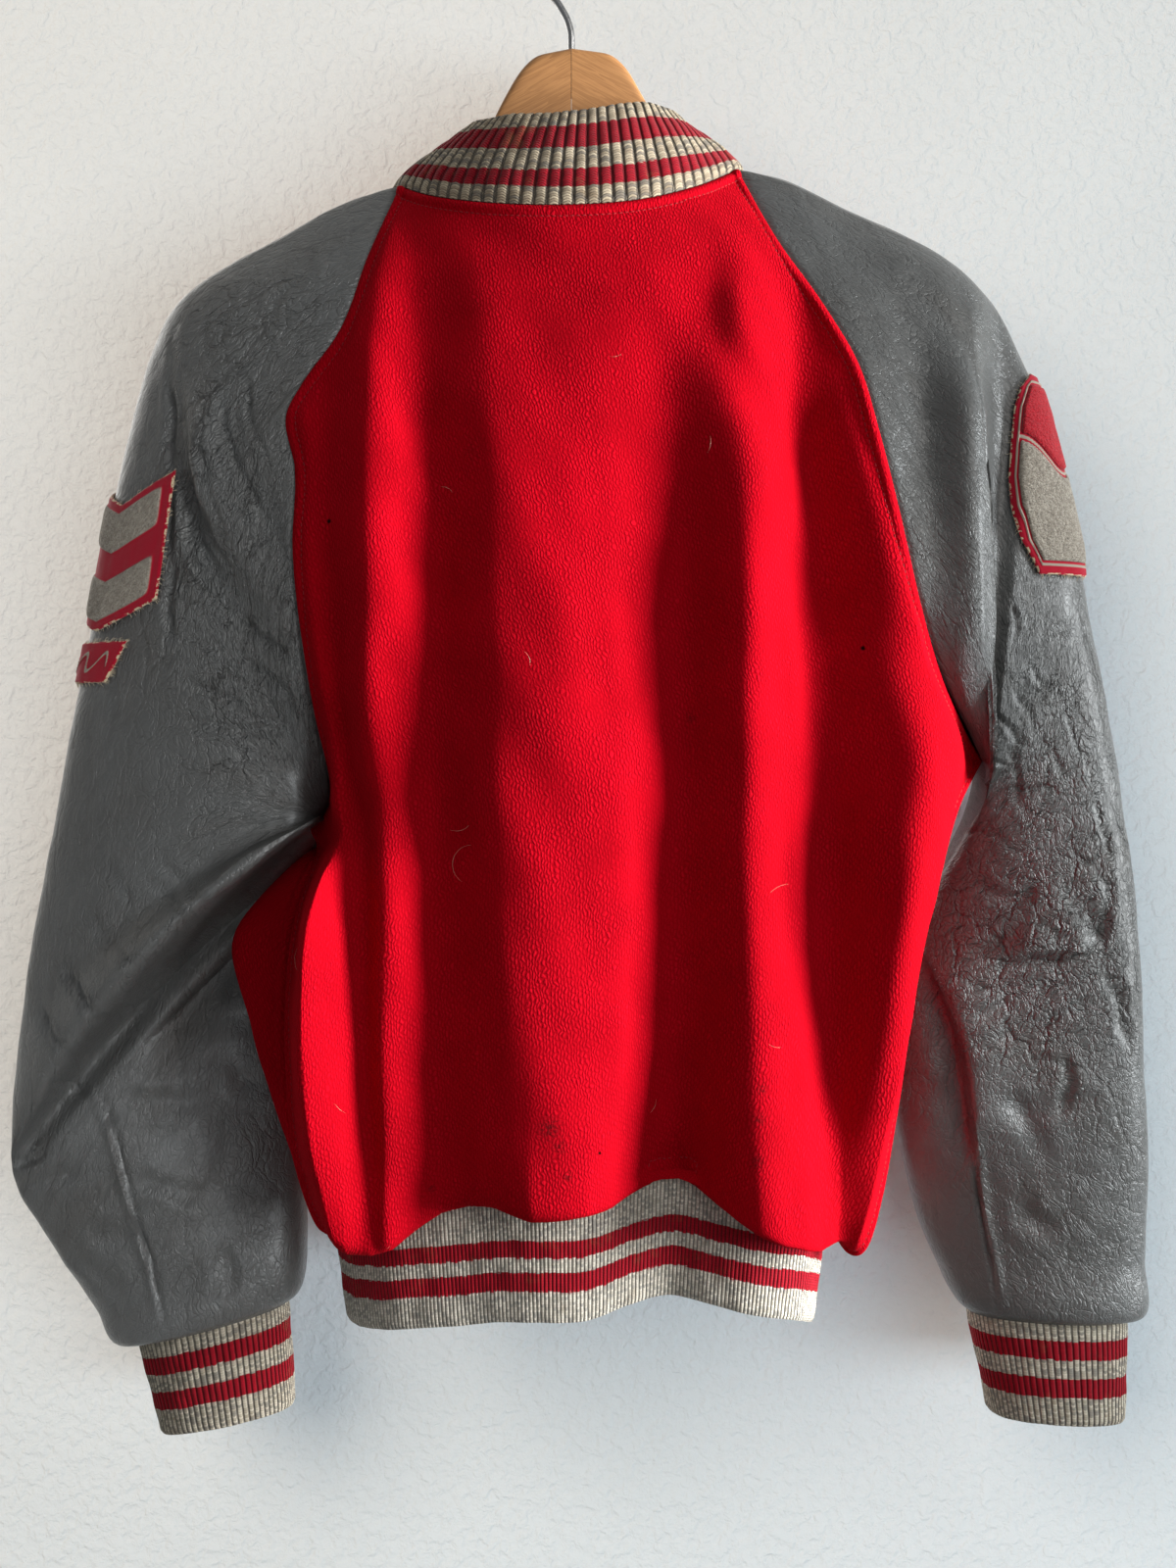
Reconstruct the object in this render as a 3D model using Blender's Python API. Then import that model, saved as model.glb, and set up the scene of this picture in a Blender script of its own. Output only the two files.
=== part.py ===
"""Varsity jacket hung on a wooden hanger, its back to -Y. The origin is the crown of the hook.

Sizes are in millimetres and are scaled to metres as each mesh is made. +X is the wearer's
right. Every cloth piece is a wall: outer points from the sections below, and inner points
one thickness behind them.
"""

import math

import bmesh
import bpy
import numpy as np
from mathutils import Vector
from mathutils.bvhtree import BVHTree

MM = 0.001
SEAM_GAP = 0.3  # left between two pieces that are sewn together
WOOL = 2.0
LEATHER = 1.6
KNIT = 2.4
RIB = 0.7  # how far a rib stands out of its knit
LEATHER_GAP = 0.25  # how far a sleeve's sewn edges are drawn in, sharp as its seams are
KNIT_GAP = 0.3  # the same for a knit
RIM_ORDER = np.array((0.37, 0.11, 1.0))

LEFT, RIGHT = "left", "right"
BACK, FRONT = "back", "front"

ARMPIT = 0.4  # share of the body's height at which the side seam becomes the raglan seam
SIDE_ROWS = (0.0, 0.03, 0.075, 0.14, 0.22, 0.3, 0.36)  # body rows below the armpit
RAGLAN_ROWS = 11  # body rows, and sleeve columns, along a raglan seam
NECK_COLUMNS = 2  # sleeve columns along the neck
BACK_COLUMNS = (
    0.0, 0.04, 0.085, 0.125, 0.16, 0.21, 0.26, 0.31, 0.36, 0.41, 0.46, 0.51,
    0.56, 0.61, 0.66, 0.71, 0.76, 0.81, 0.86, 0.91, 0.96, 1.0,
)  # fmt: skip
FRONT_COLUMNS = (0.0, 0.07, 0.14, 0.21, 0.28, 0.36, 0.44, 0.54, 0.66, 0.78, 0.9, 1.0)
OVERLAP = 17.0  # how far each front runs past the centre line
OVERLAP_STEP = 4.4  # how far the right front lies behind the left one there

# Side seams, hem to armpit: x, y, z.
SIDE_SEAM = {
    LEFT: (
        (-122, -34, -694), (-133, -40, -680), (-147, -42, -651), (-152, -40, -615),
        (-152, -36, -573), (-148, -31, -539), (-138, -24, -512), (-127, -13, -496),
        (-131, -8, -481),
    ),
    RIGHT: (
        (139, -26, -694), (155, -30, -684), (165, -32, -666), (174, -32, -637), (180, -32, -606),
        (185, -32, -575), (191, -31, -548), (200, -29, -512), (211, -22, -480), (225, -14, -456),
    ),
}  # fmt: skip

# Raglan seams, armpit to neck: x, y on the back, y on the front, z.
RAGLAN = {
    LEFT: (
        (-131, -8, -8, -481), (-130, -27, 16, -464), (-135, -46, 40, -433),
        (-141, -60, 58, -387), (-144, -64, 62, -347), (-143, -62, 61, -306),
        (-148, -58, 58, -275), (-141, -55, 56, -260), (-122, -52, 50, -232),
        (-108, -40, 38, -188), (-94, -15, 16, -142),
    ),
    RIGHT: (
        (225, -14, -14, -456), (211, -35, 12, -440), (197, -52, 38, -418),
        (182, -66, 58, -378), (170, -68, 64, -328), (160, -66, 63, -287),
        (150, -60, 60, -250), (133, -52, 50, -217), (112, -40, 38, -182),
        (91, -15, 16, -133),
    ),
}  # fmt: skip

# Seams across the body, left to right between its side edges: x, y, z.
HEM_BACK = (
    (-103, -50, -691), (-80, -56, -688), (-60, -59, -686), (-40, -63, -683), (-20, -67, -682),
    (9, -67, -681), (35, -60, -674), (55, -55, -671), (75, -60, -674), (100, -64, -679),
    (125, -56, -684),
)  # fmt: skip
NECK_BACK = ((-75, -35, -154), (-42, -50, -163), (-4, -56, -166), (35, -52, -162), (67, -38, -150))

# How far the wool hangs over the waistband along the back: x, drop, distance out.
BLOUSE_BACK = (
    (-126, 22, 8), (-114, 30, 13), (-102, 32, 16), (-91, 30, 14), (-79, 23, 10), (-66, 15, 6),
    (-53, 12, 6), (-40, 14, 8), (-30, 17, 13), (-20, 20, 17),
    (10, 20, 20), (22, 19, 17), (33, 16, 12), (44, 13, 7), (55, 13, 6), (65, 17, 9), (75, 23, 14),
    (85, 29, 20), (95, 33, 23), (108, 36, 24), (120, 37, 24),
    (130, 37, 20), (141, 33, 14),
)  # fmt: skip
BLOUSE_ROW = 0.03  # share of the height where the wool hangs lowest
FRONT_BLOUSE = (20, 10)  # the same two sizes on the fronts

# Depth of the back's middle line: share of height, y. Towards its edges it rounds off.
BACK_MIDDLE = (
    (0, -66), (0.06, -80), (0.15, -93), (0.3, -97), (0.4, -95), (0.5, -92), (0.6, -89),
    (0.75, -82), (0.9, -69), (1, -56),
)  # fmt: skip
ROUND_POWER = 3.4
CALM_KNOTS = (0, 0.2, 0.4, 0.6, 0.8, 1)  # heights that carry the side edges' calmer form
CALM_REACH = 0.09  # share of the width over which an edge's own corners die out

# Folds of the back. x is the crest's place at the upper end, the middle and the lower end;
# the widths are those of its left and right flank; a depth below zero is a trough.
BACK_FOLDS = (
    # z upper, z lower, x upper, x middle, x lower, left, right, depth
    (-390, -715, -144, -121, -118, 34, 7, 20),
    (-180, -480, -102, -104, -104, 26, 30, 9),
    (-230, -700, -60, -66, -64, 26, 26, -9),
    (-200, -700, -18, -8, 2, 34, 34, 10),
    (-240, -700, 40, 50, 56, 22, 20, -15),
    (-260, -700, 76, 82, 92, 18, 22, 9),
    (-250, -650, 106, 112, 116, 14, 16, -9),
    (-320, -620, 140, 152, 148, 22, 22, 7),
)
FOLD_FADE = 60  # height over which a fold dies out at its ends

# Sections of the fronts, hem to neck. v is the share of the height; the x and y pairs are
# at the stations of FRONT_STATIONS, from the side edge to the centre line.
FRONT_STATIONS = (0.14, 0.28, 0.42, 0.7)
FRONT_SECTIONS = {
    LEFT: (
        # v, then x, y at each station, then y at the centre
        (0.0, -130, -20, -130, 4, -119, 32, -72, 62, 68),
        (0.06, -144, -24, -140, 0, -126, 32, -78, 72, 78),
        (0.18, -172, -22, -150, -2, -132, 28, -84, 80, 88),
        (0.28, -183, -12, -150, 2, -131, 30, -85, 84, 92),
        (0.34, -150, -8, -136, 6, -125, 32, -85, 85, 92),
        (0.38, -131, -2, -127, 13, -120, 36, -82, 85, 92),
        (0.4, -128, 4, -125, 18, -118, 40, -80, 85, 92),
        (0.46, -128, 32, -124, 46, -114, 62, -80, 88, 93),
        (0.55, -137, 64, -126, 72, -112, 79, -72, 90, 93),
        (0.7, -134, 67, -120, 74, -102, 80, -60, 87, 89),
        (0.85, -108, 57, -93, 62, -76, 66, -42, 74, 78),
        (1.0, -87, 27, -78, 36, -67, 44, -38, 58, 64),
    ),
    RIGHT: (
        (0.0, 137, -6, 132, 16, 120, 43, 76, 66, 68),
        (0.06, 156, -8, 148, 11, 131, 40, 80, 74, 78),
        (0.18, 172, -12, 158, 8, 138, 36, 86, 80, 88),
        (0.28, 181, -12, 164, 6, 144, 34, 90, 84, 92),
        (0.34, 190, -12, 171, 8, 149, 36, 92, 85, 92),
        (0.4, 208, -8, 189, 11, 160, 43, 93, 86, 92),
        (0.46, 201, 34, 182, 50, 154, 68, 92, 90, 93),
        (0.55, 172, 66, 156, 75, 134, 82, 82, 91, 93),
        (0.7, 148, 70, 134, 76, 112, 82, 66, 88, 89),
        (0.85, 113, 57, 98, 62, 80, 66, 44, 74, 78),
        (1.0, 85, 27, 77, 36, 66, 44, 38, 58, 64),
    ),
}
CENTRE_HEM = -686
CENTRE_NECK = -212
NECK_FRONT_Z = ((0.0, 0), (0.14, -5), (0.28, -9), (0.42, -13), (0.7, -10), (1.0, 0))

# Sleeve sections, shoulder to wrist. t is the place along the sleeve; O is on the overarm
# line and I on the underarm line; bow is the sag of the section's middle; the depths stand
# out of the line from I to O on the back and the front, next to I and next to O; seam is
# the share of the raglan seam's own form.
SLEEVE = {
    LEFT: (
        # t, Ox, Oy, Oz, Ix, Iy, Iz, bow, back I, back O, front I, front O, seam
        (0.0, -99, 0, -139, -131, -8, -481, 0, 45, 40, 45, 40, 1),
        (0.06, -130, 0, -150, -131.4, -8, -482, 0, 46, 42, 45, 40, 0.8),
        (0.12, -163, 0, -168, -131.8, -8, -483, 0, 46, 44, 46, 42, 0.55),
        (0.18, -195, 0, -186, -132.2, -8, -484, 0, 46, 44, 48, 44, 0.3),
        (0.23, -216, 0, -203, -132.6, -8, -484.6, 0, 46, 42, 50, 44, 0.15),
        (0.28, -229, 0, -226, -133, -8, -485, 0, 46, 38, 50, 42, 0.05),
        (0.38, -247, 0, -289, -133.4, -8, -485.8, 0, 46, 32, 50, 40, 0),
        (0.5, -265, 0, -380, -133.8, -8, -486.4, 4, 46, 28, 52, 40, 0),
        (0.6, -285, 0, -485, -134.2, -9, -487, 8, 44, 24, 55, 38, 0),
        (0.7, -304, 0, -595, -134.6, -12, -487.6, 11, 42, 18, 60, 34, 0),
        (0.765, -311, 0, -672, -135, -15, -488.4, 12, 40, 12, 66, 30, 0),
        (0.785, -312, 4, -681, -137, 12, -492, 11, 4, 4, 42, 28, 0),
        (0.83, -309, 10, -699, -144, 24, -530, 10, 14, 18, 30, 26, 0),
        (0.88, -300, 18, -719, -152, 29, -585, 9, 20, 24, 28, 26, 0),
        (0.93, -285, 25, -745, -154, 31, -655, 6, 24, 27, 28, 26, 0),
        (0.965, -270, 29, -769, -152, 31, -712, 3, 27, 28, 28, 27, 0),
        (0.988, -259, 30, -787, -155, 31, -757, 0, 28, 29, 28, 28, 0),
        (1.0, -247, 30, -787, -163, 31, -765, 0, 21, 22, 21, 22, 0),
    ),
    RIGHT: (
        (0.0, 95, 0, -129, 225, -14, -456, 0, 50, 45, 45, 40, 1),
        (0.05, 122, 0, -137, 226, -14, -459, 0, 50, 46, 46, 40, 0.8),
        (0.1, 150, 0, -151, 227, -14, -462, 0, 52, 47, 47, 42, 0.55),
        (0.15, 181, 0, -165, 227, -13, -465, 0, 54, 48, 48, 44, 0.3),
        (0.2, 208, 0, -181, 227, -13, -468, 3, 54, 46, 50, 44, 0.12),
        (0.24, 224, 0, -195, 227, -12, -470, 9, 52, 42, 50, 42, 0.02),
        (0.262, 233, 0, -205, 227, -12, -472, 5, 24, 30, 50, 42, 0),
        (0.31, 252, 0, -240, 226, -11, -475, 0, 24, 28, 50, 41, 0),
        (0.37, 266, 0, -285, 225, -10, -479, 0, 24, 26, 50, 40, 0),
        (0.44, 279, 0, -340, 223, -6, -484, 0, 24, 26, 48, 38, 0),
        (0.51, 291, 0, -400, 219, 0, -492, 2, 25, 27, 44, 36, 0),
        (0.58, 302, 0, -462, 212, 8, -506, 4, 26, 28, 40, 34, 0),
        (0.65, 311, 2, -525, 201, 16, -530, 5, 26, 28, 36, 32, 0),
        (0.72, 317, 5, -583, 187, 22, -570, 4, 26, 28, 34, 32, 0),
        (0.79, 320, 9, -635, 182, 25, -620, 3, 27, 28, 32, 30, 0),
        (0.86, 323, 13, -690, 188, 26, -675, 2, 28, 28, 30, 30, 0),
        (0.93, 322, 16, -735, 202, 25, -728, 1, 28, 28, 30, 30, 0),
        (0.985, 321, 18, -768, 219, 22, -762, 0, 29, 29, 30, 30, 0),
        (1.0, 313, 18, -770, 224, 20, -766, 0, 23, 23, 23, 23, 0),
    ),
}
SLEEVE_RINGS = {
    LEFT: (
        0.0, 0.05, 0.1, 0.15, 0.2, 0.245, 0.29, 0.35, 0.42, 0.49, 0.56, 0.62, 0.68, 0.73,
        0.765, 0.785, 0.81, 0.845, 0.88, 0.915, 0.95, 0.988, 1.0,
    ),
    RIGHT: (
        0.0, 0.04, 0.08, 0.12, 0.16, 0.2, 0.24, 0.262, 0.31, 0.37, 0.43, 0.49, 0.55, 0.61,
        0.67, 0.73, 0.79, 0.84, 0.89, 0.94, 0.985, 1.0,
    ),
}  # fmt: skip
TUBE_POWER = 0.75  # below 1 the tube is flatter across its middle

# Collar: its rows between the neck seam and the upper edge, and the upper edge itself.
COLLAR_ROWS = ((0.0, 0.0), (0.12, 0.05), (0.55, 0.42), (1.0, 1.0))  # share of height, of lean
COLLAR_TOP = (
    (-60, 14, -114), (-54, -10, -106), (-40, -26, -108), (-2, -38, -110), (45, -26, -101),
    (56, -10, -100), (63, 7, -103),
)  # fmt: skip
COLLAR_PITCH = 6.2
BAND_HEIGHT = 66.0
BAND_PITCH = 3.6
BAND_ROWS = (1.0, 0.5, 0.1, 0.0)  # shares of its height below the hem seam
BAND_TAPER = 0.06  # share by which the lower edge is narrower
CUFF_PITCH = 3.6

# Cuff lower ends: O and I of the opening, and its half depth.
CUFF_END = {
    LEFT: ((-234, 29, -838), (-159, 30, -823), 20.0),
    RIGHT: ((311, 16, -826), (235, 16, -822), 21.0),
}
CUFF_ROWS = (0.0, 0.15, 1.0)

# Appliques, wrapped round an upright axis inside the sleeve: x and y of the axis, then
# rows of height, first angle and last angle. An angle of 90 faces -Y, 0 faces outwards.
APPLIQUE_AXIS = {LEFT: (-214, 4), RIGHT: (250, 14)}
FELT = 1.6
CHENILLE = 1.6
APPLIQUE_GAP = 1.4
APPLIQUE_FAR = 150.0  # the facets are looked for from this far out
CHEVRON_DROP = 16.0  # how far a chevron's point hangs under its ends
BLOCK_LEAN = 16.0  # angle by which a block's lower edge lies further out than its upper edge
BIG_BLOCK = dict(
    top=-302.0, bottom=-370.0, first=-14.0, last=96.0, columns=10, rows=10, drop=CHEVRON_DROP
)
SMALL_BLOCK = dict(top=-392.0, bottom=-414.0, first=8.0, last=52.0, columns=4, rows=3, drop=0.0)
LOZENGE = (
    # z, first angle, last angle
    (-246, 62, 84), (-256, 46, 97), (-270, 32, 105), (-292, 20, 109), (-318, 14, 110),
    (-336, 26, 109), (-348, 48, 106), (-356, 72, 98),
)  # fmt: skip

# Wooden hanger: distance from the middle, top z, bottom z, half thickness.
HANGER = {
    LEFT: (
        (0, -62, -101, 6.5), (20, -66, -104, 6.5), (29, -75, -110, 6.5), (40, -95, -122, 6.5),
        (51, -119, -138, 6.5), (70, -132, -150, 6.5), (100, -148, -167, 6.5), (154, -174, -192, 6.5),
        (195, -197, -212, 6.0), (208, -207, -218, 5.0),
    ),
    RIGHT: (
        (0, -62, -101, 6.5), (22, -65, -103, 6.5), (31, -73, -108, 6.5), (40, -90, -118, 6.5),
        (54, -112, -132, 6.5), (70, -124, -143, 6.5), (100, -141, -160, 6.5), (145, -158, -176, 6.5),
        (189, -178, -194, 6.0), (208, -190, -201, 5.0),
    ),
}
MITRE_GAP = 0.3
WOOD_ROUND = 2.5
HOOK_WIRE = 2.0
HOOK_RADIUS = 18.0
HOOK_HOLE = 2.4
HOOK_SEAT = -88.0  # how deep the stem runs into the wood
HOOK_ARC = (128, -52)  # angles, over the crown, from the stem's side to the open end
SNAP_RADIUS = 7.0
SNAP_HEIGHT = 2.6
SNAP_GAP = 0.35
SNAP_FAR = 200.0  # the facets under a snap are looked for from here
SNAP_PLACES = (0.1, 0.3, 0.5, 0.7, 0.9)  # shares of the front's height
BAND_SNAP = 0.5  # share of the waistband's height

COLOURS = {
    # red, green, blue, roughness, metallic
    "wool": (0.52, 0.005, 0.012, 0.9, 0.0),
    "leather": (0.11, 0.112, 0.115, 0.5, 0.0),
    "knit": (0.42, 0.37, 0.27, 0.9, 0.0),
    "felt": (0.45, 0.004, 0.02, 0.95, 0.0),
    "wood": (0.62, 0.42, 0.2, 0.5, 0.0),
    "steel": (0.6, 0.6, 0.6, 0.3, 1.0),
}


def ease(x):
    """Smooth step from 0 to 1."""
    x = np.clip(x, 0.0, 1.0)
    return x * x * (3 - 2 * x)


def through(knots, rows, at):
    """Smooth curve through rows, which lie at the rising knots, at the places asked for."""
    knots, rows = np.asarray(knots, float), np.asarray(rows, float)
    at = np.clip(np.asarray(at, float), knots[0], knots[-1])
    span = np.diff(knots)
    rise = np.diff(rows, axis=0) / span.reshape((-1,) + (1,) * (rows.ndim - 1))
    slope = np.empty_like(rows)
    slope[0], slope[-1] = rise[0], rise[-1]
    weight = (span[1:] / (span[1:] + span[:-1])).reshape((-1,) + (1,) * (rows.ndim - 1))
    slope[1:-1] = rise[:-1] * weight + rise[1:] * (1 - weight)
    i = np.clip(np.searchsorted(knots, at, side="right") - 1, 0, len(span) - 1)
    shape = i.shape + (1,) * (rows.ndim - 1)
    h = span[i].reshape(shape)
    t = ((at - knots[i]) / span[i]).reshape(shape)
    a = rows[i] * (1 + 2 * t) * (1 - t) ** 2 + slope[i] * h * t * (1 - t) ** 2
    return a + rows[i + 1] * t * t * (3 - 2 * t) - slope[i + 1] * h * t * t * (1 - t)


def along(rows, share):
    """The same, with the knots spread by length."""
    rows = np.asarray(rows, float)
    length = np.concatenate([[0], np.cumsum(np.linalg.norm(np.diff(rows, axis=0), axis=1))])
    return through(length / length[-1], rows, share)


def raglan(side, face, share):
    """Raglan seam from armpit (0) to neck (1)."""
    rows = np.asarray(RAGLAN[side], float)
    return along(rows[:, [0, 1 if face == BACK else 2, 3]], share)


def side_edge(side, face, v):
    """Outer edge of a body panel at height v."""
    below = along(SIDE_SEAM[side], v / ARMPIT)
    above = raglan(side, face, (v - ARMPIT) / (1 - ARMPIT))
    return np.where((v < ARMPIT)[..., None], below, above)


def calm_edge(side, v):
    """The side edge of the back without its corner at the armpit."""
    rows = side_edge(side, BACK, np.asarray(CALM_KNOTS, float))
    mean = rows.copy()
    mean[1:-1] = rows[:-2] / 4 + rows[1:-1] / 2 + rows[2:] / 4
    return through(CALM_KNOTS, mean, v)


def edge_fade(u):
    """Share of an edge's own corners left at a distance from it: 1 at 0, and 0 at 1."""
    return np.exp(-u / CALM_REACH) * (1 - u)


def bow(rows, first, last, u):
    """How far a curve through rows lies off the straight line from its first point to its last."""
    curve = along(np.vstack([first, rows, last]), u)
    return curve - (np.asarray(first) * (1 - u)[..., None] + np.asarray(last) * u[..., None])


def blouse(x, v, table):
    """Shift of the wool just over the waistband, out and down."""
    table = np.asarray(table, float)
    share = (v / BLOUSE_ROW) * np.exp(1 - v / BLOUSE_ROW)
    drop = np.interp(x, table[:, 0], table[:, 1])
    out = np.interp(x, table[:, 0], table[:, 2])
    return drop * share, out * share


def fold_depth(x, z, table):
    """Sum of the folds at x, z, towards the eye."""
    total = np.zeros_like(x)
    for upper, lower, x_upper, x_middle, x_lower, left, right, depth in table:
        share = np.clip((upper - z) / (upper - lower), 0, 1)
        crest = through((0, 0.5, 1), (x_upper, x_middle, x_lower), share)
        fade = ease((upper - z) / FOLD_FADE) * ease((z - lower) / FOLD_FADE * 2)
        width = np.where(x < crest, left, right)
        total += depth * fade * np.exp(-(((x - crest) / width) ** 2))
    return total


def back_sheet(u, v):
    """Back panel; u runs left to right and v from hem to neck."""
    u, v = np.broadcast_arrays(np.asarray(u, float), np.asarray(v, float))
    left, right = side_edge(LEFT, BACK, v), side_edge(RIGHT, BACK, v)
    calm = [calm_edge(side, v) for side in (LEFT, RIGHT)]
    points = calm[0] * (1 - u)[..., None] + calm[1] * u[..., None]
    points += (left - calm[0]) * edge_fade(u)[..., None]
    points += (right - calm[1]) * edge_fade(1 - u)[..., None]
    low = [side_edge(side, BACK, np.zeros(1))[0] for side in (LEFT, RIGHT)]
    high = [side_edge(side, BACK, np.ones(1))[0] for side in (LEFT, RIGHT)]
    points += bow(HEM_BACK, *low, u) * ((1 - v) ** 2)[..., None]
    points += bow(NECK_BACK, *high, u) * (v**2)[..., None]
    table = np.asarray(BACK_MIDDLE, float)
    flat = (calm[0] + calm[1])[..., 1] / 2
    flat = flat + bow(HEM_BACK, *low, u * 0 + 0.5)[..., 1] * (1 - v) ** 2
    flat = flat + bow(NECK_BACK, *high, u * 0 + 0.5)[..., 1] * v**2
    depth = (through(table[:, 0], table[:, 1], v) - flat) * ease(v / 0.03) * ease((1 - v) / 0.03)
    points[..., 1] += depth * (1 - np.abs(2 * u - 1) ** ROUND_POWER)
    edge = ease(u / 0.06) * ease((1 - u) / 0.06) * ease(v / 0.04) * ease((1 - v) / 0.08)
    points[..., 1] -= edge * fold_depth(points[..., 0], points[..., 2], BACK_FOLDS)
    drop, out = blouse(points[..., 0], v, BLOUSE_BACK)
    points[..., 2] -= drop
    points[..., 1] -= out
    return points


def front_sheet(side, u, v):
    """One front; u runs from the side edge to the centre line, and past 1 into the overlap."""
    u, v = np.broadcast_arrays(np.asarray(u, float), np.asarray(v, float))
    table = np.asarray(FRONT_SECTIONS[side], float)
    section = through(table[:, 0], table[:, 1:], v)
    edge = side_edge(side, FRONT, v)
    stations = (0.0,) + FRONT_STATIONS + (1.0,)
    x = np.stack([edge[..., 0]] + [section[..., 2 * i] for i in range(4)] + [0 * v])
    y = np.stack([edge[..., 1]] + [section[..., 2 * i + 1] for i in range(4)] + [section[..., 8]])
    grid = np.clip(u, 0, 1)
    i = np.clip(np.searchsorted(stations, grid, side="right") - 1, 0, 4)
    points = np.empty(u.shape + (3,))
    for axis, rows in ((0, x), (1, y)):
        slope = np.gradient(rows, stations, axis=0)
        low, high = (np.take_along_axis(rows, (i + k)[None], 0)[0] for k in (0, 1))
        s0, s1 = (np.take_along_axis(slope, (i + k)[None], 0)[0] for k in (0, 1))
        h = np.diff(stations)[i]
        t = (grid - np.asarray(stations)[i]) / h
        points[..., axis] = (
            low * (1 + 2 * t) * (1 - t) ** 2 + s0 * h * t * (1 - t) ** 2
            + high * t * t * (3 - 2 * t) - s1 * h * t * t * (1 - t)
        )
    centre = CENTRE_HEM + (CENTRE_NECK - CENTRE_HEM) * v
    neck = np.asarray(NECK_FRONT_Z, float)
    points[..., 2] = edge[..., 2] * (1 - grid) + centre * grid
    points[..., 2] += v**3 * through(neck[:, 0], neck[:, 1], grid)
    drop, out = FRONT_BLOUSE
    share = (v / BLOUSE_ROW) * np.exp(1 - v / BLOUSE_ROW)
    side_drop, side_out = blouse(edge[..., 0], v, BLOUSE_BACK)
    points[..., 1] -= side_out * edge_fade(grid)
    plain = ease((0.9 - grid) / 0.5)  # the lapped edges lie flat
    points[..., 2] -= (side_drop * (1 - grid) + drop * share * grid) * plain
    points[..., 1] += out * share * ease(grid / 0.4) * plain
    step = OVERLAP_STEP * ease((grid - 0.72) / 0.2)
    points[..., 1] -= step if side == RIGHT else 0
    points[..., 0] += np.where(u > 1, (u - 1), 0) * (OVERLAP if side == LEFT else -OVERLAP)
    return points


def neck_edge(side, share):
    """Neck end of a sleeve from the back raglan corner (0) to the front one (1)."""
    back = raglan(side, BACK, np.ones(1))[0]
    front = raglan(side, FRONT, np.ones(1))[0]
    top = np.asarray(SLEEVE[side][0][1:4], float)
    return through((0, 0.5, 1), np.stack([back, top, front]), share)


def sleeve_sheet(side, s, t):
    """Sleeve; s runs from the underarm line (0) over the back, the overarm line (0.5) and
    the front back to the underarm line (1), and t from shoulder to wrist."""
    s, t = np.broadcast_arrays(np.asarray(s, float), np.asarray(t, float))
    table = np.asarray(SLEEVE[side], float)
    row = through(table[:, 0], table[:, 1:], t)
    outer, inner = row[..., 0:3], row[..., 3:6]
    seam = np.clip(row[..., 11], 0, 1)
    # The first section is the raglan seam itself, and its form dies out down the sleeve.
    half = RAGLAN_ROWS / (2 * RAGLAN_ROWS + NECK_COLUMNS)
    rear = raglan(side, BACK, np.clip(s / half, 0, 1))
    fore = raglan(side, FRONT, np.clip((1 - s) / half, 0, 1))
    neck = neck_edge(side, np.clip((s - half) / (1 - 2 * half), 0, 1))
    ring = np.where((s < half)[..., None], rear, np.where((s > 1 - half)[..., None], fore, neck))
    base, reach = table[0, 4:7], table[0, 1:4] - table[0, 4:7]
    on_seam = ((ring - base) @ reach / (reach @ reach)).clip(0, 1)
    across = (1 - np.cos(2 * math.pi * s)) / 2 * (1 - seam) + on_seam * seam
    points = inner + (outer - inner) * across[..., None]
    chord = outer - inner
    length = np.linalg.norm(chord[..., [0, 2]], axis=-1)
    sag = 4 * across * (1 - across) * row[..., 6] / length
    turn = 1 if side == LEFT else -1
    points[..., 0] += turn * sag * chord[..., 2]
    points[..., 2] -= turn * sag * chord[..., 0]
    wave = np.sin(2 * math.pi * s)
    full = np.abs(wave) ** TUBE_POWER * np.sign(wave)
    back = row[..., 7] * (1 - across) + row[..., 8] * across
    front = row[..., 9] * (1 - across) + row[..., 10] * across
    points[..., 1] -= np.where(full > 0, back, front) * full * (1 - seam)
    return points + (ring - base - reach * on_seam[..., None]) * seam[..., None]


def normals_of(points, closed, sign):
    """Unit normals of a grid of points; the columns join up if it is closed."""
    if closed:
        across = np.roll(points, -1, axis=1) - np.roll(points, 1, axis=1)
    else:
        across = np.gradient(points, axis=1)
    up = np.gradient(points, axis=0)
    normal = np.cross(across, up) * sign
    return normal / np.linalg.norm(normal, axis=-1, keepdims=True)


def join_normals(sheets):
    """Gives points that two or more sheets share the mean of their normals."""
    seen = {}
    for sheet in sheets:
        for spot in np.ndindex(sheet["points"].shape[:2]):
            key = tuple(np.round(sheet["points"][spot], 2))
            seen.setdefault(key, []).append((sheet, spot))
    for places in seen.values():
        if len(places) > 1:
            mean = sum(sheet["normals"][spot] for sheet, spot in places)
            mean = mean / np.linalg.norm(mean)
            for sheet, spot in places:
                sheet["normals"][spot] = mean
    # At an armpit the sleeve hangs beside the body, and the walls meet above the point.
    for side in (LEFT, RIGHT):
        key = tuple(np.round(raglan(side, BACK, np.zeros(1))[0], 2))
        for sheet, spot in seen[key]:
            sheet["normals"][spot] = (0, 0, -1)


def pull(points, sides, gap=SEAM_GAP / 2):
    """Draws the sewn edges of a grid in from the seam."""
    moved = points.copy()
    for side in sides:
        edge, inside = {
            "low": ((0, slice(None)), (1, slice(None))),
            "high": ((-1, slice(None)), (-2, slice(None))),
            "first": ((slice(None), 0), (slice(None), 1)),
            "last": ((slice(None), -1), (slice(None), -2)),
        }[side]
        step = points[inside] - points[edge]
        length = np.linalg.norm(step, axis=-1, keepdims=True)
        moved[edge] += step / length * gap
    return moved


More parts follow.
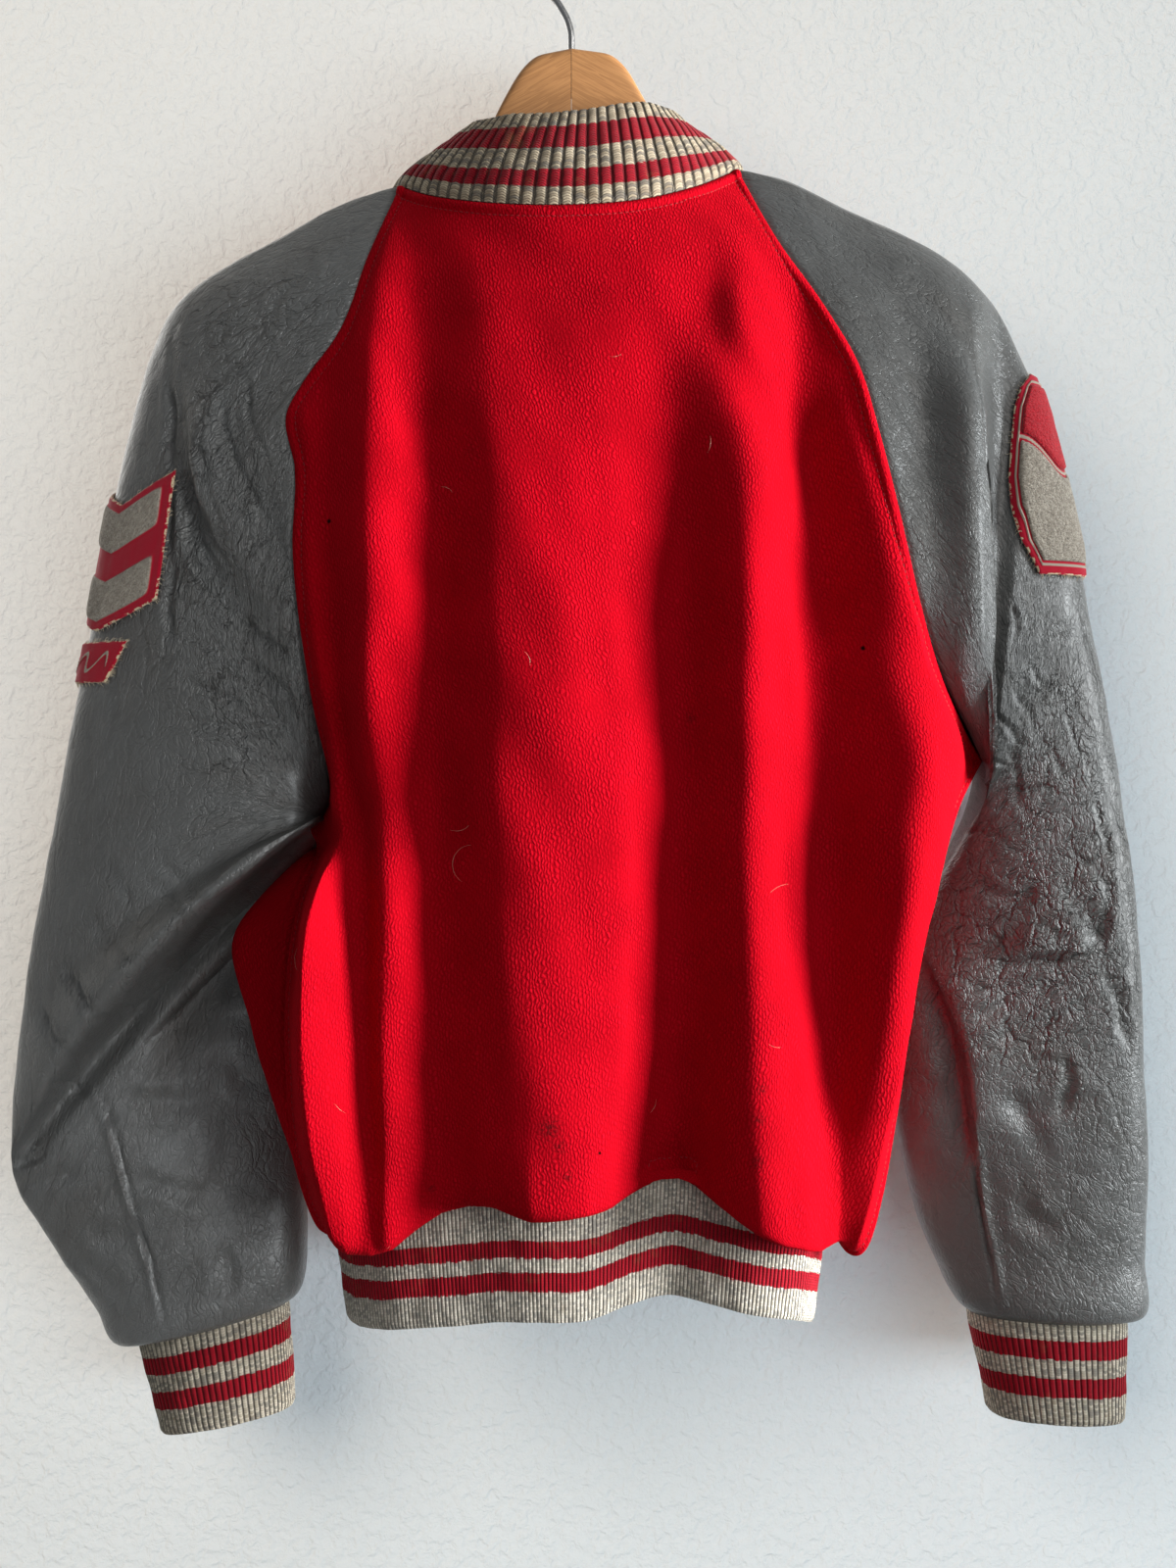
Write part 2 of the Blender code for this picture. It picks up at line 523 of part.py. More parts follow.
def material(name, finish, shade=1.0):
    """A sub-part's own Principled material."""
    made = bpy.data.materials.new(name)
    made.use_nodes = True
    shader = made.node_tree.nodes["Principled BSDF"]
    red, green, blue, roughness, metallic = COLOURS[finish]
    shader.inputs["Base Color"].default_value = (red * shade, green * shade, blue * shade, 1)
    shader.inputs["Roughness"].default_value = roughness
    shader.inputs["Metallic"].default_value = metallic
    return made


def add_mesh(name, points, faces, finish, smooth=True):
    """Adds one named object from points in millimetres."""
    mesh = bpy.data.meshes.new(name)
    mesh.from_pydata((np.asarray(points) * MM).tolist(), [], [list(f) for f in faces])
    mesh.validate()
    mesh.shade_smooth() if smooth else mesh.shade_flat()
    made = bpy.data.objects.new(name, mesh)
    made.data.materials.append(material(name, finish))
    PARTS.objects.link(made)
    return made


def is_lower(first, second):
    """Which way a rim is split, so that both walls at a seam are split alike."""
    return first @ RIM_ORDER < second @ RIM_ORDER


def add_wall(name, sheet, thickness, sewn, finish, gap=SEAM_GAP / 2):
    """A cloth wall: the sheet's points outside, and the same points one thickness inside."""
    rows, columns = sheet["points"].shape[:2]
    outer = pull(sheet["points"], sewn, gap)
    inner = outer - sheet["normals"] * thickness
    points = np.concatenate([outer.reshape(-1, 3), inner.reshape(-1, 3)])
    index = np.arange(rows * columns).reshape(rows, columns)
    if sheet["closed"]:
        index = np.concatenate([index, index[:, :1]], axis=1)
    a, b = index[:-1, :-1].ravel(), index[:-1, 1:].ravel()
    c, d = index[1:, 1:].ravel(), index[1:, :-1].ravel()
    below = rows * columns
    faces = np.concatenate([
        np.stack([a, b, c, d], 1),
        np.stack([d, c, b, a], 1) + below,
    ]).tolist()  # fmt: skip
    rims = [index[0][::-1], index[-1]]
    if not sheet["closed"]:
        rims += [index[:, 0], index[:, -1][::-1]]
    for rim in rims:
        for p, q in zip(rim[:-1], rim[1:]):
            if is_lower(points[p], points[q]):
                faces += [[q, q + below, p], [q + below, p + below, p]]
            else:
                faces += [[q, q + below, p + below], [q, p + below, p]]
    if sheet["sign"] < 0:
        faces = [face[::-1] for face in faces]
    return add_mesh(name, points, faces, finish)


def split(grid, ribs):
    """Columns of a grid with each gap between them split in two for every rib it holds."""
    made = [
        grid[:, i : i + 1] + (grid[:, i + 1 : i + 2] - grid[:, i : i + 1])
        * (np.arange(2 * count) / (2 * count))[None, :, None]
        for i, count in enumerate(ribs)
    ]  # fmt: skip
    return np.concatenate(made + [grid[:, -1:]], axis=1)


def add_knit(name, sheet, pitch, sewn):
    """A ribbed wall: a crest and a groove to each rib outside, and a plain inside."""
    points, normals = sheet["points"], sheet["normals"]
    if sheet["closed"]:
        points = np.concatenate([points, points[:, :1]], axis=1)
        normals = np.concatenate([normals, normals[:, :1]], axis=1)
    middle = points[len(points) // 2]
    wide = np.linalg.norm(np.diff(middle, axis=0), axis=1)
    ribs = np.maximum(1, np.round(wide / pitch)).astype(int)
    base = pull(points, sewn, KNIT_GAP)
    inner = base - normals * KNIT
    outer, normal = split(base, ribs), split(normals, ribs)
    raised = np.ones((len(outer), 1, 1))
    raised[0 if "low" in sewn else -1] = 0  # ribs run flat into the seam
    outer += normal * raised * (RIB * (np.arange(outer.shape[1]) % 2))[None, :, None]
    start = np.concatenate([[0], np.cumsum(2 * ribs)])
    rows = len(outer)
    if sheet["closed"]:
        outer, inner = outer[:, :-1], inner[:, :-1]
    many, few = outer.shape[1], inner.shape[1]
    every = np.concatenate([outer.reshape(-1, 3), inner.reshape(-1, 3)])

    def out(row, column):
        return int(row * many + column % many)

    def inn(row, column):
        return int(rows * many + row * few + column % few)

    faces = []
    for row in range(rows - 1):
        for j in range(start[-1]):
            faces.append([out(row, j), out(row, j + 1), out(row + 1, j + 1), out(row + 1, j)])
        for j in range(len(ribs)):
            faces.append([inn(row, j + 1), inn(row, j), inn(row + 1, j), inn(row + 1, j + 1)])
    for row, turn in ((0, -1), (rows - 1, 1)):
        for j in range(len(ribs)):
            edge = [out(row, k) for k in range(start[j], start[j + 1] + 1)]
            if is_lower(every[edge[0]], every[edge[-1]]):
                hub, last = inn(row, j + 1), [inn(row, j + 1), inn(row, j), edge[0]]
            else:
                hub, last = inn(row, j), [edge[-1], inn(row, j + 1), inn(row, j)]
            fan = [[hub, p, q] for p, q in zip(edge[:-1], edge[1:])] + [last]
            faces += [face[::turn] for face in fan]
    if not sheet["closed"]:
        end, inside = many - 1, few - 1
        for row in range(rows - 1):
            faces.append([out(row, 0), out(row + 1, 0), inn(row + 1, 0), inn(row, 0)])
            faces.append(
                [out(row + 1, end), out(row, end), inn(row, inside), inn(row + 1, inside)]
            )
    if sheet["sign"] < 0:
        faces = [face[::-1] for face in faces]
    return add_mesh(name, every, faces, "knit")


def new_sheet(points, closed=False, sign=1):
    """A grid of outer points with its normals."""
    return dict(points=points, closed=closed, sign=sign, normals=normals_of(points, closed, sign))


def body_rows():
    """Heights of the body's rows: by hand below the armpit, even along the raglan seam."""
    above = ARMPIT + (1 - ARMPIT) * np.arange(RAGLAN_ROWS + 1) / RAGLAN_ROWS
    return np.concatenate([SIDE_ROWS, above])[:, None]


def cut_sheets():
    """The body panels and sleeves as grids of outer points."""
    v = body_rows()
    edge = np.array(FRONT_COLUMNS + (2.0,))[None]
    sheets = {"back": new_sheet(back_sheet(np.array(BACK_COLUMNS)[None], v))}
    sheets["right_front"] = new_sheet(front_sheet(RIGHT, edge, v))
    sheets["left_front"] = new_sheet(front_sheet(LEFT, edge, v), sign=-1)
    around = 2 * RAGLAN_ROWS + NECK_COLUMNS
    s = (np.arange(around) / around)[None]
    for side, sign in ((LEFT, 1), (RIGHT, -1)):
        t = np.array(SLEEVE_RINGS[side])[:, None]
        sheets[side + "_sleeve"] = new_sheet(sleeve_sheet(side, s, t), True, sign)
    return sheets


def neck_loop(sheets):
    """Neck seam from the centre of the left front round the back to the right front."""
    half = RAGLAN_ROWS
    left = sheets["left_front"]["points"][-1, :-1][::-1]
    right = sheets["right_front"]["points"][-1, :-1]
    left_top = sheets["left_sleeve"]["points"][0, half : half + NECK_COLUMNS + 1][::-1]
    right_top = sheets["right_sleeve"]["points"][0, half : half + NECK_COLUMNS + 1]
    back = sheets["back"]["points"][-1]
    return np.concatenate([left, left_top[1:-1], back, right_top[1:-1], right])


def collar_sheet(loop):
    """Stand collar: its upper edge lies on a smaller loop, and its ends meet in front."""
    front = np.array([[0.0, 48.0, -182.0]])
    ring = np.concatenate([front - (1, 0, 0), np.asarray(COLLAR_TOP, float), front + (1, 0, 0)])
    length = np.concatenate([[0], np.cumsum(np.linalg.norm(np.diff(loop, axis=0), axis=1))])
    upper = along(ring, length / length[-1])
    rows = []
    for height, lean in COLLAR_ROWS:
        row = loop + (upper - loop) * lean
        row[:, 2] = loop[:, 2] + (upper[:, 2] - loop[:, 2]) * height
        rows.append(row)
    return new_sheet(np.stack(rows))


def hem_loop(sheets):
    """Hem seam from the left front's edge round the back to the right front's edge."""
    left = sheets["left_front"]["points"][0][::-1]
    right = sheets["right_front"]["points"][0]
    return np.concatenate([left[:-1], sheets["back"]["points"][0], right[1:]])


def band_sheet(loop):
    """Waistband from its free lower edge up to the hem seam."""
    rows = []
    for share in BAND_ROWS:
        row = loop.copy()
        row[:, 0] = (loop[:, 0] - 6) * (1 - BAND_TAPER * share) + 6
        row[:, 1] = (loop[:, 1] - 4) * (1 - 0.5 * BAND_TAPER * share) + 4
        row[:, 2] -= BAND_HEIGHT * share
        rows.append(row)
    return new_sheet(np.stack(rows))


def cuff_sheet(side, ring):
    """Cuff from the sleeve's last ring to its own narrower end."""
    outer, inner, depth = CUFF_END[side]
    s = np.arange(len(ring)) / len(ring)
    across = ((1 - np.cos(2 * math.pi * s)) / 2)[:, None]
    end = np.asarray(inner, float) + (np.asarray(outer, float) - inner) * across
    wave = np.sin(2 * math.pi * s)
    end[:, 1] -= depth * np.abs(wave) ** TUBE_POWER * np.sign(wave)
    rows = [ring + (end - ring) * share for share in CUFF_ROWS]
    return new_sheet(np.stack(rows), True, 1 if side == LEFT else -1)


def on_sleeve(tree, side, angles, heights, out):
    """Points a set distance out of a sleeve's facets, found round the applique's axis."""
    x, y = APPLIQUE_AXIS[side]
    turn = -1 if side == LEFT else 1
    points = np.empty(np.shape(angles) + (3,))
    for spot in np.ndindex(np.shape(angles)):
        angle = math.radians(angles[spot])
        ray = Vector((turn * math.cos(angle), -math.sin(angle), 0))
        start = Vector((x, y, heights[spot])) * MM
        away = start + ray * APPLIQUE_FAR * MM
        near = min(
            (tree.ray_cast(away + Vector((0, 0, lift * MM)), -ray)[3] or 1) for lift in (-2, 0, 2)
        )
        points[spot] = np.array(away - ray * near) / MM + np.array(ray) * out[spot]
    return points


def add_applique(name, tree, side, angles, heights, pile):
    """A felt patch with chenille standing out where pile is 1."""
    flat = np.full(np.shape(angles), APPLIQUE_GAP)
    under = on_sleeve(tree, side, angles, heights, flat)
    top = on_sleeve(tree, side, angles, heights, flat + FELT + CHENILLE * pile)
    rows, columns = np.shape(angles)
    index = np.arange(rows * columns).reshape(rows, columns)
    below = rows * columns
    a, b = index[:-1, :-1].ravel(), index[:-1, 1:].ravel()
    c, d = index[1:, 1:].ravel(), index[1:, :-1].ravel()
    faces = np.concatenate([np.stack([a, b, c, d], 1), np.stack([d, c, b, a], 1) + below]).tolist()
    for rim in (index[0][::-1], index[-1], index[:, 0], index[:, -1][::-1]):
        faces += [[q, q + below, p + below, p] for p, q in zip(rim[:-1], rim[1:])]
    if side == LEFT:
        faces = [face[::-1] for face in faces]
    points = np.concatenate([top.reshape(-1, 3), under.reshape(-1, 3)])
    return add_mesh(name, points, faces, "felt")


def block_grid(top, bottom, first, last, columns, rows, drop):
    """Angles and heights of a leaning patch whose rows dip by drop in the middle."""
    angle = np.linspace(first, last, columns + 1)
    place = np.abs(np.linspace(-1, 1, columns + 1))
    height = np.linspace(top, bottom, rows + 1)
    angles = angle[None] - BLOCK_LEAN * (height[:, None] - top) / (bottom - top)
    return angles, height[:, None] - drop * (1 - place)[None]


def add_patches(left_tree, right_tree):
    """The two patches of the left sleeve and the one of the right sleeve."""
    angles, heights = block_grid(**BIG_BLOCK)
    pile = np.zeros(np.shape(angles))
    pile[1:4, 1:-1] = 1
    pile[7:10, 1:-1] = 1
    add_applique("left_sleeve_patch", left_tree, LEFT, angles, heights, pile)
    angles, heights = block_grid(**SMALL_BLOCK)
    add_applique("left_sleeve_small_patch", left_tree, LEFT, angles, heights, angles * 0)
    table = np.asarray(LOZENGE, float)
    share = np.linspace(0, 1, 8)
    angles = table[:, 1:2] + (table[:, 2:3] - table[:, 1:2]) * share[None]
    heights = np.broadcast_to(table[:, :1], angles.shape)
    pile = np.zeros(angles.shape)
    pile[2:-2, 2:-2] = 1
    add_applique("right_sleeve_patch", right_tree, RIGHT, angles, heights, pile)


def add_hanger():
    """Two mitred wooden halves, each lofted along its table, with a hole for the stem."""
    for side, turn in ((LEFT, -1), (RIGHT, 1)):
        points = []
        for x, top, bottom, thick in HANGER[side]:
            edge = min(WOOD_ROUND, (top - bottom) / 4)
            at = turn * max(x, MITRE_GAP / 2)
            for y, z in (
                (-thick, bottom + edge), (-thick, top - edge), (-thick + edge, top),
                (thick - edge, top), (thick, top - edge), (thick, bottom + edge),
                (thick - edge, bottom), (-thick + edge, bottom),
            ):  # fmt: skip
                points.append((at, y, z))
        sides = 8
        faces = [list(range(sides)), [len(points) - sides + k for k in range(sides)][::-1]]
        for ring in range(len(HANGER[side]) - 1):
            for k in range(sides):
                a, b = ring * sides + k, ring * sides + (k + 1) % sides
                faces.append([a, a + sides, b + sides, b])
        if turn < 0:
            faces = [face[::-1] for face in faces]
        half = add_mesh("hanger_" + side, points, faces, "wood", smooth=False)
        cutter = add_cylinder("stem_hole_" + side, HOOK_HOLE, HOOK_SEAT - 0.5, -40.0)
        cut = half.modifiers.new("stem hole", "BOOLEAN")
        cut.operation = "DIFFERENCE"
        cut.solver = "EXACT"
        cut.object = cutter


def add_cylinder(name, radius, bottom, top):
    """An upright cutter on the Z axis."""
    mesh = bpy.data.meshes.new(name)
    made = bmesh.new()
    bmesh.ops.create_cone(
        made, cap_ends=True, segments=16, radius1=radius * MM, radius2=radius * MM,
        depth=(top - bottom) * MM,
    )  # fmt: skip
    bmesh.ops.translate(made, verts=made.verts, vec=(0, 0, (top + bottom) / 2 * MM))
    made.to_mesh(mesh)
    made.free()
    cutter = bpy.data.objects.new(name, mesh)
    cutter.hide_render = True
    cutter.display_type = "WIRE"
    CUTTERS.objects.link(cutter)
    return cutter


def add_hook():
    """Wire hook: a stem in the wood, a swan neck, and an arc over the crown."""
    centre = -HOOK_RADIUS + HOOK_WIRE
    first, last = HOOK_ARC
    path = [(0, HOOK_SEAT), (0, -60), (-0.3, -52), (-2.2, -45), (-6.2, -37.5)]
    for angle in np.radians(np.linspace(first + 76, last, 22)):
        path.append((HOOK_RADIUS * math.cos(angle), centre + HOOK_RADIUS * math.sin(angle)))
    curve = bpy.data.curves.new("hook", "CURVE")
    curve.dimensions = "3D"
    curve.bevel_depth = HOOK_WIRE * MM
    curve.bevel_resolution = 2
    curve.use_fill_caps = True
    spline = curve.splines.new("POLY")
    spline.points.add(len(path) - 1)
    for point, (x, z) in zip(spline.points, path):
        point.co = (x * MM, 0, z * MM, 1)
    made = bpy.data.objects.new("hook", curve)
    made.data.materials.append(material("hook", "steel"))
    PARTS.objects.link(made)


def add_snaps(front_tree, band_tree):
    """Domed snap caps down the left front, and one on the waistband."""
    profile = ((0.0, 0.0), (1.0, 0.0), (1.0, 0.35), (0.8, 0.85), (0.35, 1.0), (0.0, 1.0))
    heights = [CENTRE_HEM + (CENTRE_NECK - CENTRE_HEM) * place for place in SNAP_PLACES]
    heights.insert(0, CENTRE_HEM - BAND_HEIGHT * BAND_SNAP)
    for number, z in enumerate(heights, 1):
        tree = band_tree if number == 1 else front_tree
        starts = [
            Vector((x, SNAP_FAR, z + lift)) * MM
            for x in np.linspace(-SNAP_RADIUS, SNAP_RADIUS, 29)
            for lift in (-SNAP_RADIUS, 0, SNAP_RADIUS)
        ]
        hits = [tree.ray_cast(start, Vector((0, -1, 0)))[3] or 1 for start in starts]
        reach = SNAP_FAR - min(hits) / MM
        rings = []
        for share, rise in profile[1:-1]:
            for angle in np.linspace(0, 2 * math.pi, 16, endpoint=False):
                radius = share * SNAP_RADIUS
                y = reach + SNAP_GAP + rise * SNAP_HEIGHT
                rings.append((radius * math.cos(angle), y, z + radius * math.sin(angle)))
        faces = [list(range(16)), [len(rings) - 16 + k for k in range(16)][::-1]]
        for ring in range(len(profile) - 3):
            for k in range(16):
                a, b = ring * 16 + k, ring * 16 + (k + 1) % 16
                faces.append([a, a + 16, b + 16, b])
        add_mesh(f"snap_{number}", rings, faces, "steel")


def tree_of(made):
    """A search tree over an object's faces."""
    bpy.context.view_layer.update()
    return BVHTree.FromObject(made, bpy.context.evaluated_depsgraph_get())


for leftover in list(bpy.data.objects):
    bpy.data.objects.remove(leftover)
PARTS = bpy.data.collections.new("varsity_jacket")
CUTTERS = bpy.data.collections.new("cutters")
CUTTERS.hide_render = True
for group in (PARTS, CUTTERS):
    bpy.context.scene.collection.children.link(group)


def main():
    sheets = cut_sheets()
    sheets["collar"] = collar_sheet(neck_loop(sheets))
    sheets["waistband"] = band_sheet(hem_loop(sheets))
    for side in (LEFT, RIGHT):
        ring = sheets[side + "_sleeve"]["points"][-1]
        sheets[side + "_cuff"] = cuff_sheet(side, ring)
    join_normals(list(sheets.values()))
    add_wall("back", sheets["back"], WOOL, ("low", "high", "first", "last"), "wool")
    fronts = [
        add_wall(name, sheets[name], WOOL, ("low", "high", "first"), "wool")
        for name in ("left_front", "right_front")
    ]
    sleeves = [
        add_wall(name, sheets[name], LEATHER, ("low", "high"), "leather", LEATHER_GAP)
        for name in ("left_sleeve", "right_sleeve")
    ]
    add_knit("collar", sheets["collar"], COLLAR_PITCH, ("low",))
    band = add_knit("waistband", sheets["waistband"], BAND_PITCH, ("high",))
    for side in (LEFT, RIGHT):
        add_knit(side + "_cuff", sheets[side + "_cuff"], CUFF_PITCH, ("low",))
    add_patches(tree_of(sleeves[0]), tree_of(sleeves[1]))
    add_hanger()
    add_hook()
    add_snaps(tree_of(fronts[0]), tree_of(band))


main()
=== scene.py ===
"""Varsity jacket hung with its back to the eye on a wooden hanger, as cloth shells on the CAD part.

Sizes are in millimetres until a mesh is made. X runs to the wearer's right, Y out of the chest
and Z up, and the origin is the crown of the hook. A panel is a function of two shares that
gives its outer points; a shell adds what the cloth does there (welts, folds, creases, ribs)
along the panel's normals, and an inner face one thickness behind.
"""

import logging
import math
from collections.abc import Callable
from dataclasses import dataclass, field
from enum import Enum

import bpy
import numpy as np
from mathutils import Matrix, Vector

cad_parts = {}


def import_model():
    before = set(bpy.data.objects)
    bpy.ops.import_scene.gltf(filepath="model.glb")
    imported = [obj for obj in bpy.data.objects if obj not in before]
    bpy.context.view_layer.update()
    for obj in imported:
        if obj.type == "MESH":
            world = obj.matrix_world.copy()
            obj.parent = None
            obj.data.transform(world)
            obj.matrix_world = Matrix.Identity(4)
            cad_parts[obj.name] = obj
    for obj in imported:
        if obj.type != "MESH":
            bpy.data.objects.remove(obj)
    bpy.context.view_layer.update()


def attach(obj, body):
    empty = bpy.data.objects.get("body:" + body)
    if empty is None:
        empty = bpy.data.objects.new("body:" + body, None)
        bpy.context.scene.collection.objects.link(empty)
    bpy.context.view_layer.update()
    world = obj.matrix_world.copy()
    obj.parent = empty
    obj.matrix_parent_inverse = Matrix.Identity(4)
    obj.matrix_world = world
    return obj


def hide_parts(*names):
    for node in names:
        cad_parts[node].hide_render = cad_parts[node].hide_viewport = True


Array = np.ndarray
Rows = tuple[tuple[float, ...], ...]
Colour = tuple[float, float, float]
Material = bpy.types.Material
Object = bpy.types.Object
Node = bpy.types.Node
Socket = bpy.types.NodeSocket
Tree = bpy.types.NodeTree
LOG = logging.getLogger("varsity_jacket")
MM = 0.001


class Side(Enum):
    """The wearer's side; the value is its direction along X."""

    LEFT = -1
    RIGHT = 1

    @property
    def word(self) -> str:
        """The side's name as the pieces use it."""
        return self.name.lower()

    @property
    def other(self) -> "Side":
        """The side across from this one."""
        return Side(-self.value)


class Face(Enum):
    """Back or front of the jacket; the value is its column in the raglan tables."""

    BACK = 1
    FRONT = 2


class Edge(Enum):
    """A border of a panel's grid: the slices that take its points, and the axis it runs along."""

    LOW = (slice(0, 1), slice(None), 1)
    HIGH = (slice(-1, None), slice(None), 1)
    FIRST = (slice(None), slice(0, 1), 0)
    LAST = (slice(None), slice(-1, None), 0)


# --- curves


def ease(x: Array | float) -> Array:
    """Smooth step: 3x^2 - 2x^3 between 0 and 1."""
    x = np.clip(x, 0.0, 1.0)
    return x * x * (3 - 2 * x)


def bell(x: Array) -> Array:
    """Bell curve exp(-x^2)."""
    return np.exp(-(np.asarray(x) ** 2))


def unit(vectors: Array) -> Array:
    """Vectors scaled to length 1."""
    return vectors / np.maximum(np.linalg.norm(vectors, axis=-1, keepdims=True), 1e-9)


def hermite(low: Array, high: Array, rise: Array, fall: Array, gap: Array, t: Array) -> Array:
    """Cubic at share t of a gap, from low with the slope rise to high with the slope fall."""
    start = low * (1 + 2 * t) * (1 - t) ** 2 + rise * gap * t * (1 - t) ** 2
    return start + high * t * t * (3 - 2 * t) - fall * gap * t * t * (1 - t)


def through(knots: Array | tuple, rows: Array | Rows, at: Array) -> Array:
    """Cubic Hermite curve through rows, with each knot's slope between those beside it.

    Args:
        knots: rising places of the rows.
        rows: one row of values, or one value, per knot.
        at: places asked for.

    Returns:
        One interpolated row per place.
    """
    knots, rows = np.asarray(knots, float), np.asarray(rows, float)
    at = np.clip(np.asarray(at, float), knots[0], knots[-1])
    span = np.diff(knots)
    tail = (1,) * (rows.ndim - 1)
    rise = np.diff(rows, axis=0) / span.reshape((-1,) + tail)
    slope = np.empty_like(rows)
    slope[0], slope[-1] = rise[0], rise[-1]
    weight = (span[1:] / (span[1:] + span[:-1])).reshape((-1,) + tail)
    slope[1:-1] = rise[:-1] * weight + rise[1:] * (1 - weight)
    i = np.clip(np.searchsorted(knots, at, side="right") - 1, 0, len(span) - 1)
    h = span[i].reshape(i.shape + tail)
    t = ((at - knots[i]) / span[i]).reshape(i.shape + tail)
    return hermite(rows[i], rows[i + 1], slope[i], slope[i + 1], h, t)


def across_row(knots: Array, values: Array, at: Array) -> Array:
    """Cubic curve whose knots differ from place to place.

    Args:
        knots: rising knots, along the last axis.
        values: a value per knot.
        at: one place per row of knots.

    Returns:
        One value per place.
    """
    at = np.clip(at, knots[..., 0], knots[..., -1])
    rise = np.diff(values, axis=-1) / np.diff(knots, axis=-1)
    middle = (rise[..., 1:] + rise[..., :-1]) / 2
    slope = np.concatenate([rise[..., :1], middle, rise[..., -1:]], -1)
    i = np.clip((knots < at[..., None]).sum(-1) - 1, 0, knots.shape[-1] - 2)[..., None]
    tables = (knots, values, slope)
    x, y, m = ([np.take_along_axis(a, i + k, -1)[..., 0] for k in (0, 1)] for a in tables)
    h = x[1] - x[0]
    return hermite(*y, *m, h, (at - x[0]) / h)


def lengths(line: Array) -> Array:
    """Distance along a line of points from its first point."""
    steps = np.linalg.norm(np.diff(line, axis=0), axis=1)
    return np.concatenate([[0.0], np.cumsum(steps)])


def along(rows: Array | Rows, share: Array) -> Array:
    """The curve through rows with its knots spread by length."""
    length = lengths(np.asarray(rows, float))
    return through(length / length[-1], rows, share)


def on_line(line: Array, share: Array) -> Array:
    """Points on the straight pieces of a fine line."""
    length = lengths(line)
    return np.stack([np.interp(share, length / length[-1], line[:, k]) for k in range(3)], -1)


def spread(count: int, crowd: float) -> Array:
    """Places from 0 to 1, closer at both ends: x - crowd sin(2 pi x) / (2 pi)."""
    x = np.linspace(0, 1, count)
    return x - crowd * np.sin(2 * math.pi * x) / (2 * math.pi)


def refine(knots: tuple[float, ...], pieces: int) -> Array:
    """Places with every gap between knots cut into equal pieces."""
    fine = np.arange((len(knots) - 1) * pieces + 1) / pieces
    return np.interp(fine, np.arange(len(knots)), knots)


def ripple(points: Array, size: float, seed: int, waves: int = 9) -> Array:
    """Soft random relief: the mean of sines along random directions with random phases.

    Args:
        points: places, three coordinates each.
        size: usual wavelength.
        seed: number that fixes the directions.
        waves: how many sines are added.

    Returns:
        Values of about -1 to 1, one per place.
    """
    rng = np.random.default_rng(seed)
    way = unit(rng.normal(size=(waves, 3)))
    way *= 2 * math.pi / (size * rng.uniform(0.6, 1.7, (waves, 1)))
    phase = rng.uniform(0, 2 * math.pi, waves)
    total = np.zeros(points.shape[:-1])
    for direction, start in zip(way, phase):
        total += np.sin(points @ direction + start)
    return total / math.sqrt(waves)


# --- the cut

# Side seams, hem to armpit: x, y, z.
SIDE_SEAM: dict[Side, Rows] = {
    Side.LEFT: (
        (-122, -34, -694), (-133, -40, -680), (-147, -42, -651), (-152, -40, -615),
        (-152, -36, -573), (-148, -31, -539), (-138, -24, -512), (-127, -13, -496),
        (-131, -8, -481),
    ),
    Side.RIGHT: (
        (139, -26, -694), (155, -30, -684), (165, -32, -666), (174, -32, -637), (180, -32, -606),
        (185, -32, -575), (191, -31, -548), (200, -29, -512), (211, -22, -480), (225, -14, -456),
    ),
}

# Raglan seams, armpit to neck: x, y on the back, y on the front, z.
RAGLAN: dict[Side, Rows] = {
    Side.LEFT: (
        (-131, -8, -8, -481), (-130, -27, 16, -464), (-135, -46, 40, -433),
        (-141, -60, 58, -387), (-144, -64, 62, -347), (-143, -62, 61, -306),
        (-148, -58, 58, -275), (-141, -55, 56, -260), (-122, -52, 50, -232),
        (-108, -40, 38, -188), (-94, -15, 16, -142),
    ),
    Side.RIGHT: (
        (225, -14, -14, -456), (211, -35, 12, -440), (197, -52, 38, -418),
        (182, -66, 58, -378), (170, -68, 64, -328), (160, -66, 63, -287),
        (150, -60, 60, -250), (133, -52, 50, -217), (112, -40, 38, -182),
        (91, -15, 16, -133),
    ),
}

# Seams across the back, left to right between its side edges: x, y, z.
HEM_BACK: Rows = (
    (-103, -50, -691), (-80, -56, -688), (-60, -59, -686), (-40, -63, -683), (-20, -67, -682),
    (9, -67, -681), (35, -60, -674), (55, -55, -671), (75, -60, -674), (100, -64, -679),
    (125, -56, -684),
)
NECK_BACK: Rows = (
    (-75, -35, -154), (-42, -50, -163), (-4, -56, -166), (35, -52, -162), (67, -38, -150),
)

# How far the wool hangs over the waistband along the back: x, drop, distance out.
BLOUSE_BACK: Rows = (
    (-126, 22, 8), (-114, 30, 13), (-102, 32, 16), (-91, 30, 14), (-79, 23, 10), (-66, 15, 6),
    (-53, 12, 6), (-40, 14, 8), (-30, 17, 13), (-20, 20, 17),
    (10, 20, 20), (22, 19, 17), (33, 16, 12), (44, 13, 7), (55, 13, 6), (65, 17, 9), (75, 23, 14),
    (85, 29, 20), (95, 33, 23), (108, 36, 24), (120, 37, 24),
    (130, 37, 20), (141, 33, 14),
)

# Depth of the back's middle line: share of height, y.
BACK_MIDDLE = np.array((
    (0, -66), (0.06, -80), (0.15, -93), (0.3, -97), (0.4, -95), (0.5, -92), (0.6, -89),
    (0.75, -82), (0.9, -69), (1, -56),
))

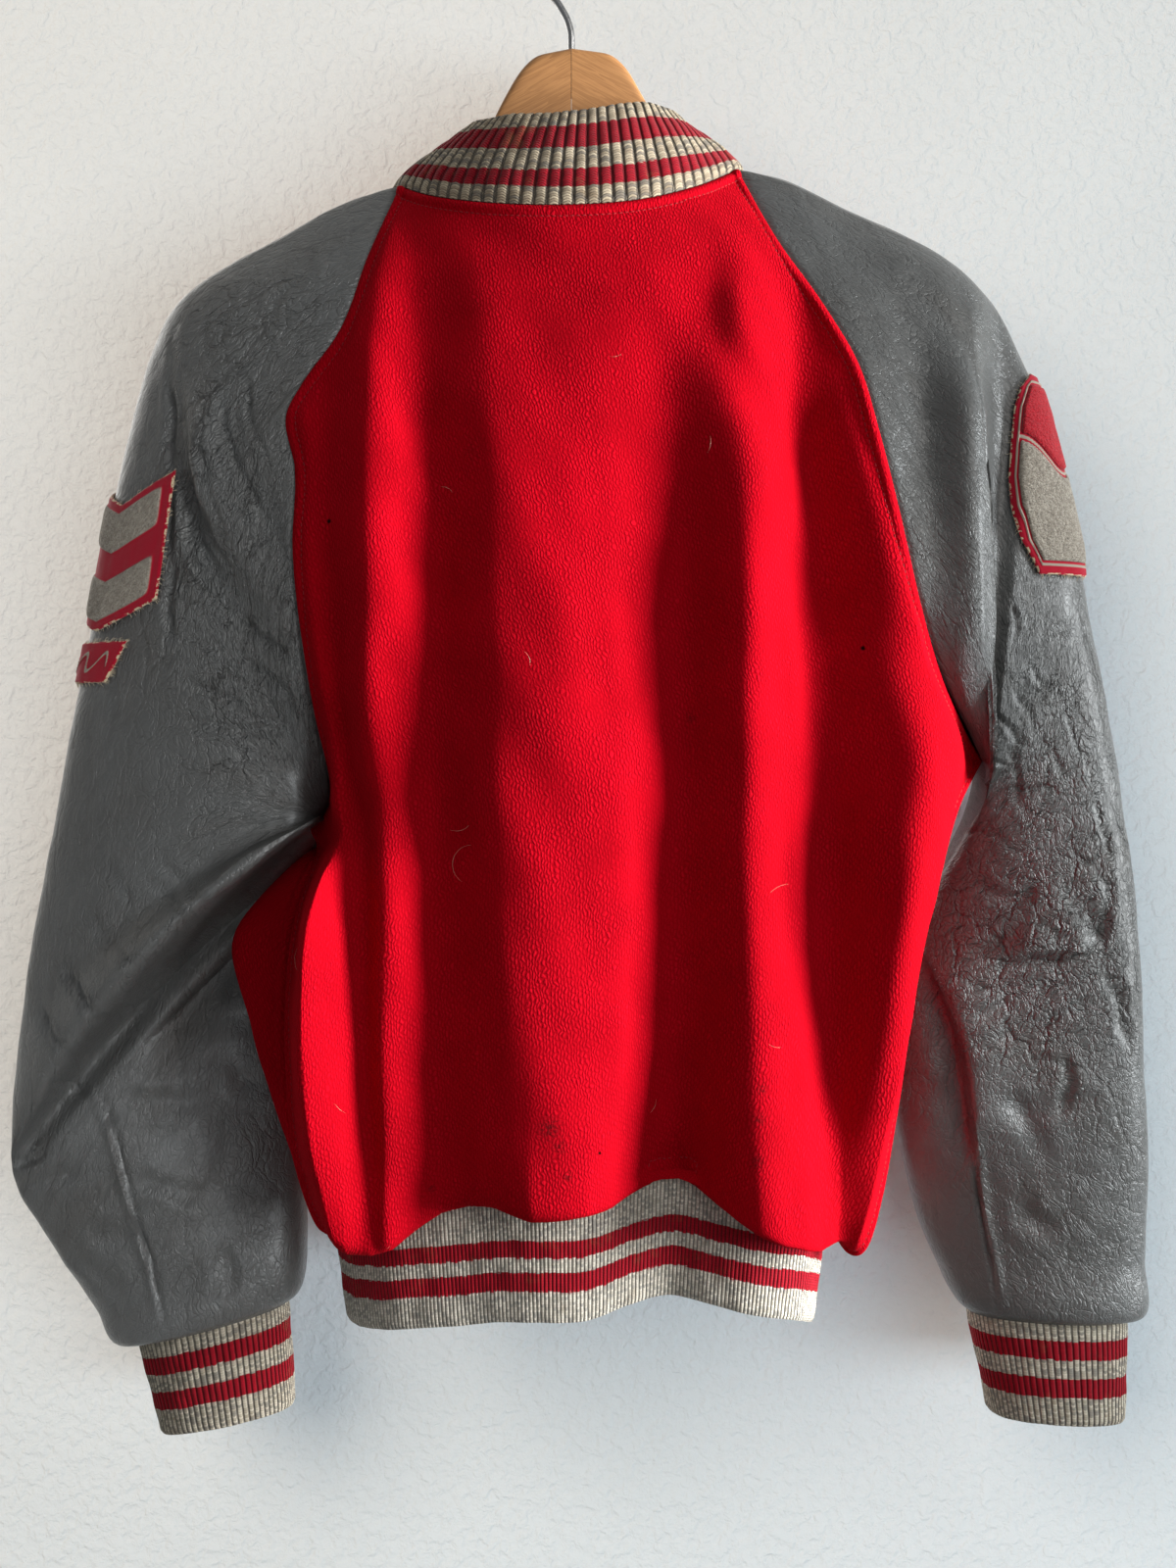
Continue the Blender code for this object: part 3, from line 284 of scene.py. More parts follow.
# Long folds of the back as sections across it, at falling heights: z, then x and depth towards
# the eye of each line. The lines are: left side, roll, its foot, first crest, first valley,
# second crest, its slope, second valley, third crest, its foot, third valley, rim, right side.
BACK_FOLDS = np.array((
    (-185, -170, 0, -122, 0, -116, 0, -100, 5, -82, 1, -50, 0, 0, 0, 40, 1, 72, 3, 90, 5, 108, 3,
     150, 0, 190, 0),
    (-230, -170, 0, -138, 4, -128, 0, -103, 10, -78, -1, -42, 1, 10, 0, 44, 0, 72, 1, 89, 7, 116, -3,
     140, 0, 190, 0),
    (-290, -172, 0, -143, 16, -130, 4, -103, 13, -72, -5, -38, 1, 14, -6, 54, -13, 90, 0, 112, -12,
     120, -19, 150, -2, 195, 0),
    (-350, -174, 0, -143, 24, -130, 4, -102, 14, -68, -7, -36, 2, 18, -8, 58, -22, 92, -2, 114, -16,
     124, -24, 167, 2, 205, 0),
    (-410, -176, 0, -138, 32, -124, 6, -104, 15, -69, -8, -34, 2, 20, -9, 57, -25, 90, -3, 114, -17,
     126, -25, 184, 9, 214, 0),
    (-450, -176, 0, -138, 48, -116, 8, -106, 15, -69, -8, -34, 2, 22, -9, 57, -25, 90, -3, 114, -17,
     127, -26, 199, 20, 214, 0),
    (-485, -176, 0, -140, 60, -107, 12, -99, 17, -68, -7, -34, 2, 22, -9, 57, -25, 90, -3, 114, -17,
     128, -26, 195, 24, 211, 0),
    (-530, -176, 0, -143, 66, -103, 11, -95, 17, -69, -6, -32, 2, 24, -10, 56, -26, 90, -3, 114, -17,
     130, -26, 190, 29, 205, 0),
    (-580, -172, 0, -142, 58, -103, 11, -95, 15, -71, -4, -28, 2, 24, -10, 54, -25, 91, -2, 116, -15,
     132, -24, 183, 28, 201, 0),
    (-635, -170, 0, -138, 50, -102, 10, -94, 13, -71, -3, -26, 4, 22, -9, 52, -23, 93, -2, 120, -13,
     134, -20, 175, 22, 199, 0),
    (-680, -168, 0, -133, 35, -100, 5, -92, 7, -69, -1, -26, 4, 20, -6, 50, -17, 95, -1, 126, -8,
     138, -12, 157, 10, 194, 0),
    (-705, -165, 0, -124, 18, -98, 3, -88, 4, -66, -2, -24, 4, 20, -4, 48, -10, 96, 0, 128, -4,
     139, -6, 154, 6, 192, 0),
), float)

# Sections of the fronts, hem to neck: share of height, x and y at each station, centre y.
FRONT_SECTIONS: dict[Side, Array] = {
    Side.LEFT: np.array((
        (0.0, -130, -20, -130, 4, -119, 32, -72, 62, 68),
        (0.06, -144, -24, -140, 0, -126, 32, -78, 72, 78),
        (0.18, -172, -22, -150, -2, -132, 28, -84, 80, 88),
        (0.28, -183, -12, -150, 2, -131, 30, -85, 84, 92),
        (0.34, -150, -8, -136, 6, -125, 32, -85, 85, 92),
        (0.38, -131, -2, -127, 13, -120, 36, -82, 85, 92),
        (0.4, -128, 4, -125, 18, -118, 40, -80, 85, 92),
        (0.46, -128, 32, -124, 46, -114, 62, -80, 88, 93),
        (0.55, -137, 64, -126, 72, -112, 79, -72, 90, 93),
        (0.7, -134, 67, -120, 74, -102, 80, -60, 87, 89),
        (0.85, -108, 57, -93, 62, -76, 66, -42, 74, 78),
        (1.0, -87, 27, -78, 36, -67, 44, -38, 58, 64),
    )),
    Side.RIGHT: np.array((
        (0.0, 137, -6, 132, 16, 120, 43, 76, 66, 68),
        (0.06, 156, -8, 148, 11, 131, 40, 80, 74, 78),
        (0.18, 172, -12, 158, 8, 138, 36, 86, 80, 88),
        (0.28, 181, -12, 164, 6, 144, 34, 90, 84, 92),
        (0.34, 190, -12, 171, 8, 149, 36, 92, 85, 92),
        (0.4, 208, -8, 189, 11, 160, 43, 93, 86, 92),
        (0.46, 201, 34, 182, 50, 154, 68, 92, 90, 93),
        (0.55, 172, 66, 156, 75, 134, 82, 82, 91, 93),
        (0.7, 148, 70, 134, 76, 112, 82, 66, 88, 89),
        (0.85, 113, 57, 98, 62, 80, 66, 44, 74, 78),
        (1.0, 85, 27, 77, 36, 66, 44, 38, 58, 64),
    )),
}
NECK_FRONT_Z = np.array(((0, 0), (0.14, -5), (0.28, -9), (0.42, -13), (0.7, -10), (1, 0)))

# Sleeve sections, shoulder to wrist: t, O on the overarm line, I on the underarm line, bow,
# depths on the back next to I and O and on the front next to I and O, share of the seam.
SLEEVE: dict[Side, Array] = {
    Side.LEFT: np.array((
        (0.0, -99, 0, -139, -131, -8, -481, 0, 45, 40, 45, 40, 1),
        (0.06, -130, 0, -150, -131.4, -8, -482, 0, 46, 42, 45, 40, 0.8),
        (0.12, -163, 0, -168, -131.8, -8, -483, 0, 46, 44, 46, 42, 0.55),
        (0.18, -195, 0, -186, -132.2, -8, -484, 0, 46, 44, 48, 44, 0.3),
        (0.23, -216, 0, -203, -132.6, -8, -484.6, 0, 46, 42, 50, 44, 0.15),
        (0.28, -229, 0, -226, -133, -8, -485, 0, 46, 38, 50, 42, 0.05),
        (0.38, -247, 0, -289, -133.4, -8, -485.8, 0, 46, 32, 50, 40, 0),
        (0.5, -265, 0, -380, -133.8, -8, -486.4, 4, 46, 28, 52, 40, 0),
        (0.6, -285, 0, -485, -134.2, -9, -487, 8, 44, 24, 55, 38, 0),
        (0.7, -304, 0, -595, -134.6, -12, -487.6, 11, 42, 18, 60, 34, 0),
        (0.765, -311, 0, -672, -135, -15, -488.4, 12, 40, 12, 66, 30, 0),
        (0.785, -312, 4, -681, -137, 12, -492, 11, 4, 4, 42, 28, 0),
        (0.83, -309, 10, -699, -144, 24, -530, 10, 14, 18, 30, 26, 0),
        (0.88, -300, 18, -719, -152, 29, -585, 9, 20, 24, 28, 26, 0),
        (0.93, -285, 25, -745, -154, 31, -655, 6, 24, 27, 28, 26, 0),
        (0.965, -270, 29, -769, -152, 31, -712, 3, 27, 28, 28, 27, 0),
        (0.988, -259, 30, -787, -155, 31, -757, 0, 28, 29, 28, 28, 0),
        (1.0, -247, 30, -787, -163, 31, -765, 0, 21, 22, 21, 22, 0),
    )),
    Side.RIGHT: np.array((
        (0.0, 95, 0, -129, 225, -14, -456, 0, 50, 45, 45, 40, 1),
        (0.05, 122, 0, -137, 226, -14, -459, 0, 50, 46, 46, 40, 0.8),
        (0.1, 150, 0, -151, 227, -14, -462, 0, 52, 47, 47, 42, 0.55),
        (0.15, 181, 0, -165, 227, -13, -465, 0, 54, 48, 48, 44, 0.3),
        (0.2, 208, 0, -181, 227, -13, -468, 3, 54, 46, 50, 44, 0.12),
        (0.24, 224, 0, -195, 227, -12, -470, 9, 52, 42, 50, 42, 0.02),
        (0.262, 233, 0, -205, 227, -12, -472, 5, 24, 30, 50, 42, 0),
        (0.31, 252, 0, -240, 226, -11, -475, 0, 24, 28, 50, 41, 0),
        (0.37, 266, 0, -285, 225, -10, -479, 0, 24, 26, 50, 40, 0),
        (0.44, 279, 0, -340, 223, -6, -484, 0, 24, 26, 48, 38, 0),
        (0.51, 291, 0, -400, 219, 0, -492, 2, 25, 27, 44, 36, 0),
        (0.58, 302, 0, -462, 212, 8, -506, 4, 26, 28, 40, 34, 0),
        (0.65, 311, 2, -525, 201, 16, -530, 5, 26, 28, 36, 32, 0),
        (0.72, 317, 5, -583, 187, 22, -570, 4, 26, 28, 34, 32, 0),
        (0.79, 320, 9, -635, 182, 25, -620, 3, 27, 28, 32, 30, 0),
        (0.86, 323, 13, -690, 188, 26, -675, 2, 28, 28, 30, 30, 0),
        (0.93, 322, 16, -735, 202, 25, -728, 1, 28, 28, 30, 30, 0),
        (0.985, 321, 18, -768, 219, 22, -762, 0, 29, 29, 30, 30, 0),
        (1.0, 313, 18, -770, 224, 20, -766, 0, 23, 23, 23, 23, 0),
    )),
}
SLEEVE_RINGS: dict[Side, tuple[float, ...]] = {
    Side.LEFT: (
        0.0, 0.05, 0.1, 0.15, 0.2, 0.245, 0.29, 0.35, 0.42, 0.49, 0.56, 0.62, 0.68, 0.73,
        0.765, 0.785, 0.81, 0.845, 0.88, 0.915, 0.95, 0.988, 1.0,
    ),
    Side.RIGHT: (
        0.0, 0.04, 0.08, 0.12, 0.16, 0.2, 0.24, 0.262, 0.31, 0.37, 0.43, 0.49, 0.55, 0.61,
        0.67, 0.73, 0.79, 0.84, 0.89, 0.94, 0.985, 1.0,
    ),
}

COLLAR_TOP: Rows = (
    (-1, 48, -182), (-60, 14, -114), (-54, -10, -106), (-40, -26, -108), (-2, -38, -110),
    (45, -26, -101), (56, -10, -100), (63, 7, -103), (1, 48, -182),
)
CUFF_END: dict[Side, Rows] = {
    # O and I of the opening
    Side.LEFT: ((-234, 29, -838), (-159, 30, -823)),
    Side.RIGHT: ((311, 16, -826), (235, 16, -822)),
}

# Half depth of each cuff at its end.
CUFF_DEPTH: dict[Side, float] = {Side.LEFT: 20.0, Side.RIGHT: 21.0}


@dataclass(frozen=True)
class Cut:
    """The jacket's sewing lines and panels, each a function of one or two shares."""

    armpit: float = 0.4  # share of the body's height where the side seam meets the raglan
    seam_share: float = 11 / 24  # share of a sleeve's first ring along one raglan seam
    calm_reach: float = 0.09
    round_power: float = 3.4
    blouse_row: float = 0.03
    middle_fade: float = 0.03  # shares over which the back's forms fade in from its edges
    left_fade: float = 0.05
    right_fade: float = 0.035
    hem_fade: float = 0.04
    neck_fade: float = 0.08
    tube_power: float = 0.75
    centre_hem: float = -686.0
    centre_neck: float = -212.0
    overlap: float = 17.0
    overlap_step: float = 4.4
    stations: tuple[float, ...] = (0.0, 0.14, 0.28, 0.42, 0.7, 1.0)
    front_drop: float = 20.0
    front_out: float = 10.0

    def raglan(self, side: Side, face: Face, share: Array) -> Array:
        """Raglan seam from armpit (0) to neck (1)."""
        return along(np.array(RAGLAN[side], float)[:, [0, face.value, 3]], share)

    def side_edge(self, side: Side, face: Face, v: Array) -> Array:
        """Outer edge of a body panel: the side seam, then the raglan seam.

        Args:
            side: the wearer's side.
            face: back or front panel.
            v: heights from hem (0) to neck (1).

        Returns:
            Points of the edge.
        """
        below = along(SIDE_SEAM[side], v / self.armpit)
        above = self.raglan(side, face, (v - self.armpit) / (1 - self.armpit))
        return np.where((v < self.armpit)[..., None], below, above)

    def calm_edge(self, side: Side, v: Array) -> Array:
        """The back's side edge without its corner at the armpit.

        Args:
            side: the wearer's side.
            v: heights from hem to neck.

        Returns:
            Points of the smoother line.
        """
        knots = np.linspace(0, 1, 6)
        rows = self.side_edge(side, Face.BACK, knots)
        mean = rows.copy()
        mean[1:-1] = rows[:-2] / 4 + rows[1:-1] / 2 + rows[2:] / 4
        return through(knots, mean, v)

    def edge_fade(self, u: Array) -> Array:
        """Share of an edge's own form left at a distance: exp(-u / reach)(1 - u)."""
        return np.exp(-u / self.calm_reach) * (1 - u)

    @staticmethod
    def bow(rows: Rows, first: Array, last: Array, u: Array) -> Array:
        """How far a seam lies off the straight line between its ends."""
        curve = along(np.vstack([first, rows, last]), u)
        return curve - (np.asarray(first) * (1 - u)[..., None] + np.asarray(last) * u[..., None])

    def hang(self, v: Array) -> Array:
        """Share of the overhang above the waistband: (v / r) exp(1 - v / r)."""
        return (v / self.blouse_row) * np.exp(1 - v / self.blouse_row)

    def blouse(self, x: Array, v: Array) -> tuple[Array, Array]:
        """Shift of the wool over the waistband on the back."""
        knots, *columns = np.array(BLOUSE_BACK, float).T
        return tuple(np.interp(x, knots, column) * self.hang(v) for column in columns)

    def fold_depth(self, x: Array, z: Array) -> Array:
        """Depth of the long folds: cubic across the fold lines, which run smoothly down."""
        row = through(-BACK_FOLDS[:, 0], BACK_FOLDS[:, 1:], -z)
        return across_row(row[..., 0::2], row[..., 1::2], x)

    def back(self, u: Array, v: Array) -> Array:
        """Back panel: its edges joined across, bowed out to the middle line and folded.

        Args:
            u: shares of the width, left to right.
            v: shares of the height, hem to neck.

        Returns:
            Outer points.
        """
        u, v = np.broadcast_arrays(np.asarray(u, float), np.asarray(v, float))
        left, right = (self.side_edge(side, Face.BACK, v) for side in Side)
        calm = [self.calm_edge(side, v) for side in Side]
        points = calm[0] * (1 - u)[..., None] + calm[1] * u[..., None]
        points += (left - calm[0]) * self.edge_fade(u)[..., None]
        points += (right - calm[1]) * self.edge_fade(1 - u)[..., None]
        low = [self.side_edge(side, Face.BACK, np.zeros(1))[0] for side in Side]
        high = [self.side_edge(side, Face.BACK, np.ones(1))[0] for side in Side]
        points += self.bow(HEM_BACK, *low, u) * ((1 - v) ** 2)[..., None]
        points += self.bow(NECK_BACK, *high, u) * (v**2)[..., None]
        half = np.full_like(u, 0.5)
        flat = (calm[0] + calm[1])[..., 1] / 2
        flat = flat + self.bow(HEM_BACK, *low, half)[..., 1] * (1 - v) ** 2
        flat = flat + self.bow(NECK_BACK, *high, half)[..., 1] * v**2
        depth = (through(*BACK_MIDDLE.T, v) - flat) * ease(v / self.middle_fade)
        depth = depth * ease((1 - v) / self.middle_fade)
        points[..., 1] += depth * (1 - np.abs(2 * u - 1) ** self.round_power)
        edge = ease(u / self.left_fade) * ease((1 - u) / self.right_fade)
        edge = edge * ease(v / self.hem_fade) * ease((1 - v) / self.neck_fade)
        points[..., 1] -= edge * self.fold_depth(points[..., 0], points[..., 2])
        drop, out = self.blouse(points[..., 0], v)
        points[..., 2] -= drop
        points[..., 1] -= out
        return points

    def front(self, side: Side, u: Array, v: Array) -> Array:
        """One front: cubic across its stations, lapped past the centre line.

        Args:
            side: the wearer's side.
            u: shares from the side edge (0) to the centre (1), and past it into the lap (2).
            v: shares of the height, hem to neck.

        Returns:
            Outer points.
        """
        u, v = np.broadcast_arrays(np.asarray(u, float), np.asarray(v, float))
        table = FRONT_SECTIONS[side]
        section = through(table[:, 0], table[:, 1:], v)
        edge = self.side_edge(side, Face.FRONT, v)
        stations = np.array(self.stations)
        x = np.stack([edge[..., 0], *np.moveaxis(section[..., 0:8:2], -1, 0), 0 * v])
        y = np.stack([edge[..., 1], *np.moveaxis(section[..., 1:8:2], -1, 0), section[..., 8]])
        grid = np.clip(u, 0, 1)
        i = np.clip(np.searchsorted(stations, grid, side="right") - 1, 0, len(stations) - 2)
        h = np.diff(stations)[i]
        t = (grid - stations[i]) / h
        points = np.empty(u.shape + (3,))
        for axis, rows in ((0, x), (1, y)):
            slope = np.gradient(rows, stations, axis=0)
            low, high = (np.take_along_axis(rows, (i + k)[None], 0)[0] for k in (0, 1))
            rise, fall = (np.take_along_axis(slope, (i + k)[None], 0)[0] for k in (0, 1))
            points[..., axis] = hermite(low, high, rise, fall, h, t)
        centre = self.centre_hem + (self.centre_neck - self.centre_hem) * v
        points[..., 2] = edge[..., 2] * (1 - grid) + centre * grid
        points[..., 2] += v**3 * through(*NECK_FRONT_Z.T, grid)
        side_drop, side_out = self.blouse(edge[..., 0], v)
        points[..., 1] -= side_out * self.edge_fade(grid)
        plain = ease((0.9 - grid) / 0.5)
        share = self.hang(v)
        points[..., 2] -= (side_drop * (1 - grid) + self.front_drop * share * grid) * plain
        points[..., 1] += self.front_out * share * ease(grid / 0.4) * plain
        if side is Side.RIGHT:
            points[..., 1] -= self.overlap_step * ease((grid - 0.72) / 0.2)
        points[..., 0] += np.where(u > 1, u - 1, 0) * self.overlap * -side.value
        return points

    def neck_edge(self, side: Side, share: Array) -> Array:
        """Neck end of a sleeve, from its back raglan corner to its front one."""
        back, front = (self.raglan(side, face, np.ones(1))[0] for face in Face)
        return through((0, 0.5, 1), np.stack([back, SLEEVE[side][0, 1:4], front]), share)

    def sleeve(self, side: Side, s: Array, t: Array) -> Array:
        """Sleeve tube: flattened rings between the overarm and underarm lines.

        Args:
            side: the wearer's side.
            s: shares round it: underarm (0), back, overarm (0.5), front, underarm (1).
            t: shares down it, shoulder to wrist.

        Returns:
            Outer points.
        """
        s, t = np.broadcast_arrays(np.asarray(s, float), np.asarray(t, float))
        table = SLEEVE[side]
        row = through(table[:, 0], table[:, 1:], t)
        outer, inner = row[..., 0:3], row[..., 3:6]
        seam = np.clip(row[..., 11], 0, 1)
        half = self.seam_share
        rear = self.raglan(side, Face.BACK, np.clip(s / half, 0, 1))
        fore = self.raglan(side, Face.FRONT, np.clip((1 - s) / half, 0, 1))
        neck = self.neck_edge(side, np.clip((s - half) / (1 - 2 * half), 0, 1))
        ring = np.where((s < half)[..., None], rear, np.where((s > 1 - half)[..., None], fore, neck))
        base, reach = table[0, 4:7], table[0, 1:4] - table[0, 4:7]
        on_seam = ((ring - base) @ reach / (reach @ reach)).clip(0, 1)
        across = (1 - np.cos(2 * math.pi * s)) / 2 * (1 - seam) + on_seam * seam
        points = inner + (outer - inner) * across[..., None]
        chord = outer - inner
        length = np.linalg.norm(chord[..., [0, 2]], axis=-1)
        sag = 4 * across * (1 - across) * row[..., 6] / length
        points[..., 0] += -side.value * sag * chord[..., 2]
        points[..., 2] -= -side.value * sag * chord[..., 0]
        wave = np.sin(2 * math.pi * s)
        full = np.abs(wave) ** self.tube_power * np.sign(wave)
        back = row[..., 7] * (1 - across) + row[..., 8] * across
        front = row[..., 9] * (1 - across) + row[..., 10] * across
        points[..., 1] -= np.where(full > 0, back, front) * full * (1 - seam)
        return points + (ring - base - reach * on_seam[..., None]) * seam[..., None]

    def neck_line(self) -> Array:
        """Neck seam from the centre of the left front round the back to the right front.

        Returns:
            A fine line of points.
        """
        across, top = np.linspace(0, 1, 120), np.linspace(0, 1, 24)
        left = self.front(Side.LEFT, across[::-1], np.ones(120))
        right = self.front(Side.RIGHT, across, np.ones(120))
        left_top = self.neck_edge(Side.LEFT, top)[::-1]
        right_top = self.neck_edge(Side.RIGHT, top)
        back = self.back(across, np.ones(120))
        return np.concatenate([left, left_top[1:-1], back, right_top[1:-1], right])

    def hem_line(self) -> Array:
        """Hem seam from the left front's edge round the back to the right front's edge.

        Returns:
            A fine line of points.
        """
        across = np.linspace(0, 1, 160)
        lapped = np.concatenate([across[:-1], np.linspace(1, 2, 20)])
        left = self.front(Side.LEFT, lapped[::-1], np.zeros(len(lapped)))
        right = self.front(Side.RIGHT, lapped, np.zeros(len(lapped)))
        return np.concatenate([left[:-1], self.back(across, np.zeros(160)), right[1:]])


CUT = Cut()


# --- meshes


def normals_of(points: Array, sign: float, tube: bool = False) -> Array:
    """Unit normals of a grid of points.

    Args:
        points: rows by columns by 3.
        sign: -1 if the grid runs the other way round.
        tube: whether the last column lies on the first.

    Returns:
        One normal per point.
    """
    if tube:
        ring = points[:, :-1]
        across = np.roll(ring, -1, axis=1) - np.roll(ring, 1, axis=1)
        across = np.concatenate([across, across[:, :1]], axis=1)
    else:
        across = np.gradient(points, axis=1)
    normal = np.cross(across, np.gradient(points, axis=0)) * sign
    return unit(normal)


def from_edge(points: Array, edge: Edge) -> tuple[Array, Array]:
    """Distance of a grid's points from a border, and their place along it.

    Both are taken against the border's tangent at the same row or column.

    Args:
        points: rows by columns by 3.
        edge: which border.

    Returns:
        Distance from it, and distance along it.
    """
    rows, columns, axis = edge.value
    line = points[rows, columns]
    tangent = unit(np.gradient(line, axis=axis))
    away = points - line
    distance = np.linalg.norm(np.cross(away, tangent), axis=-1)
    steps = np.linalg.norm(np.diff(line, axis=axis), axis=-1)
    run = np.concatenate([np.zeros_like(np.take(steps, [0], axis)), np.cumsum(steps, axis)], axis)
    return distance, run + (away * tangent).sum(-1)


def metric_uv(points: Array) -> Array:
    """Texture coordinates in millimetres: distance across from the middle column, and up.

    Args:
        points: rows by columns by 3.

    Returns:
        Rows by columns by 2.
    """
    across = np.linalg.norm(np.diff(points, axis=1), axis=-1)
    across = np.concatenate([np.zeros((len(points), 1)), np.cumsum(across, 1)], 1)
    middle = points.shape[1] // 2
    up = np.linalg.norm(np.diff(points, axis=0), axis=-1).mean(1)
    up = np.concatenate([[0], np.cumsum(up)])[:, None]
    return np.stack([across - across[:, middle : middle + 1], up + 0 * across], -1)


def add_mesh(
    name: str, points: Array, faces: list[list[int]], material: Material,
    uv: Array | None = None, marks: dict[str, Array] | None = None, sharp: float = 50.0,
) -> Object:
    """Adds one smooth-shaded object to the scene.

    Args:
        name: name of the piece.
        points: its points in millimetres.
        faces: its faces as lists of point numbers.
        material: its material.
        uv: texture coordinates, one pair per point.
        marks: named values, one per point, for the material.
        sharp: angle in degrees over which an edge stays sharp.

    Returns:
        The object.
    """
    mesh = bpy.data.meshes.new(name)
    mesh.from_pydata((np.asarray(points) * MM).tolist(), [], faces)
    corners = np.empty(len(mesh.loops), int)
    mesh.loops.foreach_get("vertex_index", corners)
    if uv is not None:
        layer = mesh.uv_layers.new(name="UVMap")
        layer.uv.foreach_set("vector", np.asarray(uv, np.float32)[corners].ravel())
    for mark, values in (marks or {}).items():
        data = mesh.attributes.new(mark, "FLOAT", "POINT").data
        data.foreach_set("value", np.asarray(values, np.float32).ravel())
    mesh.materials.append(material)
    mesh.shade_smooth()
    mesh.set_sharp_from_angle(angle=math.radians(sharp))
    made = bpy.data.objects.new(name, mesh)
    bpy.context.scene.collection.objects.link(made)
    return made


def grid_faces(rows: int, columns: int, start: int = 0) -> Array:
    """Quads of a grid of points.

    Args:
        rows: its rows.
        columns: its columns.
        start: number of its first point.

    Returns:
        Four point numbers per quad.
    """
    index = start + np.arange(rows * columns).reshape(rows, columns)
    quads = (index[:-1, :-1], index[:-1, 1:], index[1:, 1:], index[1:, :-1])
    return np.stack([part.ravel() for part in quads], 1)


@dataclass
class Shell:
    """A thin cloth wall: a fine outer grid, a coarser inner one behind it, and rims."""

    name: str
    outer: Array
    normals: Array
    thickness: float
    sign: int = 1
    step: tuple[int, int] = (4, 4)
    uv: Array | None = None
    marks: dict[str, Array] = field(default_factory=dict)
    behind: Array | None = None  # grid that the inner face follows, if not the outer one

    def rims(self) -> list[list[int]]:
        """Faces that join the outer grid's borders to the inner one's.

        Returns:
            One face per gap between inner border points.
        """
        rows, columns = self.outer.shape[:2]
        down, across = self.step
        fine = np.arange(rows * columns).reshape(rows, columns)
        coarse_rows, coarse_columns = (rows - 1) // down + 1, (columns - 1) // across + 1
        coarse = rows * columns + np.arange(coarse_rows * coarse_columns)
        coarse = coarse.reshape(coarse_rows, coarse_columns)
        pairs = (
            (fine[0][::-1], coarse[0][::-1], across), (fine[-1], coarse[-1], across),
            (fine[:, 0], coarse[:, 0], down), (fine[:, -1][::-1], coarse[:, -1][::-1], down),
        )
        faces = []
        for line, inside, step in pairs:
            for j in range(len(inside) - 1):
                run = line[j * step : (j + 1) * step + 1].tolist()
                faces.append([run[-1], int(inside[j + 1]), int(inside[j])] + run[:-1])
        return faces

    def build(self, material: Material) -> Object:
        """Makes the mesh.

        Args:
            material: the cloth's material.

        Returns:
            The object.
        """
        rows, columns = self.outer.shape[:2]
        down, across = self.step
        if (rows - 1) % down or (columns - 1) % across:
            raise ValueError(f"{self.name}: {rows} x {columns} isn't whole steps of {self.step}")
        guide = self.outer if self.behind is None else self.behind
        inner = (guide - self.normals * self.thickness)[::down, ::across]
        points = np.concatenate([self.outer.reshape(-1, 3), inner.reshape(-1, 3)])
        inside = grid_faces(*inner.shape[:2], start=rows * columns)[:, ::-1]
        faces = grid_faces(rows, columns).tolist() + inside.tolist() + self.rims()
        if self.sign < 0:
            faces = [face[::-1] for face in faces]
        uv = None
        if self.uv is not None:
            uv = np.concatenate([self.uv.reshape(-1, 2), self.uv[::down, ::across].reshape(-1, 2)])
        marks = {
            name: np.concatenate([values.ravel(), values[::down, ::across].ravel()])
            for name, values in self.marks.items()
        }
        return add_mesh(self.name, points, faces, material, uv, marks)


def tubes(paths: Array, radii: Array, sides: int, across: Array) -> tuple[Array, list[list[int]]]:
    """Round tubes along paths: rings of points about each path point, with capped ends.

    Args:
        paths: tubes by points by 3.
        radii: radius at each point of each tube.
        sides: points in a ring.
        across: a direction per tube, or one for all, that no path runs along.

    Returns:
        Points and faces.
    """
    count, steps = paths.shape[:2]
    tangent = unit(np.gradient(paths, axis=1))
    first = unit(np.cross(tangent, np.broadcast_to(across, (count, 3))[:, None]))
    second = np.cross(tangent, first)
    angle = 2 * math.pi * np.arange(sides) / sides
    ring = first[..., None, :] * np.cos(angle)[:, None] + second[..., None, :] * np.sin(angle)[:, None]
    points = paths[..., None, :] + ring * np.asarray(radii)[..., None, None]
    index = np.arange(count * steps * sides).reshape(count, steps, sides)
    a, b = index[:, :-1], index[:, 1:]
    quads = np.stack([a, np.roll(a, -1, 2), np.roll(b, -1, 2), b], -1).reshape(-1, 4)
    caps = np.concatenate([index[:, 0, ::-1], index[:, -1]])
    return points.reshape(-1, 3), quads.tolist() + caps.tolist()


def loft_faces(rings: int, around: int) -> list[list[int]]:
    """Faces of a loft through rings of points, capped at both ends.

    Args:
        rings: how many rings it has.
        around: points in a ring.

    Returns:
        Lists of point numbers.
    """
    index = np.arange(rings * around).reshape(rings, around)
    a, b = index[:-1], index[1:]
    quads = np.stack([a, b, np.roll(b, -1, 1), np.roll(a, -1, 1)], -1).reshape(-1, 4)
    return quads.tolist() + [index[0].tolist(), index[-1][::-1].tolist()]


def hang_piece(obj: Object, node: str, replaces: bool = False) -> Object:
    """Fixes a piece to the part's one body.

    Args:
        obj: the piece.
        node: the CAD node that it belongs to, hidden when the piece replaces it.
        replaces: whether it stands for that node.

    Returns:
        The piece.
    """
    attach(obj, "root")
    if replaces:
        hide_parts(node)
    triangles = sum(len(p.vertices) - 2 for p in obj.data.polygons)
    LOG.info("%s: %d triangles", obj.name, triangles)
    return obj


# --- shaders


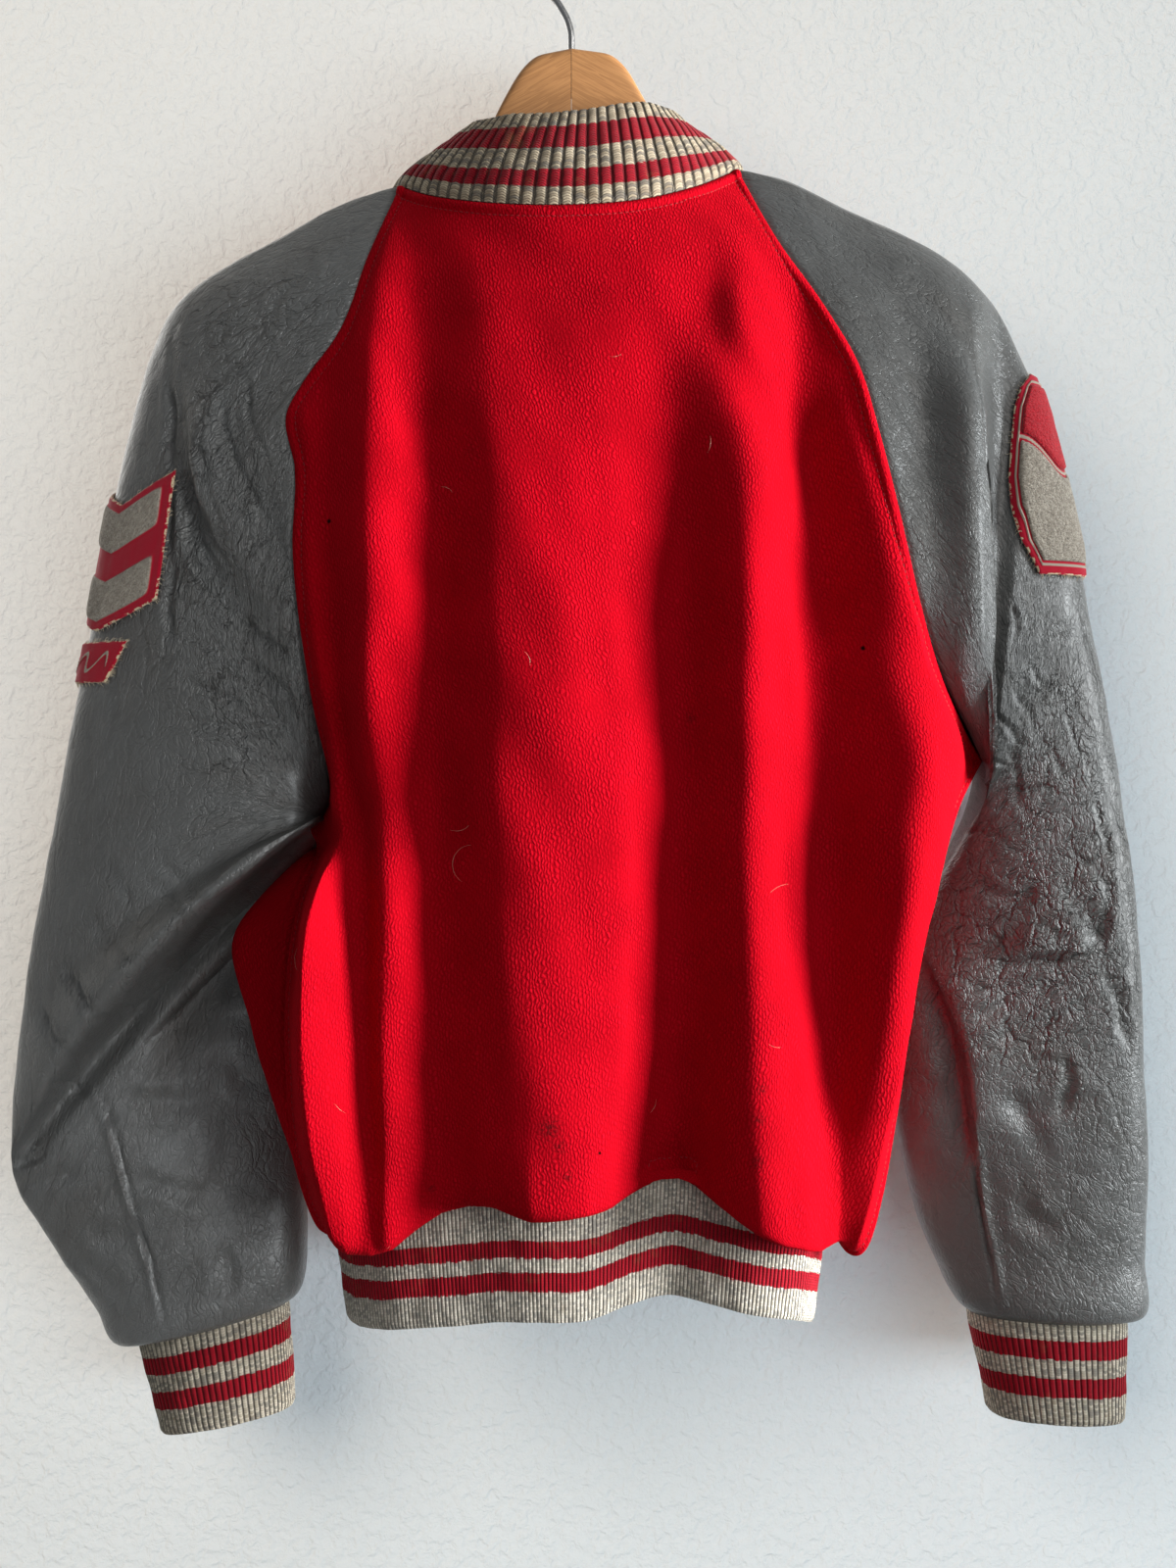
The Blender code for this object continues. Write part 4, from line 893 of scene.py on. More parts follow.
class Graph:
    """A shader node tree under construction; each method adds a node and returns its socket."""

    def __init__(self, tree: Tree) -> None:
        """Starts on a tree."""
        self.tree = tree

    def add(self, kind: str, inputs: dict | None = None, **settings: object) -> Node:
        """Adds a node.

        Args:
            kind: its type without the ShaderNode prefix.
            inputs: a socket to link, or a constant to set, per input name or number.
            settings: its own properties.

        Returns:
            The node.
        """
        node = self.tree.nodes.new("ShaderNode" + kind)
        for key, value in settings.items():
            setattr(node, key, value)
        for key, value in (inputs or {}).items():
            socket = node.inputs[key]
            if isinstance(value, Socket):
                self.tree.links.new(value, socket)
            else:
                socket.default_value = value
        return node

    def math(self, operation: str, *values: object, clamp: bool = False) -> Socket:
        """Adds arithmetic on up to three values."""
        inputs = dict(enumerate(values))
        return self.add("Math", inputs, operation=operation, use_clamp=clamp).outputs[0]

    def mul(self, first: object, second: object) -> Socket:
        """Multiplies two values."""
        return self.math("MULTIPLY", first, second)

    def plus(self, first: object, second: object) -> Socket:
        """Adds two values."""
        return self.math("ADD", first, second)

    def minus(self, first: object, second: object) -> Socket:
        """Subtracts the second value from the first."""
        return self.math("SUBTRACT", first, second)

    def vector(self, operation: str, *values: object, out: int = 0) -> Socket:
        """Adds vector arithmetic."""
        inputs = dict(enumerate(values))
        return self.add("VectorMath", inputs, operation=operation).outputs[out]

    def mix(self, share: object, first: object, second: object) -> Socket:
        """Mixes two colours."""
        inputs = {0: share, 6: self.colour(first), 7: self.colour(second)}
        return self.add("Mix", inputs, data_type="RGBA").outputs[2]

    @staticmethod
    def colour(value: object) -> object:
        """A colour triple with its alpha, or a socket as it is."""
        return (*value, 1.0) if isinstance(value, tuple) and len(value) == 3 else value

    def step(self, value: object, low: float, high: float) -> Socket:
        """Smooth step of a value between two limits."""
        inputs = {"Value": value, "From Min": low, "From Max": high}
        return self.add("MapRange", inputs, interpolation_type="SMOOTHSTEP").outputs[0]

    def span(self, value: object, low: float, high: float, first: float, last: float) -> Socket:
        """Maps a range of a value onto another one, clipped."""
        inputs = {"Value": value, "From Min": low, "From Max": high, "To Min": first, "To Max": last}
        return self.add("MapRange", inputs).outputs[0]

    def noise(
        self, vector: object, scale: float, detail: float = 2.0, rough: float = 0.5, bend: float = 0.0
    ) -> Socket:
        """Noise of about 0 to 1."""
        inputs = {"Vector": vector, "Scale": scale, "Detail": detail, "Roughness": rough}
        return self.add("TexNoise", inputs | {"Distortion": bend}).outputs["Fac"]

    def cells(self, vector: object, scale: float, kind: str = "F1") -> Socket:
        """Distance in a flat cell pattern."""
        inputs = {"Vector": vector, "Scale": scale}
        made = self.add("TexVoronoi", inputs, feature=kind, voronoi_dimensions="2D")
        return made.outputs["Distance"]

    def bump(
        self, height: object, depth: float, strength: float = 1.0, normal: object = None
    ) -> Socket:
        """Bumped normal.

        Args:
            height: socket of 0 to 1.
            depth: how high 1 stands, in metres.
            strength: share of the effect.
            normal: a normal to start from.

        Returns:
            The normal.
        """
        inputs = {"Height": height, "Distance": depth, "Strength": strength}
        if normal is not None:
            inputs["Normal"] = normal
        return self.add("Bump", inputs).outputs[0]

    def mark(self, name: str) -> Socket:
        """A piece's own named value."""
        return self.add("Attribute", attribute_name=name).outputs["Fac"]

    def uv(self) -> Socket:
        """Texture coordinates in millimetres."""
        return self.add("UVMap", uv_map="UVMap").outputs[0]

    def place(self) -> Socket:
        """Object coordinates in metres."""
        return self.add("TexCoord").outputs["Object"]

    def group(self, tree: Tree, inputs: dict) -> Node:
        """Adds a node group."""
        return self.add("Group", inputs, node_tree=tree)


def make_group(
    name: str,
    inputs: dict[str, tuple[str, object]],
    outputs: dict[str, str],
    fill: Callable[[Graph, dict[str, Socket]], dict[str, Socket]],
) -> Tree:
    """Makes a shader node group once.

    Args:
        name: its name.
        inputs: type and default per input name.
        outputs: type per output name.
        fill: adds the nodes between them, and returns a socket per output name.

    Returns:
        The group's tree.
    """
    if name in bpy.data.node_groups:
        return bpy.data.node_groups[name]
    tree = bpy.data.node_groups.new(name, "ShaderNodeTree")
    for key, (kind, default) in inputs.items():
        socket = tree.interface.new_socket(key, in_out="INPUT", socket_type="NodeSocket" + kind)
        if default is not None:
            socket.default_value = default
    for key, kind in outputs.items():
        tree.interface.new_socket(key, in_out="OUTPUT", socket_type="NodeSocket" + kind)
    start, end = tree.nodes.new("NodeGroupInput"), tree.nodes.new("NodeGroupOutput")
    made = fill(Graph(tree), {key: start.outputs[key] for key in inputs})
    for key, socket in made.items():
        tree.links.new(socket, end.inputs[key])
    return tree


def wool_weave() -> Tree:
    """Group: short leaning strands in staggered columns under a felted nap.

    A strand is an ellipse in a cell of a sheared, noise-bent grid of the coordinates.

    Returns:
        The group's tree.
    """

    def fill(g: Graph, at: dict[str, Socket]) -> dict[str, Socket]:
        """Adds the group's nodes.

        Args:
            g: the group's graph.
            at: its inputs.

        Returns:
            Its outputs.
        """
        bent = g.add("TexNoise", {"Vector": at["Vector"], "Scale": 0.16, "Detail": 1.0})
        shift = g.vector("SCALE", g.vector("SUBTRACT", bent.outputs["Color"], (0.5, 0.5, 0.5)))
        shift.node.inputs["Scale"].default_value = 4.5
        where = g.add("SeparateXYZ", {0: g.vector("ADD", at["Vector"], shift)})
        lean = g.mul(where.outputs[1], -0.12)
        across = g.math("DIVIDE", g.minus(where.outputs[0], lean), at["Strand"])
        column = g.math("FLOOR", across)
        tall = g.mul(at["Strand"], 2.1)
        up = g.math("DIVIDE", where.outputs[1], tall)
        up = g.plus(up, g.mul(column, 0.41))
        dx = g.minus(g.math("FRACT", across), 0.5)
        dy = g.minus(g.math("FRACT", up), 0.5)
        far = g.plus(g.math("POWER", g.mul(dx, 2.5), 2.0), g.math("POWER", g.mul(dy, 2.0), 2.0))
        strand = g.minus(1.0, g.step(far, 0.1, 1.0))
        cell = g.add("CombineXYZ", {0: column, 1: g.math("FLOOR", up)}).outputs[0]
        chance = g.add("TexWhiteNoise", {"Vector": cell}, noise_dimensions="2D").outputs["Value"]
        strand = g.mul(strand, g.span(chance, 0, 1, 0.45, 1.0))
        nap = g.noise(at["Vector"], 0.75, 4.0, 0.62)
        fuzz = g.noise(at["Vector"], 2.4, 3.0, 0.65)
        worn = g.step(g.noise(at["Vector"], 0.03, 3.0), 0.35, 0.7)
        share = g.minus(1.0, g.mul(worn, 0.65))
        soft = g.plus(g.mul(nap, 0.6), g.mul(fuzz, 0.4))
        height = g.plus(g.mul(strand, share), soft)
        # Tint: the raised strands painted lighter, a painted highlight, plus random pale flecks of the
        # fuzz.
        strand_highlight_and_fleck = g.plus(g.mul(strand, share), g.mul(g.step(fuzz, 0.5, 0.72), 0.55))
        return {"Height": height, "Tint": strand_highlight_and_fleck}

    return make_group(
        "Felted weave",
        {"Vector": ("Vector", None), "Strand": ("Float", 1.9)},
        {"Height": "Float", "Tint": "Float"},
        fill,
    )


def leather_grain() -> Tree:
    """Group: branching creases between puffed cells, long and short, over a pebbled grain.

    A crease runs where a stretched, noise-bent cell pattern has its edges; inside a cell the
    hide rises as 1 - d^2 of the distance d to the cell's centre.

    Returns:
        The group's tree.
    """

    def fill(g: Graph, at: dict[str, Socket]) -> dict[str, Socket]:
        """Adds the group's nodes.

        Args:
            g: the group's graph.
            at: its inputs.

        Returns:
            Its outputs.
        """
        bend = g.add("TexNoise", {"Vector": at["Vector"], "Scale": 0.07, "Detail": 3.0})
        shift = g.vector("SUBTRACT", bend.outputs["Color"], (0.5, 0.5, 0.5))
        bent = g.vector("MULTIPLY_ADD", shift, (16.0, 16.0, 0.0), at["Vector"])
        height, lines = None, None
        for scale, stretch, deep in (
            (0.05, (1.0, 0.5, 1.0), 1.0), (0.105, (1.0, 0.55, 1.0), 0.7), (0.24, (1.0, 0.7, 1.0), 0.4),
        ):
            where = g.vector("MULTIPLY", bent, stretch)
            edge = g.step(g.cells(where, scale, "DISTANCE_TO_EDGE"), 0.0, 0.09)
            dome = g.math("POWER", g.cells(where, scale), 2.0)
            patchy = g.step(g.noise(at["Vector"], scale * 0.4, 2.0), 0.38, 0.62)
            crease = g.mul(g.minus(1.0, edge), patchy)
            part = g.plus(g.mul(crease, 0.8), g.mul(dome, 0.4))
            part = g.mul(part, -deep)
            crease = g.mul(crease, 0.4 + 0.5 * deep)
            height = part if height is None else g.plus(height, part)
            lines = crease if lines is None else g.math("MAXIMUM", lines, crease)
        # The creases' mask, used only to paint them darker: painted shade.
        crease_shade = g.mul(lines, at["Wrinkle"])
        folds = g.mul(height, at["Wrinkle"])
        long = g.vector("MULTIPLY", bent, (1.0, 0.7, 1.0))
        pebble = g.plus(g.mul(g.cells(long, 0.34), 0.9), g.cells(long, 0.8))
        cracks = g.step(g.cells(long, 0.34, "DISTANCE_TO_EDGE"), 0.0, 0.14)
        pores = g.noise(at["Vector"], 1.3, 3.0, 0.65)
        lively = g.math("MULTIPLY_ADD", at["Wrinkle"], 1.1, 0.3)
        grain = g.plus(g.mul(cracks, 0.35), g.mul(pores, 0.4))
        grain = g.mul(g.minus(grain, g.mul(pebble, 0.45)), lively)
        # The grain's cracks join that painted shade at half strength.
        lines = g.mul(g.minus(1.0, cracks), at["Wrinkle"])
        crease_shade = g.math("MAXIMUM", crease_shade, g.mul(lines, 0.5))
        return {"Folds": folds, "Grain": grain, "Net": crease_shade}

    return make_group(
        "Leather grain",
        {"Vector": ("Vector", None), "Wrinkle": ("Float", 0.5)},
        {"Folds": "Float", "Grain": "Float", "Net": "Float"},
        fill,
    )


def knit_stitches() -> Tree:
    """Group: upright columns of arched stitches on ribs, each with its own yarn shade.

    X of the coordinates counts ribs and Y counts stitches; across its rib, from -1 to 1, a
    stitch is an arch of height x^2, and between two ribs lies a groove with a faint line.

    Returns:
        The group's tree.
    """

    def fill(g: Graph, at: dict[str, Socket]) -> dict[str, Socket]:
        """Adds the group's nodes.

        Args:
            g: the group's graph.
            at: its inputs.

        Returns:
            Its outputs.
        """
        where = g.add("SeparateXYZ", {0: at["Vector"]})
        x, y = where.outputs[0], where.outputs[1]
        wander = g.mul(g.minus(g.noise(at["Vector"], 0.5, 2.0), 0.5), 0.25)
        x = g.plus(x, wander)
        side = g.minus(g.mul(g.math("FRACT", x), 2.0), 1.0)
        out = g.math("ABSOLUTE", side)
        arch = g.mul(g.math("POWER", out, 1.6), at["Arch"])
        level = g.plus(g.plus(y, arch), wander)
        phase = g.math("FRACT", level)
        loop = g.math("POWER", g.math("SINE", g.mul(phase, math.pi)), 0.7)
        rib = g.math("FLOOR", x)
        cell = g.add("CombineXYZ", {0: rib, 1: g.math("FLOOR", level)}).outputs[0]
        shade = g.add("TexWhiteNoise", {"Vector": cell}, noise_dimensions="2D").outputs["Value"]
        strand = g.add("CombineXYZ", {0: g.mul(x, 7.0), 1: g.mul(level, 2.0)})
        fibre = g.noise(strand.outputs[0], 1.0, 2.0)
        groove = g.step(out, 0.5, 0.86)
        seam = g.mul(g.step(out, 0.9, 1.0), 0.6)
        groove = g.minus(groove, seam)
        return {"Height": loop, "Shade": shade, "Fibre": fibre, "Groove": groove}

    return make_group(
        "Knit stitches",
        {"Vector": ("Vector", None), "Arch": ("Float", 0.9)},
        {"Height": "Float", "Shade": "Float", "Fibre": "Float", "Groove": "Float"},
        fill,
    )


def soft_spot() -> Tree:
    """Group: a round mask about a point, ragged by noise.

    Returns:
        The group's tree.
    """

    def fill(g: Graph, at: dict[str, Socket]) -> dict[str, Socket]:
        """Adds the group's nodes.

        Args:
            g: the group's graph.
            at: its inputs.

        Returns:
            Its outputs.
        """
        far = g.vector("DISTANCE", at["Vector"], at["Centre"], out=1)
        rag = g.mul(g.noise(at["Vector"], 900.0, 3.0, 0.6), at["Ragged"])
        share = g.math("DIVIDE", far, at["Radius"])
        mask = g.minus(1.0, g.step(g.plus(share, rag), 0.6, 1.25))
        return {"Mask": mask}

    return make_group(
        "Soft spot",
        {"Vector": ("Vector", None), "Centre": ("Vector", None), "Radius": ("Float", 0.001),
         "Ragged": ("Float", 0.2)},
        {"Mask": "Float"},
        fill,
    )


def new_material(name: str) -> tuple[Material, Graph, Node]:
    """An empty Principled material.

    Args:
        name: its name.

    Returns:
        The material, its graph and its Principled node.
    """
    made = bpy.data.materials.new(name)
    made.use_nodes = True
    graph = Graph(made.node_tree)
    return made, graph, made.node_tree.nodes["Principled BSDF"]


def join(graph: Graph, shader: Node, inputs: dict[str, object]) -> None:
    """Links or sets inputs of a material's Principled node.

    Args:
        graph: the material's graph.
        shader: its Principled node.
        inputs: sockets or constants per input name.
    """
    for key, value in inputs.items():
        if isinstance(value, Socket):
            graph.tree.links.new(value, shader.inputs[key])
        else:
            shader.inputs[key].default_value = graph.colour(value)


@dataclass(frozen=True)
class WoolFinish:
    """Red melton: leaning strands, a felted nap, moth holes and faint soil, with a painted highlight on
    its raised strands and painted shade in its pits and holes.
    """

    name: str = "red_wool"
    # deep: the dark red of the random broad tone, and of the painted shade in the weave's pits
    deep: Colour = (0.21, 0.0004, 0.003)
    base: Colour = (0.37, 0.0008, 0.007)
    # tip: the colour of the raised strands, a painted highlight
    tip: Colour = (0.6, 0.004, 0.018)
    soil: Colour = (0.09, 0.004, 0.006)
    # hole: near-black painted shade of the jacket's inside, seen through a moth hole
    hole: Colour = (0.01, 0.002, 0.002)
    strand: float = 1.75
    nap_depth: float = 0.0006
    holes: Rows = ((-124, -334, 1.3), (151, -399, 1.3), (15, -655, 0.8))
    stains: Rows = (
        (-10, -641, 14, 1.0), (-5, -650, 9, 0.8), (-1, -665, 6, 0.9), (97, -623, 7, 0.8),
        (95, -638, 8, 0.8), (94, -659, 9, 0.8), (-71, -676, 7, 0.6), (62, -435, 7, 0.6),
        (-50, -300, 9, 0.2), (60, -560, 9, 0.2),
    )

    def spots(self, g: Graph, table: Rows, ragged: float) -> Socket:
        """Mask of spots on the back.

        Args:
            g: the material's graph.
            table: x, z, radius and, if given, strength.
            ragged: how uneven their edges are.

        Returns:
            The mask.
        """
        total = None
        place = g.vector("MULTIPLY", g.place(), (1.0, 0.0, 1.0))
        for x, z, radius, *rest in table:
            inputs = {"Vector": place, "Centre": (x * MM, 0, z * MM), "Radius": radius * MM}
            mask = g.group(soft_spot(), inputs | {"Ragged": ragged}).outputs["Mask"]
            mask = g.mul(mask, rest[0] if rest else 1.0)
            total = mask if total is None else g.math("MAXIMUM", total, mask)
        facing = g.add("NewGeometry").outputs["Position"]
        behind = g.step(g.add("SeparateXYZ", {0: facing}).outputs[1], 0.0, -0.01)
        return g.mul(total, behind)

    def material(self) -> Material:
        """Makes the material.

        Returns:
            The material.
        """
        made, g, shader = new_material(self.name)
        weave = g.group(wool_weave(), {"Vector": g.uv(), "Strand": self.strand}).outputs
        broad = g.noise(g.uv(), 0.02, 3.0)
        colour = g.mix(g.span(broad, 0.3, 0.7, 0.0, 0.5), self.base, self.deep)
        # Painted highlight: the raised strands mixed towards the tip colour, with random pale flecks.
        colour = g.mix(g.math("MULTIPLY", weave["Tint"], 0.55, clamp=True), colour, self.tip)
        # Painted shade: the weave's low pits darkened towards the deep colour.
        pit_shade = g.step(weave["Height"], 0.62, 0.3)
        colour = g.mix(g.mul(pit_shade, 0.55), colour, self.deep)
        soil = self.spots(g, self.stains, 1.3)
        fleck = g.step(g.noise(g.uv(), 0.55, 3.0, 0.7), 0.4, 0.55)
        soil = g.mul(soil, fleck)
        colour = g.mix(soil, colour, self.soil)
        # The moth holes are real wear; their near-black colour is painted shade of the inside behind
        # them.
        holes = self.spots(g, self.holes, 0.3)
        colour = g.mix(holes, colour, self.hole)
        height = g.minus(weave["Height"], g.mul(holes, 3.0))
        join(g, shader, {
            "Base Color": colour, "Roughness": 0.95, "Specular IOR Level": 0.03,
            "Sheen Weight": 0.06, "Sheen Roughness": 0.5, "Sheen Tint": (1.0, 0.01, 0.02),
            "Normal": g.bump(height, self.nap_depth, 0.8),
        })
        return made


@dataclass(frozen=True)
class LeatherFinish:
    """Soft grey leather, worn paler on its ridges, with painted shade in its creases and grain cracks.
    """

    name: str = "grey_leather"
    base: Colour = (0.09, 0.09, 0.087)
    pale: Colour = (0.14, 0.146, 0.146)
    # deep: the painted shade in the creases and grain cracks
    deep: Colour = (0.03, 0.028, 0.026)
    warm: Colour = (0.09, 0.08, 0.07)
    fold_depth: float = 0.0012
    grain_depth: float = 0.0006

    def material(self) -> Material:
        """Makes the material.

        Returns:
            The material.
        """
        made, g, shader = new_material(self.name)
        wrinkle = g.mark("wrinkle")
        place = g.uv()
        grain = g.group(leather_grain(), {"Vector": place, "Wrinkle": wrinkle}).outputs
        broad = g.noise(place, 0.011, 4.0, 0.6)
        colour = g.mix(g.span(broad, 0.35, 0.7, 0.0, 0.6), self.base, self.pale)
        warm = g.noise(place, 0.02, 2.0)
        colour = g.mix(g.span(warm, 0.5, 0.75, 0.0, 0.35), colour, self.warm)
        # Painted shade: the creases and grain cracks darkened towards the deep colour.
        colour = g.mix(g.span(grain["Net"], 0.05, 0.8, 0.0, 0.65), colour, self.deep)
        scuff = g.mul(g.step(g.noise(place, 0.3, 6.0, 0.75), 0.58, 0.75), g.step(broad, 0.45, 0.7))
        colour = g.mix(g.mul(scuff, 0.4), colour, self.pale)
        rough = g.span(g.noise(place, 0.05, 5.0, 0.6), 0.3, 0.7, 0.27, 0.4)
        normal = g.bump(grain["Folds"], self.fold_depth, 1.0)
        normal = g.bump(grain["Grain"], self.grain_depth, 0.9, normal)
        join(g, shader, {
            "Base Color": colour, "Roughness": rough, "Specular IOR Level": 0.6,
            "Coat Weight": 0.2, "Coat Roughness": 0.27, "Normal": normal,
        })
        return made


@dataclass(frozen=True)
class KnitFinish:
    """Heather rib knit with red stripes, by share of its height, with painted shade in its grooves and
    between its stitches.
    """

    name: str
    stripes: tuple[tuple[float, float], ...]
    arch: float = 0.9
    stitch_depth: float = 0.0004
    cream: Colour = (0.43, 0.365, 0.265)
    tan: Colour = (0.25, 0.2, 0.14)
    grey: Colour = (0.13, 0.128, 0.122)
    # The two groove colours: painted shade in the grooves between ribs and between stitches.
    groove: Colour = (0.045, 0.043, 0.04)
    red: Colour = (0.27, 0.003, 0.012)
    red_deep: Colour = (0.1, 0.001, 0.005)
    red_groove_shade: Colour = (0.05, 0.001, 0.003)
    soil: Colour = (0.2, 0.13, 0.06)
    grey_share: float = 0.22

    def material(self) -> Material:
        """Makes the material.

        Returns:
            The material.
        """
        made, g, shader = new_material(self.name)
        stitch = g.group(knit_stitches(), {"Vector": g.uv(), "Arch": self.arch}).outputs
        jag = g.mul(g.minus(stitch["Shade"], 0.5), 0.016)
        height = g.plus(g.mark("height"), jag)
        band = None
        for low, high in self.stripes:
            inside = g.mul(g.math("GREATER_THAN", height, low), g.math("LESS_THAN", height, high))
            band = inside if band is None else g.math("MAXIMUM", band, inside)
        shade, fibre = stitch["Shade"], stitch["Fibre"]
        heather = g.mix(g.step(shade, 0.15, 0.95), self.tan, self.cream)
        dark = g.math("LESS_THAN", shade, self.grey_share)
        heather = g.mix(g.mul(dark, 0.6), heather, self.grey)
        heather = g.mix(g.span(fibre, 0.45, 0.7, 0.0, 0.5), heather, self.tan)
        red = g.mix(g.span(shade, 0, 1, 0.0, 0.35), self.red, self.red_deep)
        colour = g.mix(band, heather, red)
        # Painted shade: the grooves between ribs and the gaps between stitches darkened.
        deep = g.mix(band, self.groove, self.red_groove_shade)
        gap = g.math("MAXIMUM", g.mul(stitch["Groove"], 0.85),
                     g.mul(g.step(stitch["Height"], 0.6, 0.1), 0.55))
        colour = g.mix(gap, colour, deep)
        soil = g.step(g.noise(g.place(), 55.0, 4.0, 0.65), 0.56, 0.72)
        colour = g.mix(g.mul(soil, 0.3), colour, self.soil)
        relief = g.plus(stitch["Height"], g.mul(fibre, 0.35))
        relief = g.minus(relief, g.mul(stitch["Groove"], 0.8))
        join(g, shader, {
            "Base Color": colour, "Roughness": 0.9, "Specular IOR Level": 0.1,
            "Sheen Weight": 0.08, "Sheen Roughness": 0.5,
            "Normal": g.bump(relief, self.stitch_depth, 0.85),
        })
        return made


@dataclass(frozen=True)
class PatchFinish:
    """Red felt with chenille loops, a chain-stitched cord and a frayed cream edge; low curls of the
    pile carry painted shade.
    """

    name: str = "felt_and_chenille"
    felt: Colour = (0.4, 0.004, 0.022)
    grey: Colour = (0.36, 0.31, 0.25)
    grey_pale: Colour = (0.6, 0.54, 0.45)
    red_pile: Colour = (0.6, 0.006, 0.02)
    cream: Colour = (0.62, 0.5, 0.33)
    # The two deep colours: painted shade where the pile's curl is low; the red one also tints the
    # felt's nap at random.
    red_deep: Colour = (0.2, 0.002, 0.01)
    grey_pit_shade: Colour = (0.1, 0.085, 0.07)
    loop_depth: float = 0.0012

    def material(self) -> Material:
        """Makes the material.

        Returns:
            The material.
        """
        made, g, shader = new_material(self.name)
        uv = g.uv()
        pile, cord, red, fray = (g.mark(name) for name in ("pile", "cord", "red", "fray"))
        loops = g.add("TexVoronoi", {"Vector": uv, "Scale": 0.62, "Randomness": 0.9})
        curl = g.noise(uv, 1.8, 3.0, 0.6, 1.5)
        nap = g.noise(uv, 2.6, 4.0, 0.7)
        felt = g.mix(g.span(nap, 0.3, 0.7, 0.0, 0.4), self.felt, self.red_deep)
        shade = g.add("SeparateColor", {0: loops.outputs["Color"]}).outputs[0]
        grey = g.mix(g.span(shade, 0, 1, 0.0, 0.8), self.grey, self.grey_pale)
        # Painted shade: where the curl's relief is low, the chenille is darkened.
        grey = g.mix(g.step(curl, 0.55, 0.35), grey, self.grey_pit_shade)
        scarlet = g.mix(g.step(curl, 0.55, 0.35), self.red_pile, self.red_deep)
        tufts = g.mix(red, grey, scarlet)
        colour = g.mix(g.step(pile, 0.15, 0.4), felt, tufts)
        colour = g.mix(g.step(cord, 0.3, 0.6), colour, self.grey)
        torn = g.mul(fray, g.step(g.noise(uv, 0.25, 4.0, 0.7), 0.44, 0.56))
        colour = g.mix(g.step(torn, 0.4, 0.6), colour, self.cream)
        ball = g.minus(1.0, loops.outputs["Distance"])
        relief = g.mul(g.plus(ball, curl), g.step(pile, 0.15, 0.5))
        relief = g.plus(relief, g.mul(nap, 0.25))
        join(g, shader, {
            "Base Color": colour, "Roughness": 0.95, "Specular IOR Level": 0.1,
            "Sheen Weight": 0.2, "Normal": g.bump(relief, self.loop_depth, 0.9),
        })
        return made


@dataclass(frozen=True)
class WoodFinish:
    """Pale lacquered wood; its grain runs along X, tilted by an angle in degrees."""

    name: str
    tilt: float
    pale: Colour = (0.46, 0.225, 0.085)
    deep: Colour = (0.22, 0.09, 0.028)
    ring_scale: tuple[float, ...] = (14.0, 200.0, 260.0)
    pore_scale: tuple[float, ...] = (60.0, 1500.0, 1700.0)
    pore_depth: float = 0.00012

    def material(self) -> Material:
        """Makes the material.

        Returns:
            The material.
        """
        made, g, shader = new_material(self.name)
        inputs = {"Vector": g.place(), "Axis": (0.0, 1.0, 0.0), "Angle": math.radians(self.tilt)}
        turned = g.add("VectorRotate", inputs).outputs[0]
        long = g.vector("MULTIPLY", turned, self.ring_scale)
        rings = g.noise(long, 1.0, 3.0, 0.55, 0.8)
        bands = g.step(g.math("FRACT", g.mul(rings, 5.0)), 0.0, 1.0)
        pore = g.noise(g.vector("MULTIPLY", turned, self.pore_scale), 1.0, 3.0, 0.7)
        colour = g.mix(g.mul(bands, 0.4), self.pale, self.deep)
        colour = g.mix(g.span(pore, 0.5, 0.7, 0.0, 0.5), colour, self.deep)
        join(g, shader, {
            "Base Color": colour, "Roughness": g.span(pore, 0.3, 0.7, 0.38, 0.5),
            "Specular IOR Level": 0.45, "Coat Weight": 0.15, "Coat Roughness": 0.3,
            "Normal": g.bump(pore, self.pore_depth, 0.5),
        })
        return made


@dataclass(frozen=True)
class PlainFinish:
    """Thread, fibre or metal with a fine uneven surface."""

    name: str
    base: Colour
    dark: Colour
    rough: float
    metal: float = 0.0
    scale: float = 900.0
    depth: float = 0.00005

    def material(self) -> Material:
        """Makes the material.

        Returns:
            The material.
        """
        made, g, shader = new_material(self.name)
        speck = g.noise(g.place(), self.scale, 3.0, 0.6)
        wear = g.noise(g.place(), self.scale * 0.08, 3.0)
        join(g, shader, {
            "Base Color": g.mix(g.span(wear, 0.35, 0.7, 0.0, 0.7), self.base, self.dark),
            "Roughness": g.span(speck, 0.3, 0.7, self.rough * 0.85, min(1.0, self.rough * 1.2)),
            "Metallic": self.metal, "Normal": g.bump(speck, self.depth, 0.6),
        })
        return made


@dataclass(frozen=True)
class PlasterFinish:
    """Pale rolled plaster; seen from behind it lets the view through."""

    name: str
    base: Colour = (0.79, 0.81, 0.81)
    relief: float = 0.0012
    open_behind: bool = False

    def material(self) -> Material:
        """Makes the material.

        Returns:
            The material.
        """
        made, g, shader = new_material(self.name)
        place = g.place()
        knobs = g.noise(place, 150.0, 3.0, 0.55, 0.3)
        waves = g.noise(place, 30.0, 2.0)
        height = g.plus(g.step(knobs, 0.3, 0.7), g.mul(waves, 0.6))
        tone = g.noise(place, 2.5, 2.0)
        shade = tuple(channel * 0.93 for channel in self.base)
        join(g, shader, {
            "Base Color": g.mix(g.span(tone, 0.35, 0.65, 0.0, 1.0), self.base, shade),
            "Roughness": 0.85, "Normal": g.bump(height, self.relief, 0.7),
        })
        if self.open_behind:
            away = g.add("NewGeometry").outputs["Backfacing"]
            clear = g.add("BsdfTransparent").outputs[0]
            both = g.add("MixShader", {0: away, 1: shader.outputs[0], 2: clear})
            out = made.node_tree.nodes["Material Output"]
            made.node_tree.links.new(both.outputs[0], out.inputs["Surface"])
        return made


